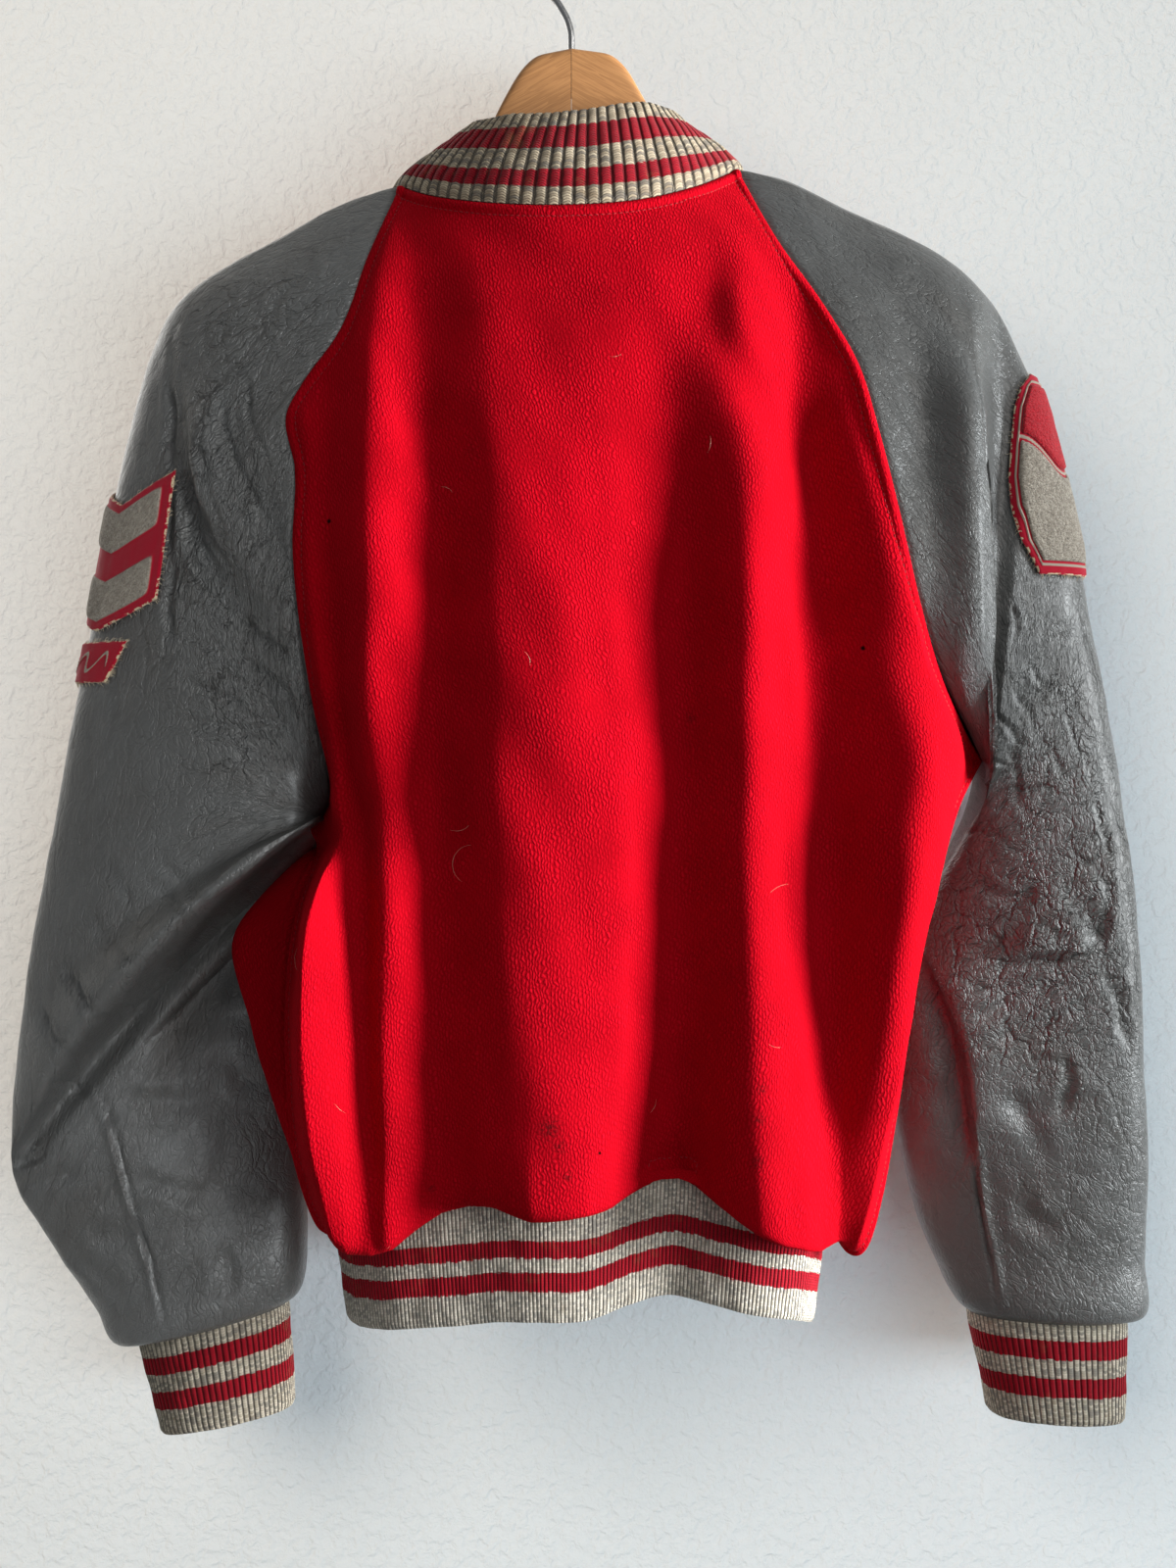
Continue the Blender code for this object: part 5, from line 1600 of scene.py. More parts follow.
class Palette:
    """Every material of the jacket, made once."""

    def __init__(self) -> None:
        """Makes the materials."""
        self.wool = WoolFinish().material()
        self.leather = LeatherFinish().material()
        self.patch = PatchFinish().material()
        self.collar = KnitFinish("collar_knit", ((0.17, 0.345), (0.575, 0.815)), 1.1).material()
        # The waistband's and the cuffs' knit are paler copies of the collar's, grooves and stripes too:
        # painted light, strongest on the waistband.
        self.band = KnitFinish(
            "waistband_knit", ((0.35, 0.485), (0.6, 0.75)), 0.7,
            cream=(0.72, 0.68, 0.59), tan=(0.46, 0.43, 0.36), grey=(0.27, 0.27, 0.26),
            groove=(0.15, 0.148, 0.14), red=(0.42, 0.004, 0.018), red_deep=(0.2, 0.002, 0.008),
        ).material()
        self.cuff = KnitFinish(
            "cuff_knit", ((0.16, 0.345), (0.53, 0.72)), 0.7,
            cream=(0.58, 0.53, 0.43), tan=(0.36, 0.32, 0.25), grey=(0.19, 0.187, 0.18),
            groove=(0.08, 0.078, 0.072), red=(0.34, 0.003, 0.014), red_deep=(0.14, 0.001, 0.006),
        ).material()
        red, deep = (0.34, 0.004, 0.01), (0.2, 0.002, 0.006)
        self.thread = PlainFinish("red_thread", red, deep, 0.8).material()
        self.fibre = PlainFinish("cream_fibre", (0.68, 0.58, 0.42), (0.5, 0.4, 0.28), 0.9).material()
        self.steel = PlainFinish("steel", (0.5,) * 3, (0.3,) * 3, 0.28, 1.0, 400.0).material()
        tilt = -28.0
        self.wood = {
            side: WoodFinish("wood_" + side.word, tilt * side.value).material() for side in Side
        }


# --- cloth details


@dataclass(frozen=True)
class Crease:
    """A soft trough along a path on one face of a sleeve; a depth below 0 is a ridge."""

    path: tuple[float, ...]  # x, z, x, z and so on
    width: float
    depth: float
    lip: float = 0.35  # height of its raised lips as a share of its depth
    beyond: float = 0.0  # its width on the side of larger x, or 0 for the same

    @property
    def large(self) -> bool:
        """Whether it is a main fold, of even depth."""
        return self.width >= 9 or abs(self.depth) >= 6

    def relief(self, points: Array) -> Array:
        """Offset it gives: -bell(d / w), plus lips at 1.9 w, faded at the path's ends.

        Args:
            points: places on the sleeve, N by 3.

        Returns:
            One offset per place, outwards.
        """
        knots = np.insert(np.reshape(self.path, (-1, 2)).astype(float), 1, 0, axis=1)
        line = along(knots, np.linspace(0, 1, 20))
        flat = points[:, [0, 2]]
        reach = 4 * max(self.width, self.beyond)
        low, high = line[:, [0, 2]].min(0) - reach, line[:, [0, 2]].max(0) + reach
        near = np.flatnonzero(((flat > low) & (flat < high)).all(1))
        out = np.zeros(len(points))
        if not len(near):
            return out
        spots = flat[near]
        start, step = line[:-1, [0, 2]], np.diff(line[:, [0, 2]], axis=0)
        share = ((spots[:, None] - start) * step).sum(-1) / (step**2).sum(-1)
        share = share.clip(0, 1)
        gap = np.linalg.norm(spots[:, None] - start - step * share[..., None], axis=-1)
        best = gap.argmin(1)
        pick = np.arange(len(near))
        place = (best + share[pick, best]) / len(step)
        foot = start[best, 0] + step[best, 0] * share[pick, best]
        width = np.where(spots[:, 0] > foot, self.beyond or self.width, self.width)
        distance = gap[pick, best] / width
        fade = ease(place / 0.3) * ease((1 - place) / 0.3)
        shape = -bell(distance) + self.lip * bell((distance - 1.9) / 0.9)
        out[near] = shape * self.depth * fade
        return out


def creased(points: Array, normals: Array, creases: tuple[Crease, ...], face: Face) -> Array:
    """Relief of creases on the part of a grid that faces back or front.

    Args:
        points: rows by columns by 3.
        normals: the same shape.
        creases: the creases.
        face: which face they lie on.

    Returns:
        Offsets, rows by columns.
    """
    toward = -normals[..., 1] if face is Face.BACK else normals[..., 1]
    share = ease((toward + 0.05) / 0.35)
    flat = points.reshape(-1, 3).copy()
    large = sum(crease.relief(flat) for crease in creases if crease.large)
    flat[:, 0] += 1.3 * ripple(flat, 26, 5)
    flat[:, 2] += 1.3 * ripple(flat, 22, 6)
    small = sum(crease.relief(flat) for crease in creases if not crease.large)
    total = large + small * (0.75 + 0.35 * ripple(flat, 30, 8))
    return np.reshape(total, share.shape) * share


def fine(width: float, depth: float, *paths: tuple[float, ...]) -> tuple[Crease, ...]:
    """Several creases of one width and depth."""
    return tuple(Crease(path, width, depth) for path in paths)


# Creases on the back of each sleeve: x, z, x, z and so on of their paths.
CREASES: dict[Side, tuple[Crease, ...]] = {
    Side.LEFT: (
        # fine wrinkles that fan out of the shoulder
        *fine(
            1.7, 0.55,
            (-144, -183, -148, -216, -155, -238), (-152, -186, -157, -216, -165, -236),
            (-162, -190, -165, -210, -174, -238), (-170, -194, -174, -216, -181, -240),
            (-135, -177, -137, -201, -144, -223), (-124, -170, -126, -192, -133, -216),
            (-179, -201, -183, -218, -187, -240), (-192, -210, -196, -227, -192, -249),
            (-203, -216, -205, -238, -200, -262), (-116, -165, -119, -180, -124, -200),
        ),
        # the bundle that runs down towards the armpit
        *fine(
            2.2, 1.3,
            (-196, -262, -192, -297, -183, -332, -165, -354),
            (-207, -262, -203, -297, -192, -336, -170, -365),
            (-187, -250, -179, -293, -165, -319, -152, -345),
            (-210, -297, -207, -328, -200, -354, -183, -380), (-174, -245, -168, -275, -155, -310),
        ),
        Crease((-200, -240, -198, -280, -186, -320, -162, -362, -142, -400), 10, -4.5),
        Crease((-209, -250, -206, -300, -198, -340, -182, -372), 5, 3.0),
        Crease((-215, -212, -215, -250, -214, -320, -215, -372, -216, -420), 2.4, 2.6),
        # the crisp edge of the upper sleeve over the forearm, and the fold that rises to it
        Crease((-128, -486, -150, -516, -178, -553, -210, -588, -246, -625), 3.8, 12.0, 0.0, 15),
        Crease((-140, -490, -164, -515, -188, -543, -218, -574, -256, -612), 11, -4.0, 0.0),
        # soft creases that run down to the fold above the forearm
        *fine(
            2.4, 2.0,
            (-220, -430, -183, -439, -140, -443), (-214, -410, -183, -424, -152, -434),
            (-196, -395, -165, -410, -142, -426), (-251, -426, -233, -434, -214, -434),
            (-183, -380, -157, -395, -142, -410), (-286, -558, -270, -574, -252, -596, -240, -606),
            (-292, -588, -281, -605, -262, -627), (-270, -535, -246, -553, -218, -575),
            (-240, -509, -220, -524, -187, -553), (-222, -507, -203, -522, -183, -535),
            (-286, -623, -275, -640, -264, -640), (-255, -507, -240, -522, -233, -540),
        ),
        # forearm
        *fine(
            5.0, 2.0,
            (-256, -638, -218, -647, -190, -638), (-246, -688, -220, -694, -199, -703),
            (-274, -717, -249, -724, -243, -726), (-227, -601, -199, -604, -172, -599),
            (-195, -629, -172, -638, -159, -638), (-288, -728, -265, -742, -249, -762),
            (-306, -699, -297, -692, -272, -681), (-199, -728, -190, -742, -195, -760),
        ),
        Crease((-312, -681, -300, -678, -288, -673), 2.6, 2.0),
    ),
    Side.RIGHT: (
        Crease((204, -225, 206, -260, 206, -310, 208, -370, 211, -440), 13, -9, 0.0, 11),
        Crease((170, -190, 180, -225, 186, -270, 188, -330), 16, 3.5, 0.0),
        *fine(
            1.8, 1.0,
            (222, -385, 247, -434, 277, -476), (225, -365, 250, -385, 277, -390),
            (239, -398, 255, -415, 277, -426), (222, -454, 239, -465, 244, -481),
            (247, -434, 239, -459, 244, -481, 255, -498),
            (261, -415, 275, -448, 286, -473, 291, -476), (233, -360, 239, -379, 236, -409),
            (225, -426, 241, -443, 261, -448), (211, -498, 233, -498, 250, -511),
            (277, -476, 288, -487, 294, -509),
        ),
        Crease((231, -569, 253, -566, 273, -566, 292, -561), 2.6, 4.0),
        Crease((236, -560, 256, -557, 276, -556, 290, -552), 8, -3.0, 0.0),
        Crease((268, -520, 280, -536, 290, -560), 6, 3.0),
        *fine(
            3.4, 2.0,
            (245, -603, 268, -598, 290, -586, 308, -583), (217, -566, 236, -555, 253, -538),
            (219, -521, 245, -532, 256, -521), (287, -510, 293, -538, 289, -562),
            (219, -612, 234, -609, 245, -603), (290, -562, 302, -595, 307, -623),
            (268, -612, 273, -634, 268, -654), (208, -589, 225, -595, 245, -586),
        ),
        *fine(
            6.0, 1.5,
            (228, -637, 245, -646, 256, -666, 262, -680), (225, -651, 253, -646, 293, -646),
            (245, -694, 253, -708, 273, -717), (183, -634, 197, -640, 214, -651),
        ),
        Crease((190, -556, 203, -585, 212, -613, 217, -645, 221, -690), 10, 7.0, 0.0, 3),
        Crease((197, -552, 210, -583, 219, -611, 224, -645, 227, -690), 5, -7.5, 0.0, 20),
    ),
}

# Raised seams on the sleeves: x, z of their paths, from the elbow to the cuff.
FOREARM_SEAM: dict[Side, tuple[float, ...]] = {
    Side.LEFT: (-268, -625, -256, -656, -250, -681, -242, -710, -233, -742, -224, -780),
    Side.RIGHT: (219, -639, 223, -676, 227, -708, 233, -739, 236, -770),
}


# Where each sleeve's leather is wrinkled most: x, z, half width, half height of each spot.
WRINKLED: dict[Side, Rows] = {
    Side.LEFT: ((-165, -215, 45, 40), (-185, -320, 40, 80), (-160, -410, 40, 50)),
    Side.RIGHT: ((265, -440, 60, 70), (255, -560, 60, 60), (290, -480, 30, 90)),
}


def mirrored(creases: tuple[Crease, ...]) -> tuple[Crease, ...]:
    """Creases turned over to the other side, for a face that isn't seen."""
    paths = [tuple((np.reshape(crease.path, (-1, 2)) * (-1, 1)).ravel()) for crease in creases]
    return tuple(Crease(p, c.width, c.depth * 0.7, c.lip) for p, c in zip(paths, creases))


@dataclass(frozen=True)
class Welt:
    """A seam's turned edge: a groove, a raised welt and a topstitched valley."""

    groove: float = 1.0
    rise: float = 1.3
    width: float = 2.6
    stitch_at: float = 6.2
    valley: float = 0.7
    pitch: float = 3.2
    arch: tuple[float, ...] = (-0.25, 0.12, 0.2, 0.12, -0.25)  # rise along a stitch
    thread: tuple[float, ...] = (0.12, 0.26, 0.3, 0.26, 0.12)  # radii along a stitch

    def relief(self, distance: Array, run: Array) -> Array:
        """Offset by distance d from the seam: bells for the groove, the welt and the valley.

        Args:
            distance: distance from the seam.
            run: distance along it.

        Returns:
            Offsets outwards.
        """
        stitches = 0.75 + 0.25 * np.cos(2 * math.pi * run / self.pitch)
        out = -self.groove * bell(distance / 0.8)
        out = out + self.rise * bell((distance - self.stitch_at / 2) / self.width)
        return out - self.valley * stitches * bell((distance - self.stitch_at) / 0.9)


def stitch_row(
    name: str, line: Array, normals: Array, welt: Welt, material: Material, node: str
) -> Object:
    """A row of topstitches: short tapered tubes, half sunk in the cloth.

    Args:
        name: name of the piece.
        line: points on the cloth along the row, with a break where a step is long.
        normals: the cloth's normals there.
        welt: the seam they belong to.
        material: their material.
        node: the cloth's CAD node.

    Returns:
        The object.
    """
    length = lengths(line)
    starts = np.arange(welt.pitch / 2, length[-1] - welt.pitch, welt.pitch)
    spots = starts[:, None] + np.linspace(0, welt.pitch * 0.8, 5)[None]
    paths = np.stack([np.interp(spots, length, line[:, k]) for k in range(3)], -1)
    out = np.stack([np.interp(spots, length, normals[:, k]) for k in range(3)], -1)
    paths += out * np.array(welt.arch)[None, :, None]
    steps = np.linalg.norm(np.diff(paths, axis=1), axis=-1).max(1)
    paths, out = paths[steps < welt.pitch], out[steps < welt.pitch]
    radii = np.broadcast_to(np.array(welt.thread), paths.shape[:2])
    points, faces = tubes(paths, radii, 6, out[:, 2])
    return hang_piece(add_mesh(name, points, faces, material), node)


# --- cloth pieces


@dataclass
class BackPanel:
    """The back: one wool panel with welts at its seams and long hanging folds."""

    palette: Palette
    columns: int = 241
    rows: int = 301
    thickness: float = 2.0
    welt: Welt = Welt()
    tuck_height: float = -494.0  # where the wool bulges out under the left arm
    tuck_reach: float = 15.0
    tuck_size: tuple[float, float] = (11.0, 22.0)  # half its height and half its width
    # Smaller folds: z upper, z lower, x upper, x middle, x lower, left and right width, depth.
    folds: Rows = (
        (-230, -420, -70, -58, -50, 9, 12, 2.0),
        (-250, -480, 6, 0, -4, 12, 14, 2.0),
        (-560, -700, -50, -46, -44, 10, 12, 2.5),
        (-600, -700, 26, 30, 32, 8, 8, -2.0),
        (-420, -560, 140, 138, 134, 8, 8, -2.0),
    )

    def build(self) -> None:
        """Builds the panel and its rows of topstitches."""
        u = spread(self.columns, 0.7)[None]
        v = spread(self.rows, 0.5)[:, None]
        base = CUT.back(u, v)
        normals = normals_of(base, 1)
        left, run_left = from_edge(base, Edge.FIRST)
        right, run_right = from_edge(base, Edge.LAST)
        neck, run_neck = from_edge(base, Edge.HIGH)
        hem, run_hem = from_edge(base, Edge.LOW)
        relief = self.welt.relief(left, run_left) + self.welt.relief(right, run_right)
        relief += self.welt.relief(neck, run_neck)
        relief += Welt(rise=0.6, valley=0.5).relief(hem, run_hem)
        inside = ease(left / 14) * ease(right / 14) * ease(neck / 25) * ease(hem / 25)
        relief += inside * self.small_folds(base[..., 0], base[..., 2])
        relief += inside * (0.8 * ripple(base, 70, 11) + 0.35 * ripple(base, 26, 12))
        outer = base + normals * relief[..., None]
        tall, wide = self.tuck_size
        tuck = bell((base[..., 2] - self.tuck_height) / tall) * bell(left / wide)
        outer[..., 0] -= self.tuck_reach * tuck * ease(left / 3)
        shell = Shell("back_panel", outer, normals, self.thickness, 1, (5, 5), metric_uv(base))
        made = hang_piece(shell.build(self.palette.wool), "back", True)
        rows = self.topstitch(outer, normals, (left, right, neck, hem))

    def small_folds(self, x: Array, z: Array) -> Array:
        """Sum of small folds, each a bell across a crest line that fades at both ends.

        Args:
            x: places across.
            z: heights.

        Returns:
            Depths towards the eye.
        """
        total = np.zeros_like(x)
        for upper, lower, x_upper, x_middle, x_lower, left, right, depth in self.folds:
            share = np.clip((upper - z) / (upper - lower), 0, 1)
            crest = through((0, 0.5, 1), (x_upper, x_middle, x_lower), share)
            fade = ease((upper - z) / 60) * ease((z - lower) / 30)
            total += 0.55 * depth * fade * bell((x - crest) / np.where(x < crest, left, right))
        return total

    def topstitch(self, outer: Array, normals: Array, distances: tuple[Array, ...]) -> list[Object]:
        """Rows of stitches along the welts.

        Args:
            outer: the panel's points.
            normals: its normals.
            distances: distance of every point from the left, right, upper and lower seam.

        Returns:
            The rows.
        """
        made = []
        left, right, neck, hem = distances
        for name, distance, axis, flip in (
            ("left", left, 1, False), ("right", right, 1, True),
            ("neck", neck, 0, True), ("hem", hem, 0, False),
        ):
            order = distance[:, ::-1] if flip and axis == 1 else distance
            order = order[::-1] if flip and axis == 0 else order
            index = (order > self.welt.stitch_at).argmax(axis)
            if flip:
                index = distance.shape[axis] - 1 - index
            every = np.arange(distance.shape[1 - axis])
            spot = (every, index) if axis == 1 else (index, every)
            line, out = outer[spot][6:-6], normals[spot][6:-6]
            name, thread = f"back_topstitch_{name}", self.palette.thread
            made.append(stitch_row(name, line, out, self.welt, thread, "back"))
        return made


@dataclass
class FrontPanel:
    """One front; the left one laps over the right one."""

    palette: Palette
    side: Side
    columns: int = 129
    lap_columns: int = 8
    rows: int = 201
    thickness: float = 2.0
    welt: Welt = Welt()

    def build(self) -> None:
        """Builds the panel."""
        lap = np.linspace(1, 2, self.lap_columns + 1)[1:]
        u = np.concatenate([spread(self.columns, 0.5), lap])[None]
        v = spread(self.rows, 0.5)[:, None]
        base = CUT.front(self.side, u, v)
        sign = self.side.value
        normals = normals_of(base, sign)
        edge, run = from_edge(base, Edge.FIRST)
        neck, run_neck = from_edge(base, Edge.HIGH)
        hem, run_hem = from_edge(base, Edge.LOW)
        relief = self.welt.relief(edge, run) + self.welt.relief(neck, run_neck)
        relief += Welt(rise=0.6, valley=0.5).relief(hem, run_hem)
        free = ease((1.0 - u) / 0.3)
        inside = ease(edge / 14) * ease(neck / 25) * ease(hem / 25) * free
        folds = 2.2 * ripple(base * np.array((1, 1, 0.25)), 70, 21 + sign)
        relief += inside * (folds + 0.35 * ripple(base, 26, 23))
        outer = base + normals * relief[..., None]
        name = self.side.word + "_front"
        uv = metric_uv(base)
        shell = Shell(name + "_panel", outer, normals, self.thickness, sign, (4, 4), uv)
        made = hang_piece(shell.build(self.palette.wool), name, True)


@dataclass
class Sleeve:
    """One leather raglan sleeve, creased on its back and its front."""

    palette: Palette
    side: Side
    columns: int = 240
    pieces: int = 12
    thickness: float = 1.6

    def grid(self) -> tuple[Array, Array]:
        """Shares round and down the sleeve."""
        s = np.linspace(0, 1, self.columns + 1)[None]
        return s, refine(SLEEVE_RINGS[self.side], self.pieces)[:, None]

    def seam_relief(self, points: Array) -> Array:
        """The forearm's raised seam: a groove and a padded ridge beside it.

        Args:
            points: the sleeve's points.

        Returns:
            Offsets outwards.
        """
        path = FOREARM_SEAM[self.side]
        beside = tuple((np.reshape(path, (-1, 2)) + (self.side.value * 2.6, 0)).ravel())
        flat = points.reshape(-1, 3)
        groove = Crease(path, 1.4, 2.4, 0.0).relief(flat)
        ridge = Crease(beside, 2.4, -1.8, 0.0).relief(flat)
        return (groove + ridge).reshape(points.shape[:2])

    def build(self) -> None:
        """Builds the sleeve."""
        s, t = self.grid()
        base = CUT.sleeve(self.side, s, t)
        sign = -self.side.value
        normals = normals_of(base, sign, tube=True)
        seam, _ = from_edge(base, Edge.LOW)
        cuff, _ = from_edge(base, Edge.HIGH)
        toward = ease((-normals[..., 1] + 0.05) / 0.35)
        relief = creased(base, normals, CREASES[self.side], Face.BACK)
        relief += creased(base, normals, mirrored(CREASES[self.side.other]), Face.FRONT)
        relief += self.seam_relief(base) * toward
        relief += 0.4 * ripple(base, 60, 31) + 0.15 * ripple(base, 24, 32)
        relief *= ease(seam / 10) * ease(cuff / 12)
        relief -= 1.1 * bell(seam / 1.6)
        outer = base + normals * relief[..., None]
        wrinkle = self.wrinkles(base)
        name = self.side.word + "_sleeve"
        shell = Shell(
            name + "_leather", outer, normals, self.thickness, sign, (4, 4), self.flat(base),
            {"wrinkle": wrinkle},
        )
        made = hang_piece(shell.build(self.palette.leather), name, True)

    def flat(self, points: Array) -> Array:
        """Places on the flat hide, measured round from the line that faces the back.

        Args:
            points: the sleeve's points.

        Returns:
            Rows by columns by 2, in millimetres.
        """
        uv = metric_uv(points)
        nearest = points[..., 1].argmin(1)
        middle = int(np.median(nearest))
        uv[..., 0] -= uv[:, middle, 0][:, None]
        return uv

    def wrinkles(self, points: Array) -> Array:
        """How finely wrinkled the leather is at each point, from 0 to 1.

        Args:
            points: the sleeve's points.

        Returns:
            One share per point.
        """
        x, z = points[..., 0], points[..., 2]
        share = np.full(x.shape, 0.3)
        for cx, cz, wide, tall in WRINKLED[self.side]:
            share += 0.8 * bell(np.hypot((x - cx) / wide, (z - cz) / tall))
        return np.clip(share, 0, 1)


@dataclass
class RibKnit:
    """A ribbed band of knit between two lines, with rounded ribs and rolled free edge."""

    material: Material
    name: str
    node: str
    lines: Callable[[Array, Array], Array]  # (shares round, shares down from the seam) -> points
    ribs: int
    stitches: float
    sign: int
    tube: bool = False
    per_rib: int = 8
    rows: int = 29
    rib: float = 0.75
    thickness: float = 2.4
    roll: float = 0.07

    def build(self) -> Object:
        """Builds the band: rib height sqrt(1 - (2p - 1)^2) over the rib's phase p.

        Returns:
            The band.
        """
        columns = self.ribs * self.per_rib + 1
        s = np.linspace(0, 1, columns)[None]
        t = np.linspace(0, 1, self.rows)[:, None]
        base = self.lines(s, t)
        normals = normals_of(base, self.sign, self.tube)
        phase = np.arange(columns) % self.per_rib / self.per_rib
        crest = np.sqrt(np.clip(1 - (2 * phase - 1) ** 2, 0, 1))
        sewn = ease(t / 0.06)
        relief = self.rib * crest[None] * (0.3 + 0.7 * sewn)
        relief = relief + 0.3 * ripple(base, 18, 41) * sewn
        rolled = np.clip((t - 1 + self.roll) / self.roll, 0, 1)
        relief = relief - (1 - np.sqrt(np.clip(1 - rolled**2, 0, 1))) * self.thickness * 0.5
        outer = base + normals * relief[..., None]
        uv = np.stack([s * self.ribs + 0 * t, t * self.stitches + 0 * s], -1)
        shell = Shell(
            self.name, outer, normals, self.thickness, self.sign, (4, self.per_rib), uv,
            {"height": t + 0 * s}, base,
        )
        return hang_piece(shell.build(self.material), self.node, True)


@dataclass
class Collar:
    """The stand collar, from the neck seam to its smaller upper edge."""

    palette: Palette
    ribs: int = 80
    stitches: float = 40.0

    def lines(self, s: Array, t: Array) -> Array:
        """Points of the collar.

        Args:
            s: shares round, left front to right front.
            t: shares up from the seam.

        Returns:
            Outer points.
        """
        seam = on_line(CUT.neck_line(), s)
        upper = along(COLLAR_TOP, s)
        lean = through((0, 0.12, 0.55, 1), (0, 0.05, 0.42, 1), t)[..., None]
        points = seam + (upper - seam) * lean
        points[..., 2] = (seam + (upper - seam) * t[..., None])[..., 2]
        return points

    def build(self) -> None:
        """Builds the collar."""
        made = RibKnit(
            self.palette.collar, "collar_knit_band", "collar", self.lines, self.ribs,
            self.stitches, 1, rib=0.9, rows=33,
        ).build()


@dataclass
class Waistband:
    """The waistband, from the hem seam down to its narrower free edge."""

    palette: Palette
    height: float = 66.0
    taper: float = 0.06
    middle: tuple[float, float] = (6.0, 4.0)  # x and y that it narrows towards
    ribs: int = 340
    stitches: float = 48.0

    def lines(self, s: Array, t: Array) -> Array:
        """Points of the waistband.

        Args:
            s: shares round, left front to right front.
            t: shares down from the seam.

        Returns:
            Outer points.
        """
        seam = on_line(CUT.hem_line(), s)
        points = seam + np.zeros(np.broadcast(s, t).shape + (3,))
        x, y = self.middle
        points[..., 0] = (points[..., 0] - x) * (1 - self.taper * t) + x
        points[..., 1] = (points[..., 1] - y) * (1 - 0.5 * self.taper * t) + y
        points[..., 2] -= self.height * t
        return points

    def build(self) -> None:
        """Builds the waistband."""
        made = RibKnit(
            self.palette.band, "waistband_knit", "waistband", self.lines, self.ribs,
            self.stitches, -1, per_rib=4, rows=29, rib=0.34,
        ).build()


@dataclass
class Cuff:
    """A cuff, from the sleeve's last ring to its own narrower end."""

    palette: Palette
    side: Side
    ribs: int = 72
    stitches: float = 42.0

    def lines(self, s: Array, t: Array) -> Array:
        """Points of the cuff.

        Args:
            s: shares round, from the underarm line over the back.
            t: shares down from the seam.

        Returns:
            Outer points.
        """
        seam = CUT.sleeve(self.side, s, np.ones(1))
        outer, inner = (np.asarray(row, float) for row in CUFF_END[self.side])
        across = ((1 - np.cos(2 * math.pi * s)) / 2)[..., None]
        end = inner + (outer - inner) * across
        wave = np.sin(2 * math.pi * s)
        end[..., 1] -= CUFF_DEPTH[self.side] * np.abs(wave) ** CUT.tube_power * np.sign(wave)
        return seam + (end - seam) * t[..., None]

    def build(self) -> None:
        """Builds the cuff."""
        name = self.side.word + "_cuff"
        made = RibKnit(
            self.palette.cuff, name + "_knit", name, self.lines, self.ribs, self.stitches,
            -self.side.value, tube=True, per_rib=6, rows=29, rib=0.45,
        ).build()


# --- patches


@dataclass(frozen=True)
class SleeveWrap:
    """Places on a sleeve by their angle round an upright axis and their height."""

    side: Side
    axis: tuple[float, float]

    def measure(self, points: Array) -> Array:
        """Angle in degrees (0 outwards, 90 to the back) and height of points.

        Args:
            points: places on the sleeve.

        Returns:
            The pair for each point.
        """
        out = (points[..., 0] - self.axis[0]) * self.side.value
        back = self.axis[1] - points[..., 1]
        return np.stack([np.degrees(np.arctan2(back, out)), points[..., 2]], -1)

    def locate(self, angles: Array, heights: Array) -> tuple[Array, Array]:
        """Points and normals on the sleeve: nearest of a grid, then Newton steps.

        Args:
            angles: angles in degrees.
            heights: heights.

        Returns:
            Points, and unit normals.
        """
        goal = np.stack([angles, heights], -1).reshape(-1, 2)
        s, t = np.meshgrid(np.linspace(0.05, 0.95, 60), np.linspace(0.15, 0.98, 70))
        seen = self.measure(CUT.sleeve(self.side, s, t)).reshape(-1, 2).astype(np.float32)
        wanted = goal.astype(np.float32)
        gap = (seen[None, :, 0] - wanted[:, :1]) ** 2 + (seen[None, :, 1] - wanted[:, 1:]) ** 2
        best = gap.argmin(1)
        s, t = s.ravel()[best], t.ravel()[best]
        step, most, beside = 1e-4, 0.02, 2e-3
        for _ in range(6):
            here = self.measure(CUT.sleeve(self.side, s, t))
            by_s = (self.measure(CUT.sleeve(self.side, s + step, t)) - here) / step
            by_t = (self.measure(CUT.sleeve(self.side, s, t + step)) - here) / step
            miss = goal - here
            det = by_s[:, 0] * by_t[:, 1] - by_t[:, 0] * by_s[:, 1]
            det = np.where(np.abs(det) < 1e-3, 1e-3, det)
            ds = (miss[:, 0] * by_t[:, 1] - by_t[:, 0] * miss[:, 1]) / det
            dt = (by_s[:, 0] * miss[:, 1] - miss[:, 0] * by_s[:, 1]) / det
            s = np.clip(s + ds.clip(-most, most), 0.02, 0.98)
            t = np.clip(t + dt.clip(-most, most), 0.02, 0.99)
        points = CUT.sleeve(self.side, s, t)
        across = CUT.sleeve(self.side, s + beside, t) - CUT.sleeve(self.side, s - beside, t)
        down = CUT.sleeve(self.side, s, t + beside) - CUT.sleeve(self.side, s, t - beside)
        normal = unit(np.cross(across, down) * -self.side.value)
        shape = np.shape(angles) + (3,)
        return points.reshape(shape), normal.reshape(shape)


WRAPS = {Side.LEFT: SleeveWrap(Side.LEFT, (-214, 4)), Side.RIGHT: SleeveWrap(Side.RIGHT, (250, 14))}


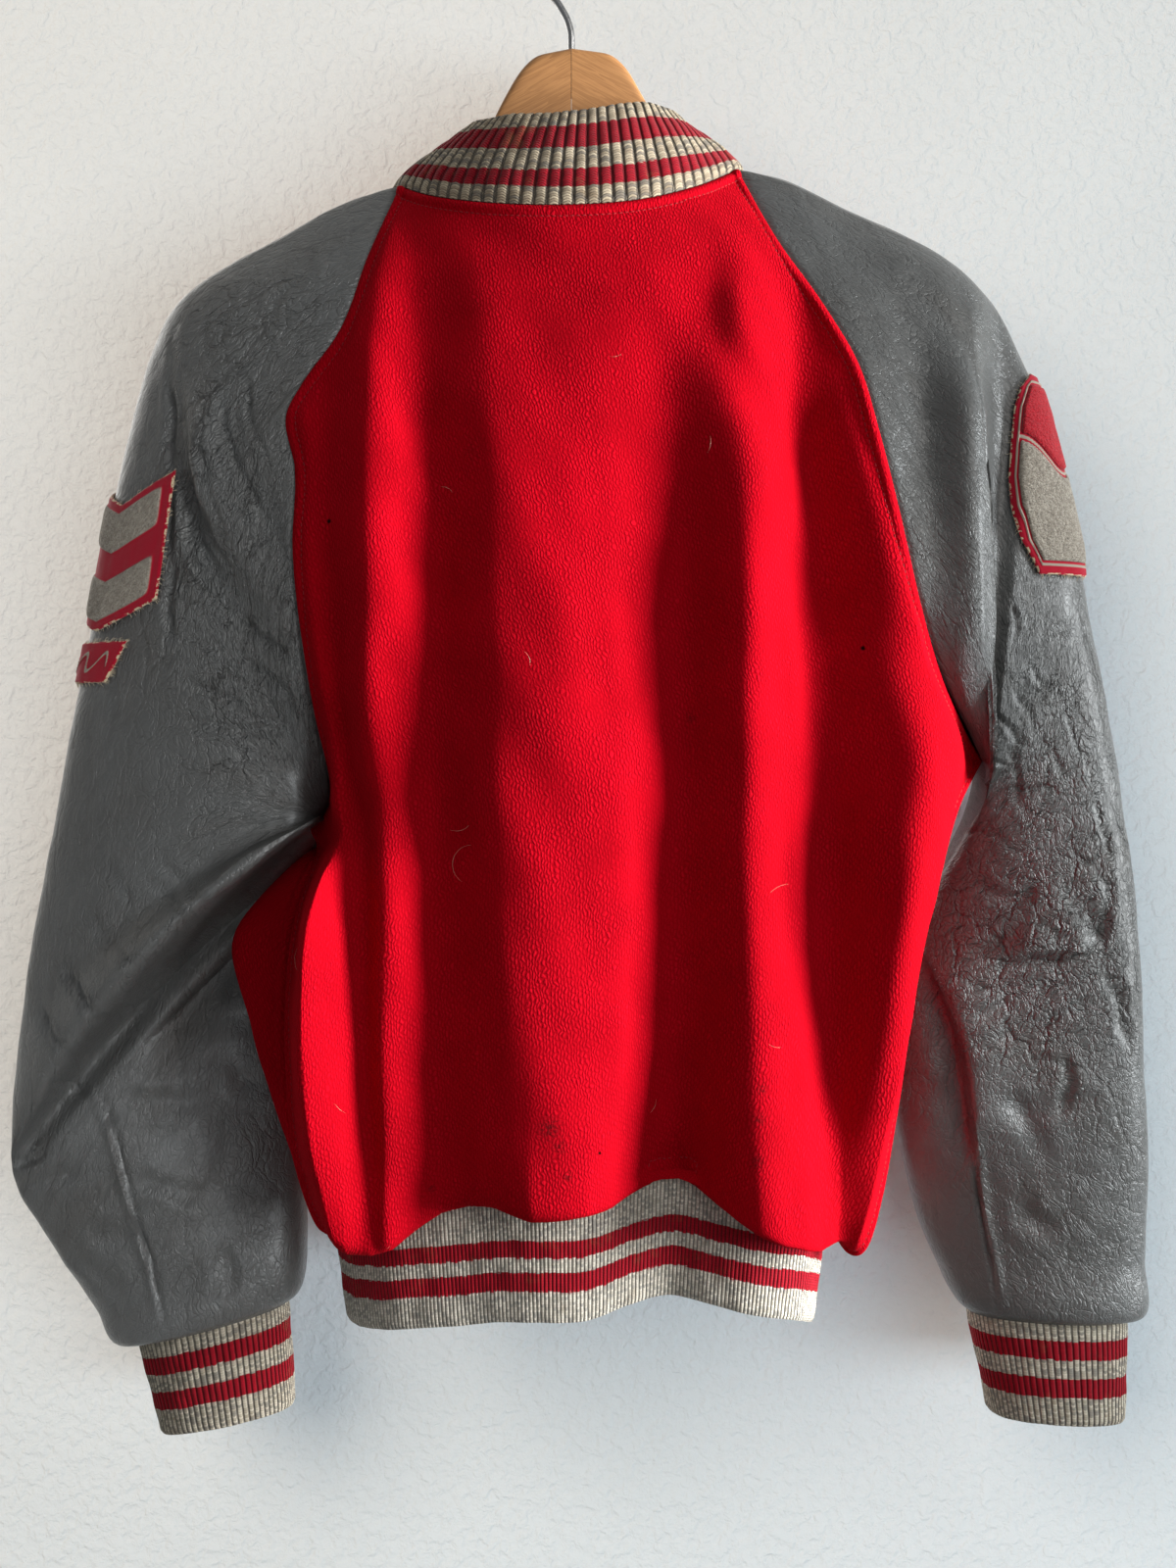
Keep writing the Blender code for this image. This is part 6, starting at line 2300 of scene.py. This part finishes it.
@dataclass
class Patch:
    """A felt patch with chenille and cord, wrapped on a sleeve."""

    palette: Palette
    name: str
    side: Side
    angles: Array
    heights: Array
    pile: Array
    cord: Array
    red: Array
    felt: float = 1.6
    chenille: float = 1.6
    gap: float = 1.4
    cord_rise: float = 0.8
    edge: float = 0.55  # the felt's thickness at its cut edge, as a share
    edge_reach: float = 1.2
    fray_reach: float = 1.6
    most_threads: int = 150
    thread: tuple[float, ...] = (0.13, 0.12, 0.1, 0.08, 0.04)  # radii from root to end

    def build(self) -> None:
        """Builds the patch and its frayed edge."""
        wrap = WRAPS[self.side]
        spots, normals = wrap.locate(self.angles, self.heights)
        uv = metric_uv(spots)
        rows, columns = self.angles.shape
        a = np.minimum(np.arange(rows), np.arange(rows)[::-1])[:, None]
        b = np.minimum(np.arange(columns), np.arange(columns)[::-1])[None]
        tall = np.linalg.norm(np.diff(spots, axis=0), axis=-1).mean()
        wide = np.linalg.norm(np.diff(spots, axis=1), axis=-1).mean()
        border_gap = np.minimum(a * tall, b * wide)
        fray = 1 - ease(border_gap / self.fray_reach)
        whole = self.edge + (1 - self.edge) * ease(border_gap / self.edge_reach)
        rise = self.felt * whole + self.chenille * self.pile
        rise = rise + self.cord_rise * self.cord + 0.12 * ripple(spots, 9, 51)
        top = spots + normals * (self.gap + rise)[..., None]
        sign = self.side.value
        marks = {"pile": self.pile, "cord": self.cord, "red": self.red, "fray": fray}
        under = spots + normals * self.gap
        shell = Shell(self.name + "_felt", top, normals, 0.0, sign, (1, 1), uv, marks, under)
        made = hang_piece(shell.build(self.palette.patch), self.name, True)
        threads = self.fringe(top, normals)

    def fringe(self, top: Array, normals: Array) -> Object:
        """Loose cream threads along the patch's cut edge.

        Args:
            top: the patch's outer points.
            normals: its normals.

        Returns:
            The threads.
        """
        rng = np.random.default_rng(len(self.name))
        ring, out = (
            np.concatenate([a[0], a[1:, -1], a[-1, ::-1][1:], a[::-1, 0][1:-1]]) for a in (top, normals)
        )
        centre = top.mean((0, 1))
        pick = rng.choice(len(ring), size=min(len(ring), self.most_threads), replace=False)
        root, up = ring[pick] - out[pick] * 0.6, out[pick]
        away = root - centre
        away = unit(away - up * (away * up).sum(-1, keepdims=True))
        side = np.cross(up, away)
        lean = rng.uniform(-1.2, 1.2, (len(pick), 1))
        long = rng.uniform(0.6, 2.6, (len(pick), 1, 1))
        t = np.linspace(0, 1, 5)[None, :, None]
        way = (away + side * lean)[:, None]
        curl = side[:, None] * np.sin(t * 3 + lean[:, None]) * 0.5 - up[:, None] * t * 0.5
        paths = root[:, None] + (way * t + curl * t) * long
        radii = np.broadcast_to(np.array(self.thread), paths.shape[:2])
        points, faces = tubes(paths, radii, 4, up)
        return hang_piece(add_mesh(self.name + "_fray", points, faces, self.palette.fibre), self.name)


def bar(place: Array, centre: float, half: float) -> Array:
    """Rounded profile of a raised bar: (1 - ((p - c) / h)^4)^(1/2)."""
    return np.sqrt(np.clip(1 - ((place - centre) / half) ** 4, 0, 1))


@dataclass
class Patches:
    """The generic patches of the two sleeves."""

    palette: Palette
    chevron_drop: float = 16.0
    block_lean: float = 16.0

    def block(
        self, top: float, bottom: float, first: float, last: float, drop: float, size: tuple[int, int]
    ) -> tuple[Array, Array, Array, Array]:
        """A leaning block whose rows dip in the middle.

        Args:
            top: height of its upper edge.
            bottom: height of its lower edge.
            first: angle of its outer edge.
            last: angle of its inner edge.
            drop: how far the rows dip.
            size: rows and columns of its grid.

        Returns:
            Angles, heights, and places across (-1 to 1) and down (0 to 1).
        """
        across, down = np.meshgrid(np.linspace(-1, 1, size[1]), np.linspace(0, 1, size[0]))
        angles = first + (last - first) * (across + 1) / 2 - self.block_lean * down
        heights = top + (bottom - top) * down - drop * (1 - np.abs(across))
        return angles, heights, across, down

    def big(self) -> None:
        """The left sleeve's block: two chenille chevrons on red felt."""
        angles, heights, across, down = self.block(-302, -370, -14, 96, self.chevron_drop, (97, 121))
        pile = np.maximum(bar(down, 0.23, 0.16), bar(down, 0.77, 0.16)) * bar(across, 0, 0.86)
        none = np.zeros_like(pile)
        Patch(self.palette, "left_sleeve_patch", Side.LEFT, angles, heights, pile, none, none).build()

    def small(self) -> None:
        """The left sleeve's small block: a wavy cord on red felt."""
        angles, heights, across, down = self.block(-392, -414, 8, 52, 0.0, (49, 49))
        wave = 0.5 + 0.22 * np.sin(across * 9)
        cord = bell((down - wave) / 0.05) * ease((0.8 - np.abs(across)) / 0.08)
        none = np.zeros_like(cord)
        name = "left_sleeve_small_patch"
        Patch(self.palette, name, Side.LEFT, angles, heights, none, cord, none).build()

    def lozenge(self) -> None:
        """The right sleeve's lozenge: red and grey chenille inside a cord outline."""
        table = np.array((
            (-246, 66, 92), (-254, 58, 101), (-266, 50, 106), (-286, 40, 108), (-304, 34, 109),
            (-320, 28, 107), (-338, 30, 101), (-356, 40, 88),
        ), float)
        rise = -table[:, 0]
        level = np.linspace(rise[0], rise[-1], 111)
        first, last = (np.interp(level, rise, table[:, k])[:, None] for k in (1, 2))
        across = np.linspace(0, 1, 81)[None]
        angles = first + (last - first) * across
        heights = np.broadcast_to(-level[:, None], angles.shape)
        radius = 60.0
        sides = np.minimum(across, 1 - across) * np.radians(last - first) * radius
        ends = np.minimum(level - rise[0], rise[-1] - level)[:, None]
        inset = np.minimum(sides, ends)
        cord = bell((inset - 5.0) / 0.8)
        line = 291 + 9 * np.sin(across * 5)
        split = np.abs(level[:, None] - line)
        cord = np.maximum(cord, bell(split / 0.9) * ease((inset - 4) / 2))
        pile = ease((inset - 6.5) / 1.8) * ease((split - 1.8) / 1.5)
        red = (level[:, None] < line) + 0 * pile
        name = "right_sleeve_patch"
        Patch(self.palette, name, Side.RIGHT, angles, heights, pile, cord, red).build()

    def build(self) -> None:
        """Builds the three patches."""
        self.big()
        self.small()
        self.lozenge()


# --- hard pieces


@dataclass
class Hanger:
    """The wooden hanger: two halves mitred at the middle, each lofted along its arm."""

    palette: Palette
    # distance from the middle, top z, bottom z, half thickness
    left: Rows = (
        (0, -62, -101, 6.5), (20, -66, -104, 6.5), (29, -75, -110, 6.5), (40, -95, -122, 6.5),
        (51, -119, -138, 6.5), (70, -132, -150, 6.5), (100, -148, -167, 6.5),
        (154, -174, -192, 6.5), (195, -197, -212, 6.0), (208, -207, -218, 5.0),
    )
    right: Rows = (
        (0, -62, -101, 6.5), (22, -65, -103, 6.5), (31, -73, -108, 6.5), (40, -90, -118, 6.5),
        (54, -112, -132, 6.5), (70, -124, -143, 6.5), (100, -141, -160, 6.5),
        (145, -158, -176, 6.5), (189, -178, -194, 6.0), (208, -190, -201, 5.0),
    )
    around: int = 40
    along_count: int = 90
    mitre: float = 0.15
    soft: float = 5.0
    body: float = 206.0  # where the rounded tip starts
    tip: tuple[float, float] = (207.4, 208.0)
    tip_size: tuple[float, float] = (0.93, 0.75)

    def half(self, side: Side, table: Rows) -> None:
        """One half: superellipse sections |y/a|^n + |z/b|^n = 1 along the arm.

        Args:
            side: which half.
            table: its sections.
        """
        rows = np.asarray(table, float)
        reach = np.concatenate([spread(self.along_count, 0.0) * self.body, self.tip])
        section = np.stack([np.interp(reach, rows[:, 0], rows[:, k]) for k in (1, 2, 3)], -1)
        kernel = np.array((1, 2, 3, 2, 1)) / 9
        padded = np.pad(section, ((2, 2), (0, 0)), mode="edge")
        section = sum(padded[k : k + len(section)] * kernel[k] for k in range(5))
        section[0] = [np.interp(0, rows[:, 0], rows[:, k]) for k in (1, 2, 3)]
        shrink = np.ones(len(reach))
        shrink[-2:] = self.tip_size
        angle = 2 * math.pi * np.arange(self.around) / self.around
        cos, sin = np.cos(angle), np.sin(angle)
        power = 2 / self.soft
        ring_y = np.sign(cos) * np.abs(cos) ** power
        ring_z = np.sign(sin) * np.abs(sin) ** power
        top, bottom, thick = section.T
        x = side.value * np.maximum(reach, self.mitre)
        y = ring_y[None] * (thick * shrink)[:, None]
        z = ((top + bottom) / 2)[:, None] + ring_z[None] * ((top - bottom) / 2 * shrink)[:, None]
        points = np.stack([x[:, None] + 0 * y, y, z], -1)
        faces = loft_faces(len(points), self.around)
        if side is Side.RIGHT:
            faces = [face[::-1] for face in faces]
        name = "hanger_" + side.word
        wood = self.palette.wood[side]
        made = add_mesh(name + "_wood", points.reshape(-1, 3), faces, wood, sharp=35.0)
        hang_piece(made, name, True)

    def build(self) -> None:
        """Builds both halves."""
        self.half(Side.LEFT, self.left)
        self.half(Side.RIGHT, self.right)


@dataclass
class Hook:
    """The wire hook: a stem, a swan neck and an arc over the crown."""

    palette: Palette
    radius: float = 18.0
    wire: float = 2.0
    neck: Rows = ((0, -88), (0, -60), (-0.3, -52), (-2.2, -45), (-6.2, -37.5))  # x, z
    arc: tuple[float, float] = (204.0, -52.0)
    tip: tuple[float, ...] = (1.9, 1.6, 1.1)  # radii of its last points

    def build(self) -> None:
        """Sweeps the wire along its path."""
        centre = -self.radius + self.wire
        angle = np.radians(np.linspace(*self.arc, 70))
        ring = np.stack([np.cos(angle), 0 * angle, np.sin(angle)], -1) * self.radius
        ring[:, 2] += centre
        path = np.concatenate([np.insert(np.array(self.neck, float), 1, 0, axis=1), ring])
        path = along(path, np.linspace(0, 1, 150))[None]
        radii = np.full(path.shape[:2], self.wire)
        radii[0, -3:] = self.tip
        points, faces = tubes(path, radii, 20, np.array((0.0, 1.0, 0.0)))
        hang_piece(add_mesh("hook_wire", points, faces, self.palette.steel), "hook", True)


@dataclass
class Snaps:
    """Domed snap caps down the lapped front, and one on the waistband."""

    palette: Palette
    radius: float = 7.0
    rise: float = 2.6
    gap: float = 0.35
    around: int = 40
    heights: tuple[float, ...] = (0.1, 0.3, 0.5, 0.7, 0.9)  # shares of the centre line

    def cap(self, number: int, z: float, y: float) -> None:
        """One cap: a rolled rim round a low dome, turned about its axis.

        Args:
            number: its number from the bottom.
            z: its height.
            y: how far forward it stands.
        """
        profile = np.array((
            (0.96, 0.0), (1.0, 0.2), (0.99, 0.45), (0.93, 0.62), (0.85, 0.6), (0.78, 0.52),
            (0.7, 0.62), (0.55, 0.8), (0.38, 0.93), (0.2, 0.99), (0.05, 1.0),
        ))
        profile = along(np.insert(profile, 1, 0, axis=1), np.linspace(0, 1, 22))[:, [0, 2]]
        angle = np.linspace(0, 2 * math.pi, self.around, endpoint=False)
        x = profile[:, :1] * self.radius * np.cos(angle)
        up = profile[:, :1] * self.radius * np.sin(angle)
        out = np.broadcast_to(profile[:, 1:] * self.rise, x.shape)
        points = np.stack([x, y + out, z + up], -1).reshape(-1, 3)
        faces = loft_faces(len(profile), self.around)
        name = f"snap_{number}"
        hang_piece(add_mesh(name + "_cap", points, faces, self.palette.steel), name, True)

    def build(self) -> None:
        """Places the caps on the left front and the waistband."""
        u = np.linspace(0.86, 2, 40)[None]
        v = np.linspace(0.005, 0.995, 400)[:, None]
        front = CUT.front(Side.LEFT, u, v).reshape(-1, 3)
        heights = CUT.centre_hem + (CUT.centre_neck - CUT.centre_hem) * np.array(self.heights)
        band = Waistband(self.palette)
        s, t = np.linspace(0, 1, 600)[None], np.linspace(0.2, 0.8, 20)[:, None]
        knit = band.lines(s, t).reshape(-1, 3) + np.array((0, 0.8, 0))
        places = [(CUT.centre_hem - band.height / 2, knit)] + [(z, front) for z in heights]
        for number, (z, cloth) in enumerate(places, 1):
            near = np.hypot(cloth[:, 0], cloth[:, 2] - z) < self.radius
            near &= cloth[:, 1] > 0
            self.cap(number, z, cloth[near, 1].max() + self.gap)


@dataclass
class Lint:
    """Loose hairs caught on the wool of the back."""

    palette: Palette
    # x, z, length, angle in degrees, curl
    hairs: Rows = (
        (-48, -500, 26, 250, 2.6), (-62, -492, 14, 20, 1.5), (-140, -552, 10, 300, 0.6),
        (-118, -628, 8, 310, 0.4), (-96, -706, 12, 40, 0.8), (70, -300, 9, 80, 0.8),
        (-60, -320, 7, 150, 1.0), (112, -520, 11, 200, 0.7), (40, -640, 9, 60, 1.2),
        (-20, -410, 8, 110, 1.1), (20, -250, 6, 10, 1.0), (100, -600, 7, 340, 0.6),
    )

    count: int = 16  # points along each hair
    radius: float = 0.055
    lift: float = 0.9
    arch: float = 0.5

    def build(self) -> None:
        """Builds the hairs on the back's surface."""
        x, z, length, turn, curl = np.array(self.hairs, float).T[..., None]
        t = np.linspace(0, 1, self.count)[None]
        angle = np.radians(turn) + curl * (t - 0.5)
        step = length / (self.count - 1)
        x = x + np.cumsum(np.cos(angle) * step, 1)
        z = z + np.cumsum(np.sin(angle) * step, 1)
        u, v = np.meshgrid(np.linspace(0, 1, 160), np.linspace(0, 1, 240))
        cloth = CUT.back(u, v).reshape(-1, 3)
        far = (cloth[:, 0] - x.reshape(-1, 1)) ** 2 + (cloth[:, 2] - z.reshape(-1, 1)) ** 2
        y = cloth[far.argmin(1), 1].reshape(x.shape)
        y = y - self.lift - self.arch * np.sin(t * math.pi)
        kernel = np.ones(5) / 5
        smooth = np.stack([np.convolve(np.pad(row, 2, mode="edge"), kernel, "valid") for row in y])
        paths = np.stack([x, smooth, z], -1)
        radii = np.broadcast_to(self.radius * (1 - 0.6 * np.abs(2 * t - 1)), x.shape)
        points, faces = tubes(paths, radii, 4, np.array((0.0, 1.0, 0.0)))
        hang_piece(add_mesh("back_lint", points, faces, self.palette.fibre), "back")


# --- stage


@dataclass(frozen=True)
class Lamp:
    """A rectangular area light: its place and aim in metres, size, watts and colour."""

    name: str
    at: tuple[float, ...]
    aim: tuple[float, ...]
    size: tuple[float, float]
    power: float
    colour: Colour
    lights: str  # the group of pieces that it lights


MIDDLE = (0, -0.03, -0.45)
WINDOW = (2.0, -0.55, -0.3)
FOREARM = (-0.22, -0.03, -0.52)
LAMPS = (
    Lamp("window_cloth", WINDOW, MIDDLE, (0.6, 1.2), 160, (1.0, 0.99, 0.97), "cloth"),
    Lamp("window_hide", WINDOW, MIDDLE, (0.5, 1.2), 47, (0.93, 0.98, 1.0), "hide"),
    Lamp("window_left", (1.1, -1.5, -0.6), FOREARM, (0.3, 0.5), 14, (0.93, 0.98, 1.0), "left"),
    Lamp("fill_left", (-0.3, -1.4, -0.95), (-0.24, 0, -0.68), (0.3, 0.2), 1.7,
         (0.93, 0.97, 1.0), "left"),
    Lamp("room", (1.1, -1.6, 0.3), MIDDLE, (1.3, 1.3), 13, (1.0, 0.97, 0.93), "jacket"),
    Lamp("wall_wash", (1.0, -1.8, -0.8), (0.35, 0.1, -1.15), (1.8, 0.5), 26, (0.73, 0.89, 1.0), "wall"),
    Lamp("wall_warm", (-1.2, -2.2, 0.5), (-0.3, 0.1, -0.3), (1.8, 1.8), 52, (1.0, 0.87, 0.735), "wall"),
    Lamp("rear_key", (-1.2, 1.3, 0.3), MIDDLE, (1.0, 1.0), 30, (1.0, 0.98, 0.95), "jacket"),
    Lamp("rear_fill", (1.4, 1.5, -0.2), MIDDLE, (1.5, 1.5), 14, (0.95, 0.97, 1.0), "jacket"),
)


@dataclass
class Studio:
    """Pale wall and floor, window light from the right, and the camera."""

    eye: tuple[float, float, float] = (0.0092, -0.95, -0.469)
    focal_pixels: float = 1746.0
    frame_height: float = 1600.0
    wall_y: float = 0.122
    floor_z: float = -1.06

    def plane(self, name: str, corners: Rows, material: Material) -> Object:
        """A flat stage piece.

        Args:
            name: its name.
            corners: its corners in metres.
            material: its material.

        Returns:
            The object.
        """
        made = add_mesh(name, np.asarray(corners, float) / MM, [[0, 1, 2, 3]], material)
        return made

    def light(self, lamp: Lamp, only: list[Object]) -> None:
        """Adds a light.

        Args:
            lamp: the light.
            only: the objects that it lights.
        """
        data = bpy.data.lights.new(lamp.name, "AREA")
        data.shape = "RECTANGLE"
        data.size, data.size_y = lamp.size
        data.energy, data.color = lamp.power, lamp.colour
        made = bpy.data.objects.new(lamp.name, data)
        made.location = lamp.at
        direction = Vector(lamp.aim) - Vector(lamp.at)
        made.rotation_mode = "QUATERNION"
        made.rotation_quaternion = direction.to_track_quat("-Z", "Y")
        bpy.context.scene.collection.objects.link(made)
        lit = bpy.data.collections.new("lit_by_" + lamp.name)
        for piece in only:
            lit.objects.link(piece)
        made.light_linking.receiver_collection = lit

    def build(self) -> None:
        """Builds the stage, the lights and the camera."""
        jacket = [piece for piece in bpy.context.scene.objects if piece.type == "MESH"]
        wall = PlasterFinish("wall_plaster", open_behind=True).material()
        floor = PlasterFinish("floor_plain", (0.8, 0.8, 0.79), 0.0004).material()
        y, z, far = self.wall_y, self.floor_z, 4.0
        back = self.plane("wall", ((-far, y, z), (far, y, z), (far, y, 3), (-far, y, 3)), wall)
        back.visible_shadow = False
        self.plane("floor", ((-far, -far, z), (far, -far, z), (far, far, z), (-far, far, z)), floor)
        shaded = ("leather", "patch", "right_cuff")
        hide = [piece for piece in jacket if any(word in piece.name for word in shaded)]
        cloth = [piece for piece in jacket if piece not in hide]
        left = [piece for piece in hide if "left" in piece.name]
        lit = {"cloth": cloth, "hide": hide, "left": left, "jacket": jacket, "wall": [back]}
        for lamp in LAMPS:
            self.light(lamp, lit[lamp.lights])
        world = bpy.data.worlds.new("room_light")
        world.use_nodes = True
        sky = world.node_tree.nodes["Background"]
        sky.inputs[0].default_value = (0.93, 0.96, 1.0, 1.0)
        sky.inputs[1].default_value = 0.2
        bpy.context.scene.world = world
        data = bpy.data.cameras.new("camera")
        data.sensor_width = 36.0
        data.lens = data.sensor_width * self.focal_pixels / self.frame_height
        camera = bpy.data.objects.new("camera", data)
        camera.location = self.eye
        camera.rotation_euler = (math.pi / 2, 0, 0)
        bpy.context.scene.collection.objects.link(camera)
        bpy.context.scene.camera = camera
        bpy.context.scene.view_settings.view_transform = "Standard"
        bpy.context.scene.view_settings.look = "None"


def main() -> None:
    """Builds the jacket, piece by piece, and the stage."""
    logging.basicConfig(level=logging.INFO, format="%(name)s %(message)s")
    palette = Palette()
    BackPanel(palette).build()
    for side in Side:
        FrontPanel(palette, side).build()
        Sleeve(palette, side).build()
        Cuff(palette, side).build()
    Collar(palette).build()
    Waistband(palette).build()
    Patches(palette).build()
    Snaps(palette).build()
    Hanger(palette).build()
    Hook(palette).build()
    Lint(palette).build()
    Studio().build()


if __name__ == "__main__":
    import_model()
    main()
